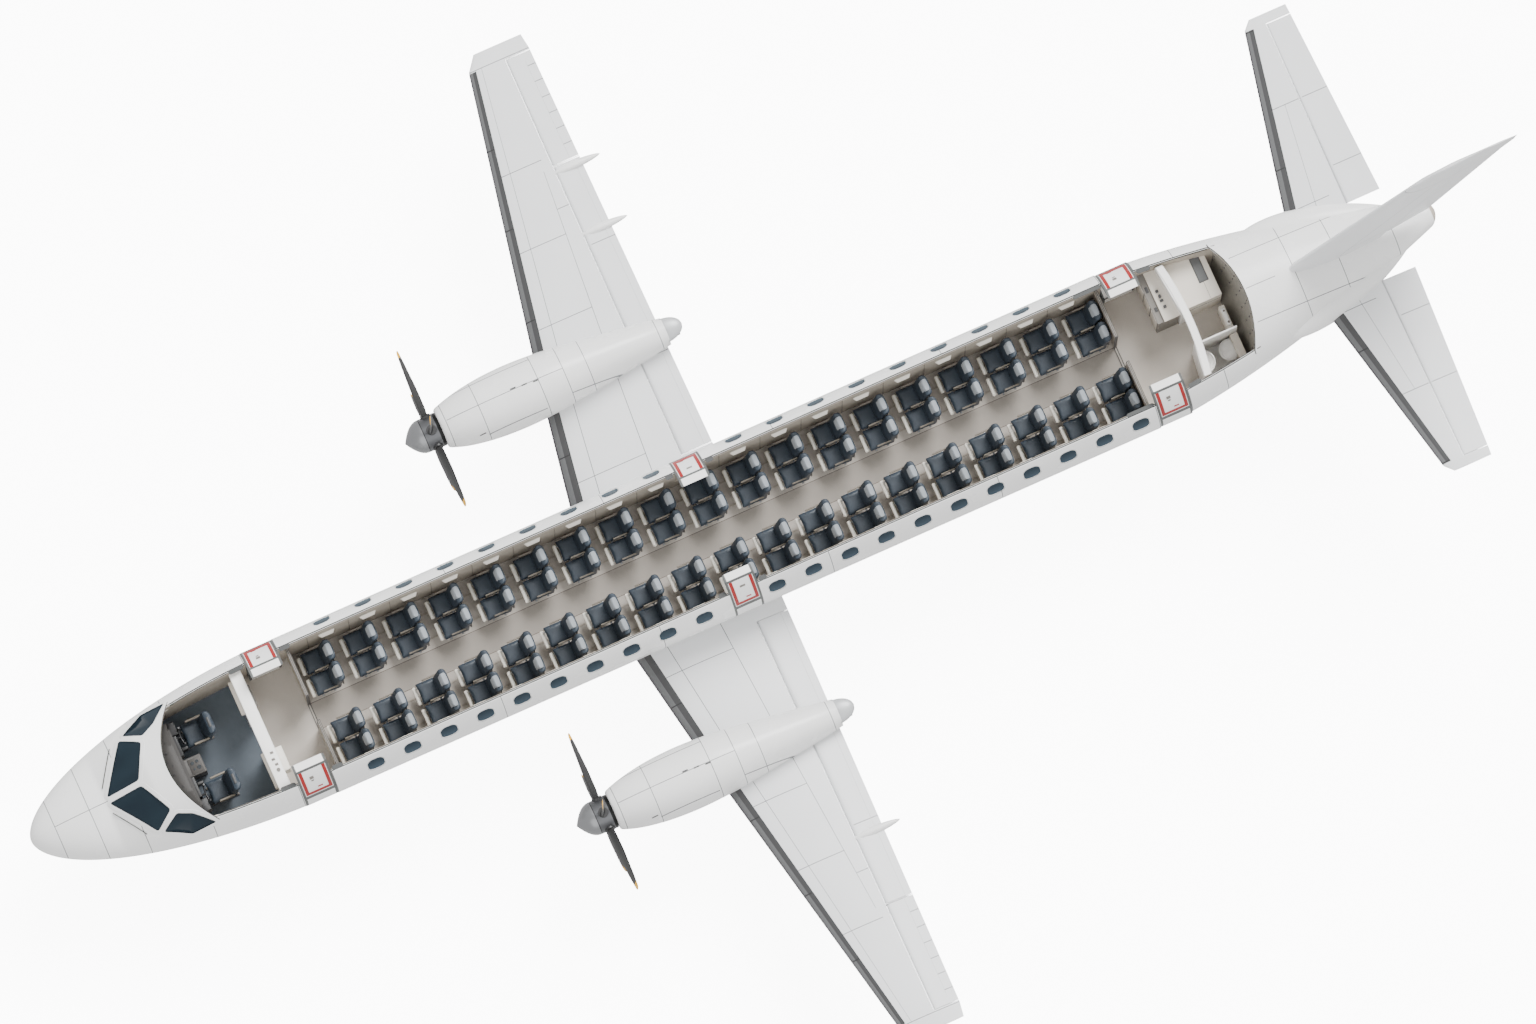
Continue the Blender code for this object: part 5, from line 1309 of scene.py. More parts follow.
for side, sign in SIDES:
    centre = (HUB_X, sign * NACELLE_Y, THRUST_Z + AXIS_Z)
    t = np.sin(np.linspace(0, np.pi / 2, 28))[1:-1]
    nose_curve = np.column_stack([SPINNER_JOINT + SPINNER_NOSE * t, SPINNER_RADIUS * (1 - t ** 2.1)])
    profile = [(4.607, 0.30), (4.612, 0.31), (SPINNER_JOINT, SPINNER_RADIUS), *nose_curve,
               (SPINNER_JOINT + SPINNER_NOSE, 0.004)]
    piece(f"spinner_{side}", turned(profile, (0, *centre[1:]), sides=72), spun,
          f"propeller_{side}", [f"propeller_{side}"])
    blades, maps, cuffs = [], [], []
    for turn in 2 * np.pi * np.arange(BLADES) / BLADES:
        grid, flat = blade_grid(turn, centre)
        blades.append(ring_solid(grid))
        maps.append(flat.reshape(-1, 2))
        out = np.array([0.0, math.sin(turn), math.cos(turn)])
        cuffs.append(bar(centre + 0.24 * out, centre + 0.325 * out, 0.098, 0.092, 32))
    piece(f"blades_{side}", merged(blades), blade_paint, f"propeller_{side}",
          uv=np.concatenate(maps))
    piece(f"blade_cuffs_{side}", merged(cuffs), black_plastic, f"propeller_{side}")

# %% [markdown]
# ## Landing gear
# Each leg is an enamelled outer cylinder with a bright chromed piston sliding in it, kept from turning by a
# pair of hinged torque links behind it and held by a diagonal brace. The twin wheels are cast alloy with
# lightening holes, and the tyres have straight grooves round the tread. A tyre is a closed profile turned
# about the axle, so its grid is joined in both directions.

# %% Rubber and gear metals
rubber, tree, shader, place, noise = mottled("grooved_tyre_rubber", 26.0, "#19191a", "#262627", 0.7, IOR=1.52)
roughened(tree, shader, noise, 0.6, 0.85)
grit = add(tree, "ShaderNodeTexNoise", {"Vector": place, "Scale": 420.0, "Detail": 2.0}).outputs[0]
bumped(tree, shader, grit, 0.25, 0.0006)

gear_enamel = moulded("pale_grey_gear_enamel", "#cfd0cf", "#d9dad9", 0.35, 0.01, 0.05)
wheel_alloy = moulded("cast_wheel_alloy", "#a3a5a7", "#b4b6b8", 0.38, 0.003, 0.2, Metallic=0.9)
chrome = moulded("hard_chrome_piston", "#c8cacc", "#d4d6d8", 0.12, 0.01, 0.02, Metallic=1.0)

# %% Wheels and tyres
def turned_ring(profile, centre, sides=96):
    """A closed profile of (distance along y, radius) rows turned about an axle through the centre."""
    along, radius = np.array(profile, float).T
    turns = np.linspace(0, 2 * np.pi, sides, endpoint=False) + np.pi / 2
    u, v = radius[:, None] * np.cos(turns), radius[:, None] * np.sin(turns)
    return band_solid(xyz(u, along[:, None], v) + np.array(centre, float))


# a tread groove's section: (offset as a share of the half width, depth as a share of the radius)
GROOVE = ((0.035, 0), (0.03, 0.018), (-0.03, 0.018), (-0.035, 0))
# a rim's section from its outer face to its inner one: (share of the half width, share of the hub's radius)
WEB = ((1, 0.26), (0.82, 0.32), (0.45, 0.42), (0.38, 0.80), (0.80, 0.90), (1.04, 0.97), (1.05, 1.06),
       (0.8, 1.05), (-0.8, 1.05), (-1.05, 1.06), (-1.04, 0.97), (-0.5, 0.90), (-0.5, 0.30), (-1, 0.28))
# the rim's width as a share of the tyre's, and the radius of the hole through the hub
RIM_SHARE, BORE = 0.80, 0.012


def tyre_profile(radius, width, hub):
    """Bead, bulging side wall, shoulder and a slightly crowned tread with five grooves."""
    half, wall = width / 2, radius - hub
    side = [(0.80, hub), (0.90, hub + 0.10 * wall), (0.985, hub + 0.33 * wall), (1.0, hub + 0.50 * wall),
            (0.975, hub + 0.70 * wall), (0.90, hub + 0.86 * wall), (0.78, hub + 0.955 * wall)]
    tread = []
    for share in (0.60, 0.30, 0.0, -0.30, -0.60):
        top = radius * (1 - 0.012 * share ** 2)
        tread += [(share + off, top - deep * radius) for off, deep in GROOVE]
    far = [(-share, r) for share, r in side[::-1]]
    return [(share * half, r) for share, r in [*side, *tread, *far]]


def wheel_profile(width, hub, side):
    """A rim with a dished web: the outer side is deep and the inner side holds the brake."""
    half = width / 2 * RIM_SHARE
    rows = [(half * share, hub * out) for share, out in WEB]
    return [(y * side, r) for y, r in ((half, BORE), *rows, (-half, BORE))]


def pin(x, y, z, half, *sizes, **sides):
    """A round bar across the aircraft, centred on y."""
    return bar((x, y - half, z), (x, y + half, z), *sizes, **sides)


def wheel_set(name, x, y, radius, width, track, axle, hub):
    """Two wheels on one axle, with their tyres, brake drums, and dark discs of painted shade for the holes.
    """
    tyres, rims, dark = [], [pin(x, y, radius, track, axle, sides=32)], []
    for side in (1, -1):
        centre = (x, y + side * track, radius)
        half = side * width / 2 * RIM_SHARE
        tyres.append(turned_ring(tyre_profile(radius, width, hub), centre))
        rims.append(turned(wheel_profile(width, hub, side), centre, "y", 64))
        # holes as dark discs of painted shade, and bolts: (list, count, first, ring's share of the hub,
        # distance out, height, radius, sides)
        rows = ((dark, 8, 0.5, 0.62, 0.40 * half, 0.006, 0.13, 20),
                (rims, 6, 0.0, 0.19, half, 0.008, 0.03, 6))
        for shapes, count, first, ring, out, height, size, sides in rows:
            for i in range(count):
                turn = 2 * math.pi * (i + first) / count
                foot = np.array(centre) + [ring * hub * math.cos(turn), out, ring * hub * math.sin(turn)]
                shapes.append(bar(foot, foot + [0, side * height, 0], size * hub, sides=sides))
        drum = np.array(centre) - [0, half, 0]
        dark.append(bar(drum, drum + [0, side * 0.35 * width, 0], 0.72 * hub, sides=48))
    piece(f"{name}_tyres", merged(tyres), rubber, name, [name])
    piece(f"{name}_rims", merged(rims), wheel_alloy, name)
    piece(f"{name}_brakes_and_painted_hole_shade", merged(dark), dark_plastic, name)


def torque_links(x, y, top_z, low_z, reach, half):
    """Two flat links that meet at a pin behind the leg: tapering plates with a bush at each end."""
    apex = (x - reach, (top_z + low_z) / 2)
    shapes = []
    for z in (top_z, low_z):
        start, end = np.array([x - 0.06, z]), np.array(apex)
        along = (end - start) / np.linalg.norm(end - start)
        wide = np.array([-along[1], along[0]])
        outline = [start + 0.045 * wide, end + 0.022 * wide, end - 0.022 * wide, start - 0.045 * wide]
        shapes.append(plate(outline, *around(y, half), "y"))
        shapes.append(pin(start[0], y, start[1], half * 1.5, 0.035))
    return [*shapes, pin(apex[0], y, apex[1], half * 1.6, 0.026)]


MAIN_X, NOSE_WHEEL_X = 0.90, 11.0
for side, sign in SIDES:
    y, axle_z = sign * NACELLE_Y, 0.42
    wheel_set(f"main_wheels_{side}", MAIN_X, y, 0.42, 0.26, 0.23, 0.05, 0.205)
    leg = [post(MAIN_X, y, AXIS_Z - 0.80, AXIS_Z - 1.72, 0.10, sides=40),
           post(MAIN_X, y, AXIS_Z - 1.66, AXIS_Z - 1.72, 0.108, sides=40),
           pin(MAIN_X, y, axle_z, 0.075, 0.11, sides=40),
           post(MAIN_X, y, axle_z + 0.02, axle_z + 0.20, 0.10, 0.07, sides=40),
           bar((MAIN_X, y, AXIS_Z - 1.45), (MAIN_X + 0.85, y, AXIS_Z - 0.985), 0.045),
           pin(MAIN_X + 0.40, y, AXIS_Z - 1.23, 0.06, 0.058),
           *torque_links(MAIN_X, y, AXIS_Z - 1.66, AXIS_Z - 1.93, 0.19, 0.04)]
    piece(f"main_leg_enamel_{side}", merged(leg), gear_enamel, replaces=[f"main_leg_{side}"])
    piston = post(MAIN_X, y, AXIS_Z - 1.60, axle_z + 0.10, 0.065, sides=40)
    piece(f"main_piston_{side}", piston, chrome)
    hose = post(MAIN_X - 0.115, y + 0.05, AXIS_Z - 1.0, AXIS_Z - 1.72, 0.012, sides=12)
    piece(f"brake_hose_{side}", hose, black_plastic)

wheel_set("nose_wheels", NOSE_WHEEL_X, 0.0, 0.30, 0.17, 0.16, 0.035, 0.15)
COLLAR_Z = AXIS_Z - 1.78
LAMP_Z = AXIS_Z - 1.66
nose_leg = [post(NOSE_WHEEL_X, 0, AXIS_Z - 1.30, COLLAR_Z, 0.09, sides=40),
            bar((NOSE_WHEEL_X, 0, AXIS_Z - 1.62), (NOSE_WHEEL_X - 0.75, 0, AXIS_Z - 1.38), 0.04),
            pin(NOSE_WHEEL_X, 0, LAMP_Z, 0.13, 0.035)]
piece("nose_leg_enamel", merged(nose_leg), gear_enamel, replaces=["nose_leg"])
lamps = [bar((NOSE_WHEEL_X + 0.02, y, LAMP_Z), (NOSE_WHEEL_X + 0.075, y, LAMP_Z), 0.045, 0.06)
         for y in (0.15, -0.15)]
piece("nose_leg_lamps", merged(lamps), chrome)
fork = [post(NOSE_WHEEL_X, 0, COLLAR_Z - 0.006, COLLAR_Z - 0.09, 0.085, sides=40),
        pin(NOSE_WHEEL_X, 0, 0.30, 0.06, 0.085, sides=40),
        post(NOSE_WHEEL_X, 0, 0.32, 0.42, 0.08, 0.05, sides=40)]
piece("nose_fork_enamel", merged(fork), gear_enamel, "nose_fork", ["nose_fork"])
piston = post(NOSE_WHEEL_X, 0, COLLAR_Z + 0.15, 0.33, 0.045, sides=32)
piece("nose_piston", piston, chrome, "nose_fork")

# %% [markdown]
# ## Jack pads
# Three small machined pads under the wings and the nose take the jacks.

# %% Jack pads
pads = [post(1.7, sign * 2.3, 1.58, 1.76, 0.06, 0.07, sides=32) for sign in (1, -1)]
piece("wing_jack_pads", merged(pads), wheel_alloy)
piece("nose_jack_cone", post(9.9, 0, 1.07, 1.20, 0.06, 0.07, sides=32), wheel_alloy)

# %% [markdown]
# ## Doors and exits
# A door is a curved panel with an inner lining, and the front and rear ones have a low locker inside that
# is seen from above as a white tray. A red band follows the edge of the panel on three sides. Everything on
# a door lies within the door's own block, so that it can swing without touching its frame.

# %% Door forms
red_band = moulded("signal_red_band", "#8a0203", "#940606", 0.5, 0.004, 0.04)
seal_grey = moulded("grey_door_seal", "#4c4e4d", "#575958", 0.6, 0.003)
DOOR_THICK, DOOR_TOP, DOOR_HINGE_Y = 0.09, 1.07, 1.2986
SEAL_WIDTH, SEAL_RISE, BAND_WIDTH, BAND_RISE = 0.042, 0.001, 0.060, 0.003
# heights of the band's outer run for each side: the side that leans away from the view has the broader one
BAND_Z = {1: (0.50, 0.57), -1: (0.44, 0.58)}
# (x from the door's middle, angle round the skin, width, height) of the latches and of an exit's handle
LATCHES = ((0.05, 0.66, 0.075, 0.045), (0.05, 0.61, 0.05, 0.02))
EXIT_HANDLE = ((0.0, 0.68, 0.10, 0.03),)


def cabin_bar(x, y, z, radius=0.01, steps=2):
    """A rounded bar whose heights are measured from the fuselage axis."""
    return rounded_bar(x, y, (z[0] + AXIS_Z, z[1] + AXIS_Z), radius, steps)


def door_arc(angle, radius, shrink=1.0):
    return np.stack([radius * np.cos(angle) * shrink, radius * np.sin(angle)], -1)


def door_section(low, high, shrink, locker):
    """(y, z) outline of a door: skin, top edge, lining and, on the large doors, the locker's box."""
    outer_turns = np.linspace(math.asin(low / RADIUS), math.asin(high / RADIUS), 40)
    top = math.asin(high / (RADIUS - DOOR_THICK)) * 0.995
    outer = door_arc(outer_turns, RADIUS - 0.001, shrink)
    inner = door_arc(np.linspace(top, -0.1, 24), RADIUS - DOOR_THICK, shrink)
    if not locker:
        foot = door_arc(np.arcsin([low / (RADIUS - DOOR_THICK)]), RADIUS - DOOR_THICK, shrink)
        return np.concatenate([outer, inner, foot])
    box = np.array([(1.19, -0.215), (1.05, -0.25), (1.03, -0.27), (1.025, low + 0.06), (1.045, low + 0.035),
                    (1.17, low)]) * (shrink, 1)
    outer[0] = (DOOR_HINGE_Y - 0.001, low)
    return np.concatenate([outer, inner, box])


def on_skin(x, low, high, sign, shrink, rise=BAND_RISE, count=12):
    """A thin curved patch over a door's skin between two x and two angles."""
    angle = np.linspace(low, high, count)
    skin_line, root = (door_arc(angle, RADIUS + r, shrink) for r in (rise, -0.01))
    return carried(np.concatenate([skin_line, root[::-1]]), x, sign)


def angle_at(z):
    return math.asin(z / RADIUS)


def dress_door(name, node, body, x, width, low, sign, shrink, locker, marks):
    """The panel, seal, band and latches of one door or exit."""
    outline = door_section(low, DOOR_TOP, shrink, locker)
    span = around(x, width / 2)
    ends = around(x, width / 2 - SEAL_WIDTH)
    panel = piece(f"{name}_panel", carried(outline, ends, sign), [plain_white, white_moulding],
                  body, [node])
    sort_faces(panel, lambda c, n: np.where(n[:, 1] * sign < 0, 1, 0))
    top, a_low, a_high = angle_at(DOOR_TOP - 0.001), angle_at(BAND_Z[sign][0]), angle_at(DOOR_TOP) - 0.035
    below = [angle_at(BAND_Z[sign][0] - drop) for drop in (0.13, 0.03)]
    thin = outline + (outline.mean(0) - outline) * 0.004
    seals = [carried(thin, pair, sign) for pair in ((span[0], ends[0] + 0.002), (ends[1] - 0.002, span[1]))]
    seals += [on_skin(span, *turns, sign, shrink, SEAL_RISE) for turns in ((top - 0.034, top), below)]
    piece(f"{name}_seal", merged(seals), seal_grey, body)
    edge, dash = width / 2 - SEAL_WIDTH - 0.012, a_low + 0.10
    patches = [((x + s * edge, x + s * (edge - BAND_WIDTH)), a_low, a_high) for s in (1, -1)]
    patches.append((around(x, edge), a_low, angle_at(BAND_Z[sign][1])))
    patches.append(((x + 0.03, x + 0.12) if sign < 0 else (x - 0.09, x), dash, dash + 0.022))
    bands = merged([on_skin(*patch, sign, shrink) for patch in patches])
    piece(f"{name}_band", bands, red_band, body)
    small = [on_skin(around(x + at, wide / 2), *around(turn, tall / 2), sign, shrink)
             for at, turn, wide, tall in marks]
    piece(f"{name}_latch", merged(small), grey_unit, body)


# %% Doors and exits
for side, sign in SIDES:
    for place, x in (("front", FRONT_DOOR_X), ("rear", REAR_DOOR_X)):
        body = f"door_{place}_{side}"
        shrink = half_width(x) / RADIUS
        sill = FLOOR_Z + DOOR_GAP
        dress_door(body, f"cabin_door_{place}_{side}", body, x, DOOR_WIDTH, sill, sign, shrink, True, LATCHES)
        rails = [cabin_bar(around(at, 0.008), (1.03 * shrink, 1.185 * shrink), (-0.26, -0.195), 0.007)
                 for at in around(x, 0.29)]
        rails.append(cabin_bar(around(x, 0.28), (1.030 * shrink, 1.046 * shrink), (-0.27, -0.225), 0.006))
        piece(f"door_{place}_rails_{side}", mirror_y(merged(rails), sign), seal_grey, body)
        ends = [(at, sign * DOOR_HINGE_Y, sill + AXIS_Z) for at in around(x, DOOR_WIDTH / 2)]
        rod = bar(*ends, 0.005, sides=16)
        piece(f"door_{place}_rod_{side}", rod, wheel_alloy, body)
    dress_door(f"exit_{side}", f"overwing_exit_{side}", "airframe", EXIT_X, EXIT_WIDTH, EXIT_SILL, sign,
               1.0, False, EXIT_HANDLE)

# %% [markdown]
# ## Pockets beside the doors
# The cut edge of the wall shows pockets beside each door, where the door's fittings run into the frame.
# Each is a flat grey plate with round ends that follows the edge, and its grey is painted shade for the
# pocket's depth.

# %% Door pockets
# the pockets' grey plates are painted shade
pocket_painted_shade = moulded("grey_pocket_painted_shade", "#3a3c3c", "#454746", 0.6, 0.003)
# (x from, x to) on the cut edge, for both sides
POCKETS = ((9.44, 9.72), (8.56, 8.76), (1.31, 1.45), (0.55, 0.69), (-6.80, -6.28), (-7.72, -7.47))
POCKET_INSET, POCKET_WIDTH = 0.012, 0.085
for side, sign in SIDES:
    shapes = []
    for ends in POCKETS:
        x, way = rounded_outline(ends, (-1, 1), 0.04).T
        share = (x - sum(ends) / 2) / (ends[1] - ends[0]) * 2
        outer = skin_y(x, cut_z(x)) - POCKET_INSET
        round_end = np.sqrt(np.clip(1 - abs(share) ** 6, 0.02, 1))
        y = outer - POCKET_WIDTH / 2 + np.sign(way) * POCKET_WIDTH / 2 * round_end
        shapes.append(lifted(xyz(x, sign * y, cut_z(x) + AXIS_Z - 0.01), 0.013))
    piece(f"door_pockets_{side}", merged(shapes), pocket_painted_shade)

# %% [markdown]
# ## Flight deck
# The instrument panel is a grey hood whose front edge follows the cut of the roof, with two black side
# units, flat displays and a pedestal between the seats that carries dials and levers.

# %% Instrument panel
panel_grey = moulded("warm_grey_instrument_enamel", "#33312f", "#3c3a38", 0.6, 0.002, 0.15)
screen_glass = mottled("dark_display_glass", 30.0, "#171c20", "#2b3339", 0.15, IOR=1.5,
                       **{"Coat Weight": 0.5})[0]
t = np.linspace(-1, 1, 41)
hood_front, hood_back = 11.44 - 0.30 * abs(t) ** 2.4, 11.10 - 0.05 * abs(t) ** 3
# (share of the depth, height above the axis) round the hood
HOOD = ((1.0, 0.10), (1.0, 0.235), (0.9, 0.262), (0.45, 0.292), (0.08, 0.298), (0.0, 0.282), (0.0, 0.20),
        (0.30, 0.12))
hood = np.stack([xyz(hood_back + (hood_front - hood_back) * share, 0.82 * t, z + AXIS_Z)
                 for share, z in HOOD], 1)
# (x, height above the axis) round the panel's face under the hood
FACE = ((11.04, 0.20), (11.14, FLOOR_Z + 0.01), (11.40, FLOOR_Z + 0.01), (11.36, 0.20))
face = np.array([[(x, y, z + AXIS_Z) for x, z in FACE] for y in (-0.72, 0.72)])
piece("instrument_hood", merged([ring_solid(hood), ring_solid(face)]), panel_grey,
      replaces=["instrument_panel"])

# %% Pedestal, displays, levers and yokes
PEDESTAL_X, PEDESTAL_TOP, PEDESTAL_HALF = (10.72, 11.2), -0.12, 0.17
aft, top = PEDESTAL_X[0], PEDESTAL_TOP + AXIS_Z
pedestal = [cabin_bar(PEDESTAL_X, around(0, PEDESTAL_HALF), (FLOOR_Z + 0.005, PEDESTAL_TOP), 0.02, 3),
            cabin_bar((aft + 0.03, aft + 0.26), around(0, PEDESTAL_HALF - 0.03),
                      (PEDESTAL_TOP - 0.01, PEDESTAL_TOP + 0.012), 0.008)]
piece("pedestal", merged(pedestal), moulded("pedestal_enamel", "#403e3b", "#4b4845", 0.5, 0.002, 0.2))
# (x from the pedestal's aft end, y, radius)
DIALS = ((0.10, 0.05, 0.035), (0.10, -0.06, 0.028), (0.19, 0.06, 0.02), (0.19, -0.05, 0.03))
dials = [post(aft + dx, y, top + 0.010, top + 0.020, radius, sides=32) for dx, y, radius in DIALS]
piece("pedestal_dials", merged(dials), screen_glass)
screens = [cabin_bar((11.043, 11.057), around(y, 0.105), (-0.04, 0.16), 0.004, 1)
           for y in 0.27 * np.arange(-2, 3)]
piece("display_screens", merged(screens), screen_glass)
levers = []
for y in (-0.09, -0.045, 0.045, 0.09):
    foot = np.array([aft + 0.33, y, top])
    head, grip = foot + [0.03, 0, 0.10], np.array([0, 0.018, 0])
    levers += [bar(foot, head, 0.009, sides=12), bar(head - grip, head + grip, 0.016, sides=16)]
# (x, y, radius) of the knobs on the hood
KNOBS = ((11.26, 0.44, 0.018), (11.22, 0.30, 0.014), (11.28, 0.05, 0.020), (11.24, -0.10, 0.014),
         (11.26, -0.34, 0.018), (11.20, -0.52, 0.014), (11.30, -0.20, 0.012))
levers += [post(x, y, 0.285 + AXIS_Z, 0.305 + AXIS_Z, radius, radius * 0.8, 20) for x, y, radius in KNOBS]
piece("levers_and_knobs", merged(levers), black_plastic)

# (x from, x to, y from, y to, top) of the side units
UNITS = ((10.92, 11.06, 0.60, 0.84, 0.05), (10.86, 10.98, 0.30, 0.36, 0.02), (10.98, 11.05, 0.20, 0.58, 0.16))
side_units, yokes = [], []
for sign in (1, -1):
    side_units += [mirror_y(cabin_bar((x0, x1), (y0, y1), (-0.25, z1), 0.015, 3), sign)
                   for x0, x1, y0, y1, z1 in UNITS]
    hub = np.array([10.91, sign * 0.54, AXIS_Z])
    yokes.append(bar(hub + [0.14, 0, -0.02], hub, 0.018, sides=20))
    for s in (1, -1):
        grip = hub + [-0.01, s * 0.13, 0.02]
        yokes += [bar(hub, grip, 0.016, sides=16), bar(grip, hub + [-0.03, s * 0.145, 0.13], 0.018, sides=16)]
piece("cockpit_side_units", merged(side_units), black_plastic)
piece("control_yokes", merged(yokes), black_plastic)

# %% [markdown]
# ## Cockpit bulkhead
# The bulkhead is a thick white wall with shelves on both faces and an equipment unit at its port end. A wall
# across the cabin is an upright panel: its outer edge follows the fuselage, and its inner edge is straight.

# %% Bulkhead, shelves and equipment unit
def upright(stations, y, z, inner, sign, bow=0.0, reach=1.0):
    """An upright panel between (y, z) and inner. Its x is the station less bow (1 - (y / reach)^2)."""
    y = np.broadcast_to(y, (len(stations), len(z)))
    loop_y = np.concatenate([y, np.full((len(stations), 2), inner)], 1)
    x = np.array(stations)[:, None] - bow * (1 - np.minimum(1, loop_y / reach) ** 2)
    return ring_solid(xyz(x, sign * loop_y, np.concatenate([z, z[[-1, 0]]]) + AXIS_Z))


BULKHEAD_X, BULKHEAD_TOP, DOORWAY = (9.53, 9.72), 0.70, 0.28
wall_reach = lining_rings(np.array(BULKHEAD_X))[:, :, 1].max() - 0.01
bulk_z = np.linspace(FLOOR_Z + 0.02, BULKHEAD_TOP - 0.012, 30)
reach = np.minimum(skin_y(np.full(30, BULKHEAD_X[1]), bulk_z, 0.105), wall_reach)
for side, sign in SIDES:
    piece(f"bulkhead_half_{side}", upright(BULKHEAD_X, reach, bulk_z, DOORWAY, sign), white_moulding,
          replaces=["cockpit_bulkhead"] if sign > 0 else ())
# name: (x, y, z, finish, slot), each as (low, high) pairs
CABINETS = {
    "bulkhead_cap": ((9.515, 9.735), around(0, float(reach[-1])), (BULKHEAD_TOP - 0.06, BULKHEAD_TOP),
                     white_moulding, "bulkhead_metal"),
    "cockpit_shelf_right": ((9.72, 9.80), (-1.02, -0.40), (0.30, 0.42), beige_unit, "lining_plastic"),
    "cockpit_shelf_left": ((9.72, 9.78), (0.35, 1.02), (0.30, 0.42), beige_unit, "lining_plastic"),
    "entry_shelf_right": ((9.47, 9.53), (-0.85, -0.45), (0.28, 0.40), grey_unit, "lining_plastic"),
    "equipment_unit": ((9.40, 9.53), (0.38, 0.82), (0.20, 0.66), pale_trim, "lining_plastic"),
}
for name, (x, y, z, finish, slot) in CABINETS.items():
    piece(name, cabin_bar(x, y, z, 0.015, 3), finish)
fittings = [cabin_bar(around(x, 0.03), around(y, 0.022), (BULKHEAD_TOP - 0.004, BULKHEAD_TOP + 0.006), 0.004)
            for x, y in ((9.60, 0.44), (9.62, 0.56), (9.60, 0.66))]
cap_z = BULKHEAD_TOP + AXIS_Z
fittings.append(post(9.61, 0.76, cap_z - 0.004, cap_z + 0.008, 0.035, sides=28))
piece("bulkhead_fittings", merged(fittings), grey_unit)
strip_x = np.linspace(11.35, 9.74, 40)
strip_y = skin_y(strip_x, 0.30, 0.10)
# (distance from the wall, height above the axis) round the shelf along the starboard wall
SHELF = ((0.0, 0.42), (0.10, 0.42), (0.115, 0.40), (0.115, 0.30), (0.0, 0.30))
shelf = np.stack([xyz(strip_x, -(strip_y - d), z + AXIS_Z) for d, z in SHELF], 1)
piece("cockpit_side_shelf", ring_solid(shelf), pale_trim)

# %% [markdown]
# ## Partitions
# Before the first seat row and behind the last one, two thin panels with a gap between them stand on either
# side of the aisle, and a low kick strip crosses it.

# %% Cabin partitions
PARTITION_TOP, FLOOR, SHEET = 0.62, FLOOR_Z + AXIS_Z, 0.016
PARTITION_PLACES = (("forward_partition", (8.605, 8.655)), ("aft_partition", (-6.735, -6.685)))
# (x from, x to, drop below the top) of the three rails on a partition's top
TOP_RAILS = ((-0.029, -0.016, 0.02), (-0.007, 0.007, 0.32), (0.016, 0.029, 0.02))
for name, (low_x, high_x) in PARTITION_PLACES:
    middle = (low_x + high_x) / 2
    z = np.linspace(FLOOR_Z + 0.01, PARTITION_TOP, 30)
    y = np.minimum(skin_y(np.full(30, low_x), z, 0.108),
                   lining_rings(np.array([low_x]))[0, :, 1].max() - 0.004)
    end_y = min(float(skin_y(low_x, PARTITION_TOP, 0.112)), LINING * RADIUS) - 0.004
    panels, caps = [], []
    for sign in (1, -1):
        panels += [upright(pair, y, z, AISLE_HALF, sign)
                   for pair in ((low_x, low_x + SHEET), (high_x - SHEET, high_x))]
        posts = [cabin_bar((middle + a, middle + b), (AISLE_HALF - 0.004, end_y),
                           (PARTITION_TOP - drop, PARTITION_TOP + 0.004), 0.003, 1)
                 for a, b, drop in TOP_RAILS]
        posts.append(cabin_bar(around(middle, 0.030), (AISLE_HALF - 0.010, AISLE_HALF + 0.002),
                               (FLOOR_Z + 0.01, PARTITION_TOP + 0.004), 0.004, 1))
        caps += [mirror_y(one, sign) for one in posts]
    caps += [rounded_bar(around(at, 0.006), around(0, AISLE_HALF), (FLOOR + 0.006, FLOOR + 0.02), 0.003, 1)
             for at in around(middle, 0.022)]
    piece(f"{name}_panels", merged(panels), trim_panel, replaces=[name])
    piece(f"{name}_frames", merged(caps), dark_plastic)

# %% [markdown]
# ## Rear service area
# Behind the last seats come the entry with the galley, a white bowed arch across the cabin, and behind the
# arch the stowage room to starboard and the lavatory to port. The cabinets fill the room up to its wall.

# %% Galley
LOW = FLOOR_Z + 0.01


def wall_line(x, z, clear=0.106):
    """Half the room's width at a place: the lining's inside, kept a little clear of it."""
    x = np.atleast_1d(np.asarray(x, float))
    return np.minimum(skin_y(x, np.asarray(z, float), clear), lining_rings(x)[:, :, 1].max() - 0.004)


def room_block(x, inner_y, sign, low_z, top_z, steps=16):
    """A cabinet that fills the room from inner_y to the wall, whose far side follows the wall."""
    z, stations = np.linspace(low_z, top_z, steps), np.linspace(*x, 8)
    return upright(stations, [wall_line(np.full(steps, at), z) for at in stations], z, inner_y, sign)


piece("galley_carcass", room_block((-7.87, -7.48), 0.17, -1, LOW, 0.35), grey_unit,
      replaces=["galley"])
piece("galley_worktop", room_block((-7.90, -7.60), 0.16, -1, 0.35, 0.40), beige_unit)
# (x, y, length, width, height, base) of the units on the worktop
GALLEY_UNITS = ((-7.71, -0.40, 0.05, 0.05, 0.05, 0.40), (-7.70, -0.52, 0.06, 0.045, 0.03, 0.40),
                (-7.70, -0.60, 0.04, 0.06, 0.06, 0.40), (-7.69, -0.70, 0.05, 0.05, 0.04, 0.40),
                (-7.55, -0.42, 0.05, 0.08, 0.012, 0.35), (-7.54, -0.80, 0.05, 0.11, 0.012, 0.35))
units = [cabin_bar(around(x, wx / 2), around(y, wy / 2), (base - 0.004, base + tall), 0.006)
         for x, y, wx, wy, tall, base in GALLEY_UNITS]
piece("galley_units", merged(units), dark_plastic)
fronts = [cabin_bar((-7.484, -7.470), around(y, 0.12), (-0.55, 0.28), 0.005) for y in (-0.34, -0.62, -0.90)]
piece("galley_doors", merged(fronts), beige_unit)

# %% Arch
ARCH_X, ARCH_TOP, ARCH_BOW = (-7.94, -7.80), 0.76, 0.10
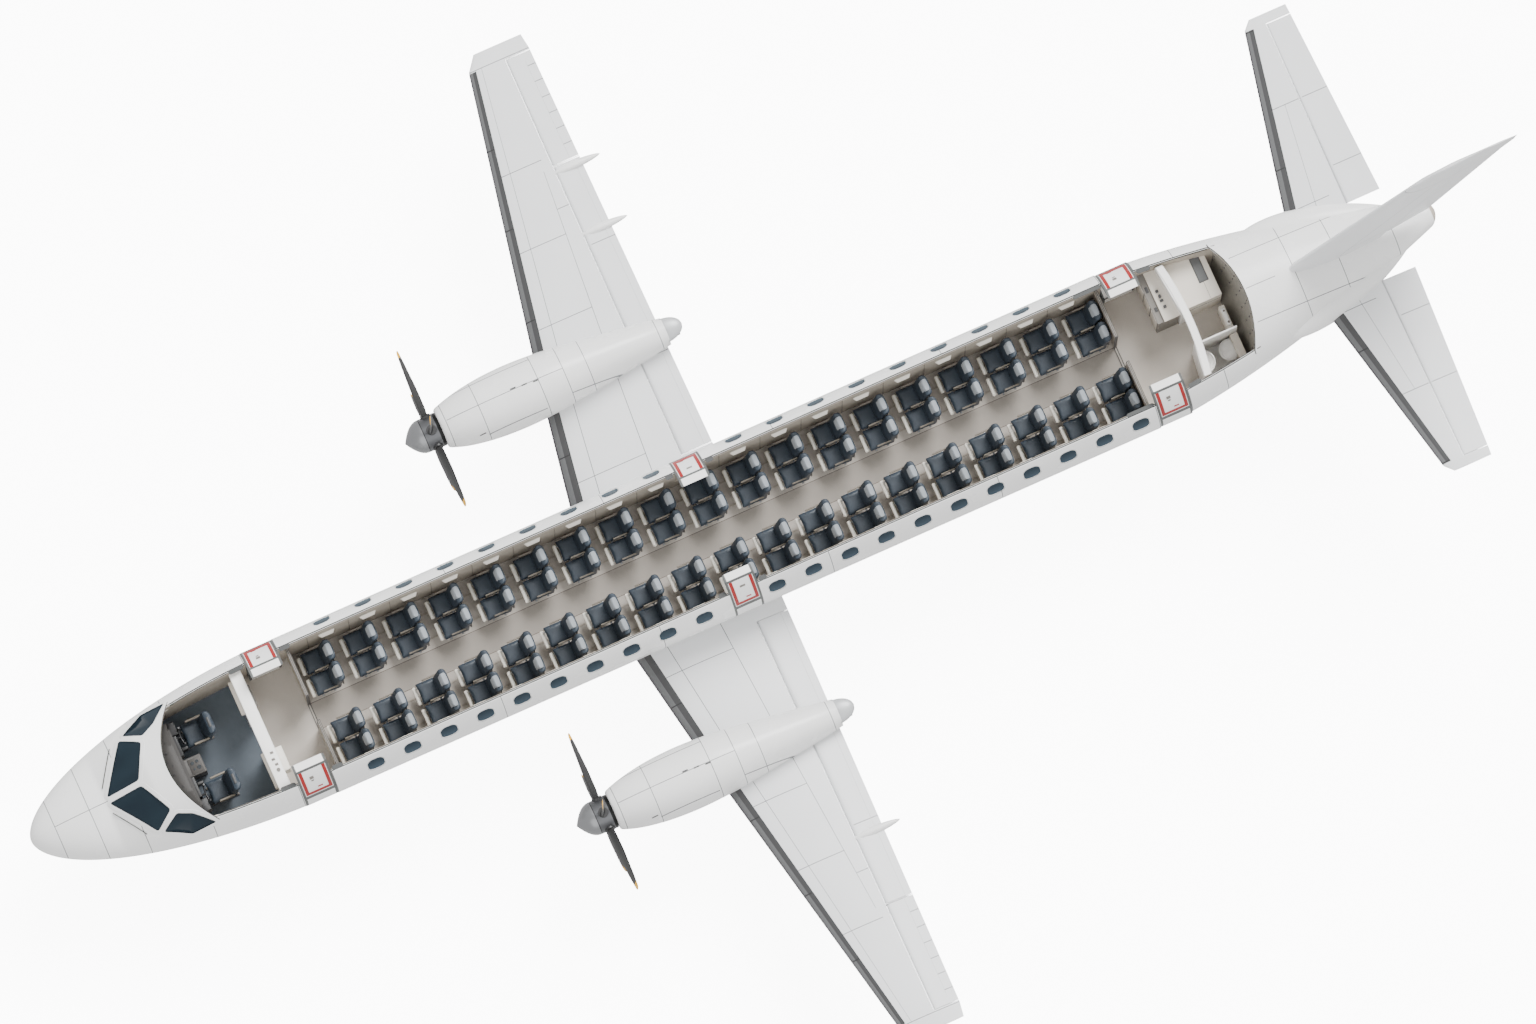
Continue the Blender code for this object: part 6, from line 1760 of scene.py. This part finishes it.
# where the opening in the arch ends on each side
ARCH_WAY = {1: 0.42, -1: 0.15}
arch_z = np.linspace(LOW, ARCH_TOP, 30)
arch_y = wall_line(np.full(30, ARCH_X[0]), arch_z)
end_y = float(wall_line([ARCH_X[0]], [ARCH_TOP])[0])
arch = [upright(ARCH_X, arch_y, arch_z, way, sign, ARCH_BOW, end_y) for sign, way in ARCH_WAY.items()]
piece("arch_walls", merged(arch), white_moulding, replaces=["aft_arch"])
u = np.linspace(-1, 1, 41)
# (x from the middle, height above the top) round the cap
CAP = ((-0.070, 0.0), (-0.060, 0.018), (0.060, 0.018), (0.070, 0.0), (0.070, -0.05), (-0.070, -0.05))
cap = np.stack([xyz(-7.87 - ARCH_BOW * (1 - u ** 2) + dx, end_y * u, ARCH_TOP + dz + AXIS_Z)
                for dx, dz in CAP], 1)
piece("arch_cap", ring_solid(cap), white_moulding)

# %% [markdown]
# ## Stowage and lavatory
# The stowage is one cabinet with a grey display let into its top. The pan, its lid and the washbasin are
# glazed ceramic, an even gloss white, and the counter behind the pan is a laminate with small specks.

# %% Stowage and lavatory finishes
screen_film = moulded("grey_screen_film", "#4a4b4b", "#5a5b5b", 0.35, 0.01, 0.1)
ceramic = moulded("white_glazed_pan", "#f1f0ee", "#f6f5f3", 0.16, 0.05, 0.02, **{"Coat Weight": 0.5})
speckled, tree, shader = material("speckled_counter", "#cfc8bc", 0.4)
place = coordinates(tree)[1]
spots = add(tree, "ShaderNodeTexVoronoi", {"Vector": place, "Scale": 110.0}).outputs[0]
specks = add(tree, "ShaderNodeMapRange", {0: spots, 1: 0.10, 2: 0.22}, clamp=True).outputs[0]
tree.links.new(over(tree, specks, linear("#8f887c"), linear("#d6cfc3")), shader.inputs["Base Color"])
bumped(tree, shader, spots, 0.1, 0.0005)

# %% Stowage and lavatory
TOILET_X, TOILET_Y, STOWAGE_TOP = -8.48, 0.66, 0.45
seams = [cabin_bar((-8.50, -8.494), (-1.14, -0.21), around(STOWAGE_TOP, 0.002), 0.001, 1),
         cabin_bar((-8.69, -7.96), (-0.212, -0.195), (0.10, 0.106), 0.002, 1)]
knobs = [post(-8.648, y, AXIS_Z - 0.005, AXIS_Z + 0.012, radius, sides=20)
         for y, radius in ((0.03, 0.018), (0.24, 0.022))]
# (height above the axis, radius) of the pan and its lid
PAN = ((LOW, 0.13), (-0.50, 0.12), (-0.34, 0.16), (-0.27, 0.188), (-0.245, 0.19), (-0.235, 0.17),
       (-0.235, 0.02))
LID = ((-0.238, 0.02), (-0.238, 0.150), (-0.228, 0.165), (-0.214, 0.166), (-0.206, 0.155), (-0.204, 0.02))
pan_at, lid_at = ((TOILET_X - back, TOILET_Y, AXIS_Z) for back in (0, 0.015))
a = np.linspace(-np.pi / 2, np.pi / 2, 31)
# (share of the outline, height above the axis) from the foot over the rim into the bowl
BOWL = ((0.90, -0.14), (1.0, 0.06), (0.93, 0.064), (0.86, 0.015), (0.55, -0.015))
bowl = [xyz(-7.945 - 0.215 * np.cos(a) * s, 0.72 + 0.21 * np.sin(a) * s, z + AXIS_Z) for s, z in BOWL]
frame_z, screen_z = (STOWAGE_TOP - 0.004, STOWAGE_TOP + 0.010), (STOWAGE_TOP, STOWAGE_TOP + 0.014)
# (name, shape, finish) of the cabinet, of the screen in its top, and of the lavatory and its neighbours
STOWAGE = (("stowage_cabinet", room_block((-8.70, -7.945), 0.20, -1, LOW, STOWAGE_TOP), beige_unit),
           ("stowage_seams", merged(seams), grey_unit))
SCREEN = (("stowage_screen_frame", cabin_bar((-8.60, -8.42), (-0.98, -0.52), frame_z, 0.006), dark_plastic),
          ("stowage_screen", cabin_bar((-8.585, -8.435), (-0.965, -0.535), screen_z, 0.003, 1), screen_film))
LAVATORY = (
    ("toilet_pan", turned(PAN, pan_at, "z", 56), ceramic),
    ("toilet_lid", turned(LID, lid_at, "z", 56), ceramic),
    ("lavatory_partition", cabin_bar((-8.70, -7.95), (0.42, 0.45), (LOW, 0.55), 0.006), white_moulding),
    ("lavatory_counter", room_block((-8.70, -8.56), 0.46, 1, LOW, 0.0), speckled),
    ("lavatory_floor", room_block((-8.70, -7.945), 0.44, 1, LOW, LOW + 0.02, 2), white_moulding),
    ("toilet_back", cabin_bar((-8.66, -8.56), around(TOILET_Y, 0.09), (LOW, -0.24), 0.02, 3), white_moulding),
    ("washbasin", ring_solid(np.stack(bowl)), ceramic),
    ("service_counter", cabin_bar((-8.70, -8.59), (-0.08, 0.36), (LOW, -0.05), 0.015, 3), pale_trim),
    ("service_unit", cabin_bar((-8.685, -8.61), (-0.02, 0.30), (-0.06, 0.0), 0.018, 3), white_moulding))
STANDS_FOR = {"stowage_cabinet": ["stowage"], "toilet_pan": ["lavatory"]}
for rows, slot in ((STOWAGE, "lining_plastic"), (SCREEN, "panel_plastic"), (LAVATORY, "lining_plastic")):
    for name, shape, finish in rows:
        piece(name, shape, finish, replaces=STANDS_FOR.get(name, ()))
piece("service_knobs", merged(knobs), grey_unit)

# %% [markdown]
# ## Pressure bulkhead
# The pressure bulkhead is a shallow dished wall that closes the cabin, with rivet heads. Its foot stands
# further forward than its top, and a quarter of a sine wave leads from one to the other.

# %% Pressure bulkhead
dome_metal = moulded("primed_pressure_bulkhead", "#8a867e", "#949088", 0.55, 0.01, 0.15)
BULKHEAD_FOOT, DOME_X, DOME_DEPTH, DOME_SHEET = -8.72, -9.03, 0.23, 0.028
y, z = np.linspace(-1, 1, 33), np.linspace(LOW, 0.80, 18)
yy, zz = np.meshgrid(y, z)


def dome_x(across, height):
    """x = foot + (dome - foot) sin(pi/2 share of the height), dome = DOME_X + DOME_DEPTH min(1, |y|)^2."""
    dome = DOME_X + DOME_DEPTH * np.minimum(1, abs(across)) ** 2
    return BULKHEAD_FOOT + (dome - BULKHEAD_FOOT) * np.sin(np.pi / 2 * (height - z[0]) / (z[-1] - z[0]))


dome_y = yy * wall_line(np.full(zz.size, -8.9), zz.ravel(), 0.11).reshape(zz.shape)
front = xyz(dome_x(dome_y, zz), dome_y, zz + AXIS_Z)
back_face = front[:, ::-1] - [DOME_SHEET, 0, 0]
piece("dished_bulkhead", ring_solid(np.concatenate([front, back_face], 1)), dome_metal,
      replaces=["pressure_bulkhead"])
rivets = [bar((dome_x(y, z) - 0.004, y, z + AXIS_Z), (dome_x(y, z) + 0.012, y, z + AXIS_Z), 0.016, sides=14)
          for y in (-0.85, -0.6, -0.36, -0.12, 0.12, 0.36, 0.6, 0.85) for z in (0.15, 0.45, 0.72)]
piece("bulkhead_bolts", merged(rivets), dark_plastic)

# %% [markdown]
# ## Wipers
# Two black wipers lie along the lower edges of the front panes.

# %% Wipers
wipers = []
t = np.linspace(0, 1, 14)
for sign in (1, -1):
    line = on_crown(12.52 - 0.39 * t, sign * (0.23 + 0.58 * t)) + [0, 0, 0.018]
    wipers += [bar(a, b + (b - a) * 0.05, 0.008, sides=10) for a, b in zip(line[:-1], line[1:])]
piece("wipers", merged(wipers), black_plastic)

# %% [markdown]
# ## Passenger seats
# One seat is made once and copied to every place. Its cushion and its back are leather over foam: each
# starts as a closed grid of flattened rings, and is then inflated by a short cloth simulation, so that the
# leather pulls into soft creases at the seams. The rings follow a superellipse,
# x = a sgn(cos t) |cos t|^n and y = b sgn(sin t) |sin t|^n, which is a rectangle with round corners.

# %% Leather and seat frames
slate_leather, tree, shader, place, noise = mottled("slate_blue_leather", 5.0, "#252e37", "#303b46", 0.55,
                                                    IOR=1.48, **{"Coat Weight": 0.08})
pores = add(tree, "ShaderNodeTexVoronoi", {"Vector": place, "Scale": 520.0}).outputs[0]
roughened(tree, shader, noise, 0.48, 0.64)
bumped(tree, shader, pores, 0.25, 0.0006)

cover_cloth, tree, shader, place, _ = mottled("pale_grey_headrest_cloth", 8.0, "#80868c", "#90969b", 0.85,
                                              **{"Sheen Weight": 0.25})
weave = add(tree, "ShaderNodeTexWave", {"Vector": place, "Scale": 160.0, "Distortion": 1.5})
bumped(tree, shader, weave.outputs[0], 0.3, 0.0006)

armrest_beige = moulded("beige_armrest_polymer", "#6c665b", "#777166", 0.5, 0.002, 0.1)
cream_strip = moulded("cream_tray_moulding", "#e2ddd1", "#ebe7dc", 0.42, 0.002, 0.08)
seat_alloy = moulded("seat_frame_alloy", "#9b9d9f", "#a8aaac", 0.4, 0.004, 0.1, Metallic=0.8)

# %% One seat
SEAT_ROWS, FIRST_ROW_X, SEAT_PITCH, SEAT_CENTRE_Y, SEAT_HALF = 19, 8.19, 0.808, 0.645, 0.205
SEAT_BLOCKS = (("front", 0, 10), ("rear", 10, SEAT_ROWS))
PUFF, COVER_CLEAR = 0.008, 0.013


def superellipse(count, power):
    t = np.linspace(0, 2 * np.pi, count, endpoint=False)
    bend = lambda value: np.sign(value) * abs(value) ** power
    return bend(np.cos(t)), bend(np.sin(t))


def cushion_rings():
    """The seat cushion about its row's origin: rings across y, deep at the front, with rounded sides."""
    u = np.linspace(-1, 1, 15)
    y = 0.187 * np.sign(u) * abs(u) ** 0.8
    fat = (1 - abs(u) ** 6 * 0.55)[:, None]
    a, b = superellipse(28, 0.62)
    x = 0.065 + 0.185 * a[None, :] * np.ones_like(fat)
    z = -0.275 + 0.072 * b[None, :] * fat + 0.018 * (x - 0.065) / 0.185
    return xyz(x, y[:, None], z)


def back_curve(v):
    """Height, lean, rounding at the top and thickness of a seat's back at the shares v of its height."""
    top = np.sqrt(np.clip(1 - ((v - 0.90) / 0.105).clip(0, 1) ** 2, 0.05, 1))
    return -0.30 + 0.70 * v, -0.135 - 0.115 * v ** 1.1, top, (0.068 - 0.010 * v) * np.where(v > 0.9, top, 1)


def back_rings():
    """The seat back: rings that lean back, bulge at the lumbar and curl forward at both ears."""
    v = np.linspace(0, 1, 26)
    z, lean, top, thick = back_curve(v)
    half = 0.196 * (1 - 0.03 * v) * np.where(v > 0.9, 0.88 + 0.12 * top, 1)
    a, b = superellipse(48, 0.40)
    ear = (0.030 * np.clip(v * 1.6, 0, 1))[:, None] * abs(a) ** 5
    lumbar = (0.018 * np.sin(np.pi * np.clip(v * 1.4, 0, 1)))[:, None] * (1 - a ** 2) * (b > 0)
    return xyz(lean[:, None] + thick[:, None] * b + ear + lumbar, half[:, None] * a, z[:, None])


def points_of(obj):
    points = np.empty(len(obj.data.vertices) * 3)
    obj.data.vertices.foreach_get("co", points)
    return points.reshape(-1, 3)


def inflate(name, grid, low, high, faces_each):
    """A closed grid of leather blown up by cloth pressure, thinned, and kept between two corners.

    No point moves by more than PUFF, and about faces_each triangles stay.
    """
    obj = bpy.data.objects.new(name, mesh_of(name, ring_solid(grid)))
    bpy.context.collection.objects.link(obj)
    remesh = obj.modifiers.new("even", "REMESH")
    remesh.mode, remesh.voxel_size = "VOXEL", 0.009
    applied(obj, "even")
    before = points_of(obj)
    cloth = obj.modifiers.new("leather", "CLOTH")
    made = cloth.settings
    made.quality, made.mass = 4, 0.4
    made.tension_stiffness = made.compression_stiffness = 12
    made.shear_stiffness, made.bending_stiffness = 6, 1.5
    made.use_pressure, made.uniform_pressure_force = True, 4.0
    made.shrink_min = -0.035
    made.effector_weights.gravity = 0.0
    for at in range(1, 21):
        bpy.context.scene.frame_set(at)
        bpy.context.view_layer.update()
    applied(obj, "leather")
    bpy.context.scene.frame_set(1)
    step = points_of(obj) - before
    far = np.maximum(np.linalg.norm(step, axis=1, keepdims=True), 1e-9)
    obj.data.vertices.foreach_set("co", (before + step * np.minimum(1, PUFF / far)).ravel())
    thin = obj.modifiers.new("thin", "DECIMATE")
    thin.ratio = min(1.0, faces_each / (2 * len(obj.data.polygons)))
    applied(obj, "thin")
    shape = np.clip(points_of(obj), low, high), [list(polygon.vertices) for polygon in obj.data.polygons]
    bpy.data.objects.remove(obj)
    return shape


cushion = inflate("cushion", cushion_rings(), (-0.13, -0.198, -0.36), (0.262, 0.198, -0.175), 1100)
back_pad = inflate("back", back_rings(), (-0.335, -0.198, -0.34), (-0.04, 0.198, 0.425), 1700)
print("cushion", len(cushion[1]), "back", len(back_pad[1]), "faces each")

# %% [markdown]
# ## Headrest covers, armrests and frames
# A cloth cover lies over the top of each back. It is the back's own rings between two heights, grown by a
# few millimetres and cut short at the ears. Tray mouldings, armrests, legs and floor rails repeat with it.

# %% Covers and frames
def cover_rings():
    """A shallow sleeve over the middle of the back's top: the back's own curve, moved out and up a little."""
    v = np.linspace(0.70, 0.985, 14)
    z, lean, top, thick = back_curve(v)
    half = 0.108 * np.where(v > 0.9, 0.9 + 0.1 * top, 1)
    a, b = superellipse(32, 0.5)
    x = lean[:, None] + (thick + COVER_CLEAR)[:, None] * np.where(b < 0, 0.6 * b, b) + 0.006 * abs(a) ** 3
    return xyz(x, half[:, None] * a, (z + 1.6 * COVER_CLEAR)[:, None])


cover = ring_solid(cover_rings())
tray = rounded_bar((0.262, 0.338), (-0.165, 0.165), (-0.40, -0.335), 0.026, 4)
tray_arms = [bar((0.05, y, -0.36), (0.28, y, -0.37), 0.012, sides=10) for y in (0.12, -0.12)]
spar = [pin(x, 0, -0.375, SEAT_HALF, 0.020, sides=16) for x in (-0.07, 0.15)]
piping = pin(0.13, 0, -0.198, 0.172, 0.006, sides=8)
back_shell = rounded_bar((-0.262, -0.232), (-0.165, 0.165), (-0.30, 0.22), 0.012, 2)
arms = [rounded_bar((-0.14, 0.13), around(y, 0.014), (-0.045, 0.002), 0.012, 3) for y in (-0.388, 0, 0.388)]
legs = []
for y in (-0.22, 0.22):
    legs.append(bar((0.13, y, -0.375), (0.17, y, FLOOR_Z + 0.02), 0.018, sides=14))
    legs.append(bar((-0.05, y, -0.375), (-0.20, y, FLOOR_Z + 0.02), 0.018, sides=14))
    legs.append(rounded_bar((-0.24, 0.20), around(y, 0.02), (FLOOR_Z + 0.012, FLOOR_Z + 0.032), 0.006, 1))
# name: (shapes that repeat with each seat, shapes that repeat with each pair of seats, finish, slot)
SEAT_PARTS = {
    "headrest_covers": ([cover], [], cover_cloth, "seat_leather"),
    "seat_trays": ([tray], [], cream_strip, "panel_plastic"),
    "armrests": ([], arms, armrest_beige, "panel_plastic"),
    "seat_frames": ([*spar, *tray_arms], legs, seat_alloy, "seat_leather"),
    "seat_shells": ([back_shell], [], dark_plastic, "seat_leather"),
    "seat_piping": ([piping], [], black_plastic, "seat_leather")}
for side, sign in SIDES:
    for place_name, first, end in SEAT_BLOCKS:
        rows = [(x, sign * SEAT_CENTRE_Y, AXIS_Z) for x in FIRST_ROW_X - SEAT_PITCH * np.arange(first, end)]
        origins = [(x, y + s * SEAT_HALF, z) for x, y, z in rows for s in (1, -1)]
        name = f"{side}_{place_name}"
        pads = merged([moved(merged([cushion, back_pad]), at) for at in origins])
        leather = piece(f"seat_leather_{name}", pads, slate_leather,
                        replaces=[f"seats_{name}"])
        for part, (single, paired, finish, slot) in SEAT_PARTS.items():
            shapes = [moved(shape, at) for shape in paired for at in rows]
            shapes += [moved(shape, at) for shape in single for at in origins]
            piece(f"{part}_{name}", merged(shapes), finish)
    track_x = (FIRST_ROW_X - SEAT_PITCH * (SEAT_ROWS - 1) - 0.25, FIRST_ROW_X + 0.30)
    tracks = [rounded_bar(track_x, around(y, 0.014), (FLOOR + 0.008, FLOOR + 0.014), 0.002, 1)
              for y in around(sign * SEAT_CENTRE_Y, 0.22)]
    piece(f"seat_tracks_{side}", merged(tracks), trim_panel)

# %% [markdown]
# ## Pilot seats
# The two pilot seats are the same padded forms, a little wider, on a boxed base, with armrests at both sides.

# %% Pilot seats
PILOT_X, PILOT_Y, WIDER = 10.6, 0.54, np.array([1.0, 1.10, 1.0])
low_back = (back_pad[0] * (1, 1, 0.86), back_pad[1])
for side, sign in SIDES:
    centre = np.array([PILOT_X, sign * PILOT_Y, AXIS_Z])
    pads = [(points * WIDER + centre, faces) for points, faces in (cushion, low_back)]
    leather = piece(f"pilot_leather_{side}", merged(pads), slate_leather,
                    replaces=[f"pilot_seat_{side}"])
    rests = [rounded_bar((-0.15, 0.14), around(y, 0.020), (-0.05, 0.0), 0.016, 3) for y in (-0.215, 0.215)]
    piece(f"pilot_armrests_{side}", moved(merged(rests), centre), armrest_beige)
    base = [rounded_bar((-0.13, 0.15), (-0.17, 0.17), (FLOOR_Z + 0.05, -0.345), 0.02, 3),
            *[rounded_bar((-0.24, 0.26), around(y, 0.02), (FLOOR_Z + 0.006, FLOOR_Z + 0.05), 0.008, 2)
              for y in (-0.15, 0.15)]]
    piece(f"pilot_base_{side}", moved(merged(base), centre), grey_unit)
    head = rounded_bar((-0.265, -0.205), (-0.10, 0.10), (0.19, 0.345), 0.028, 4)
    piece(f"pilot_headrest_{side}", moved(head, centre), dark_plastic)
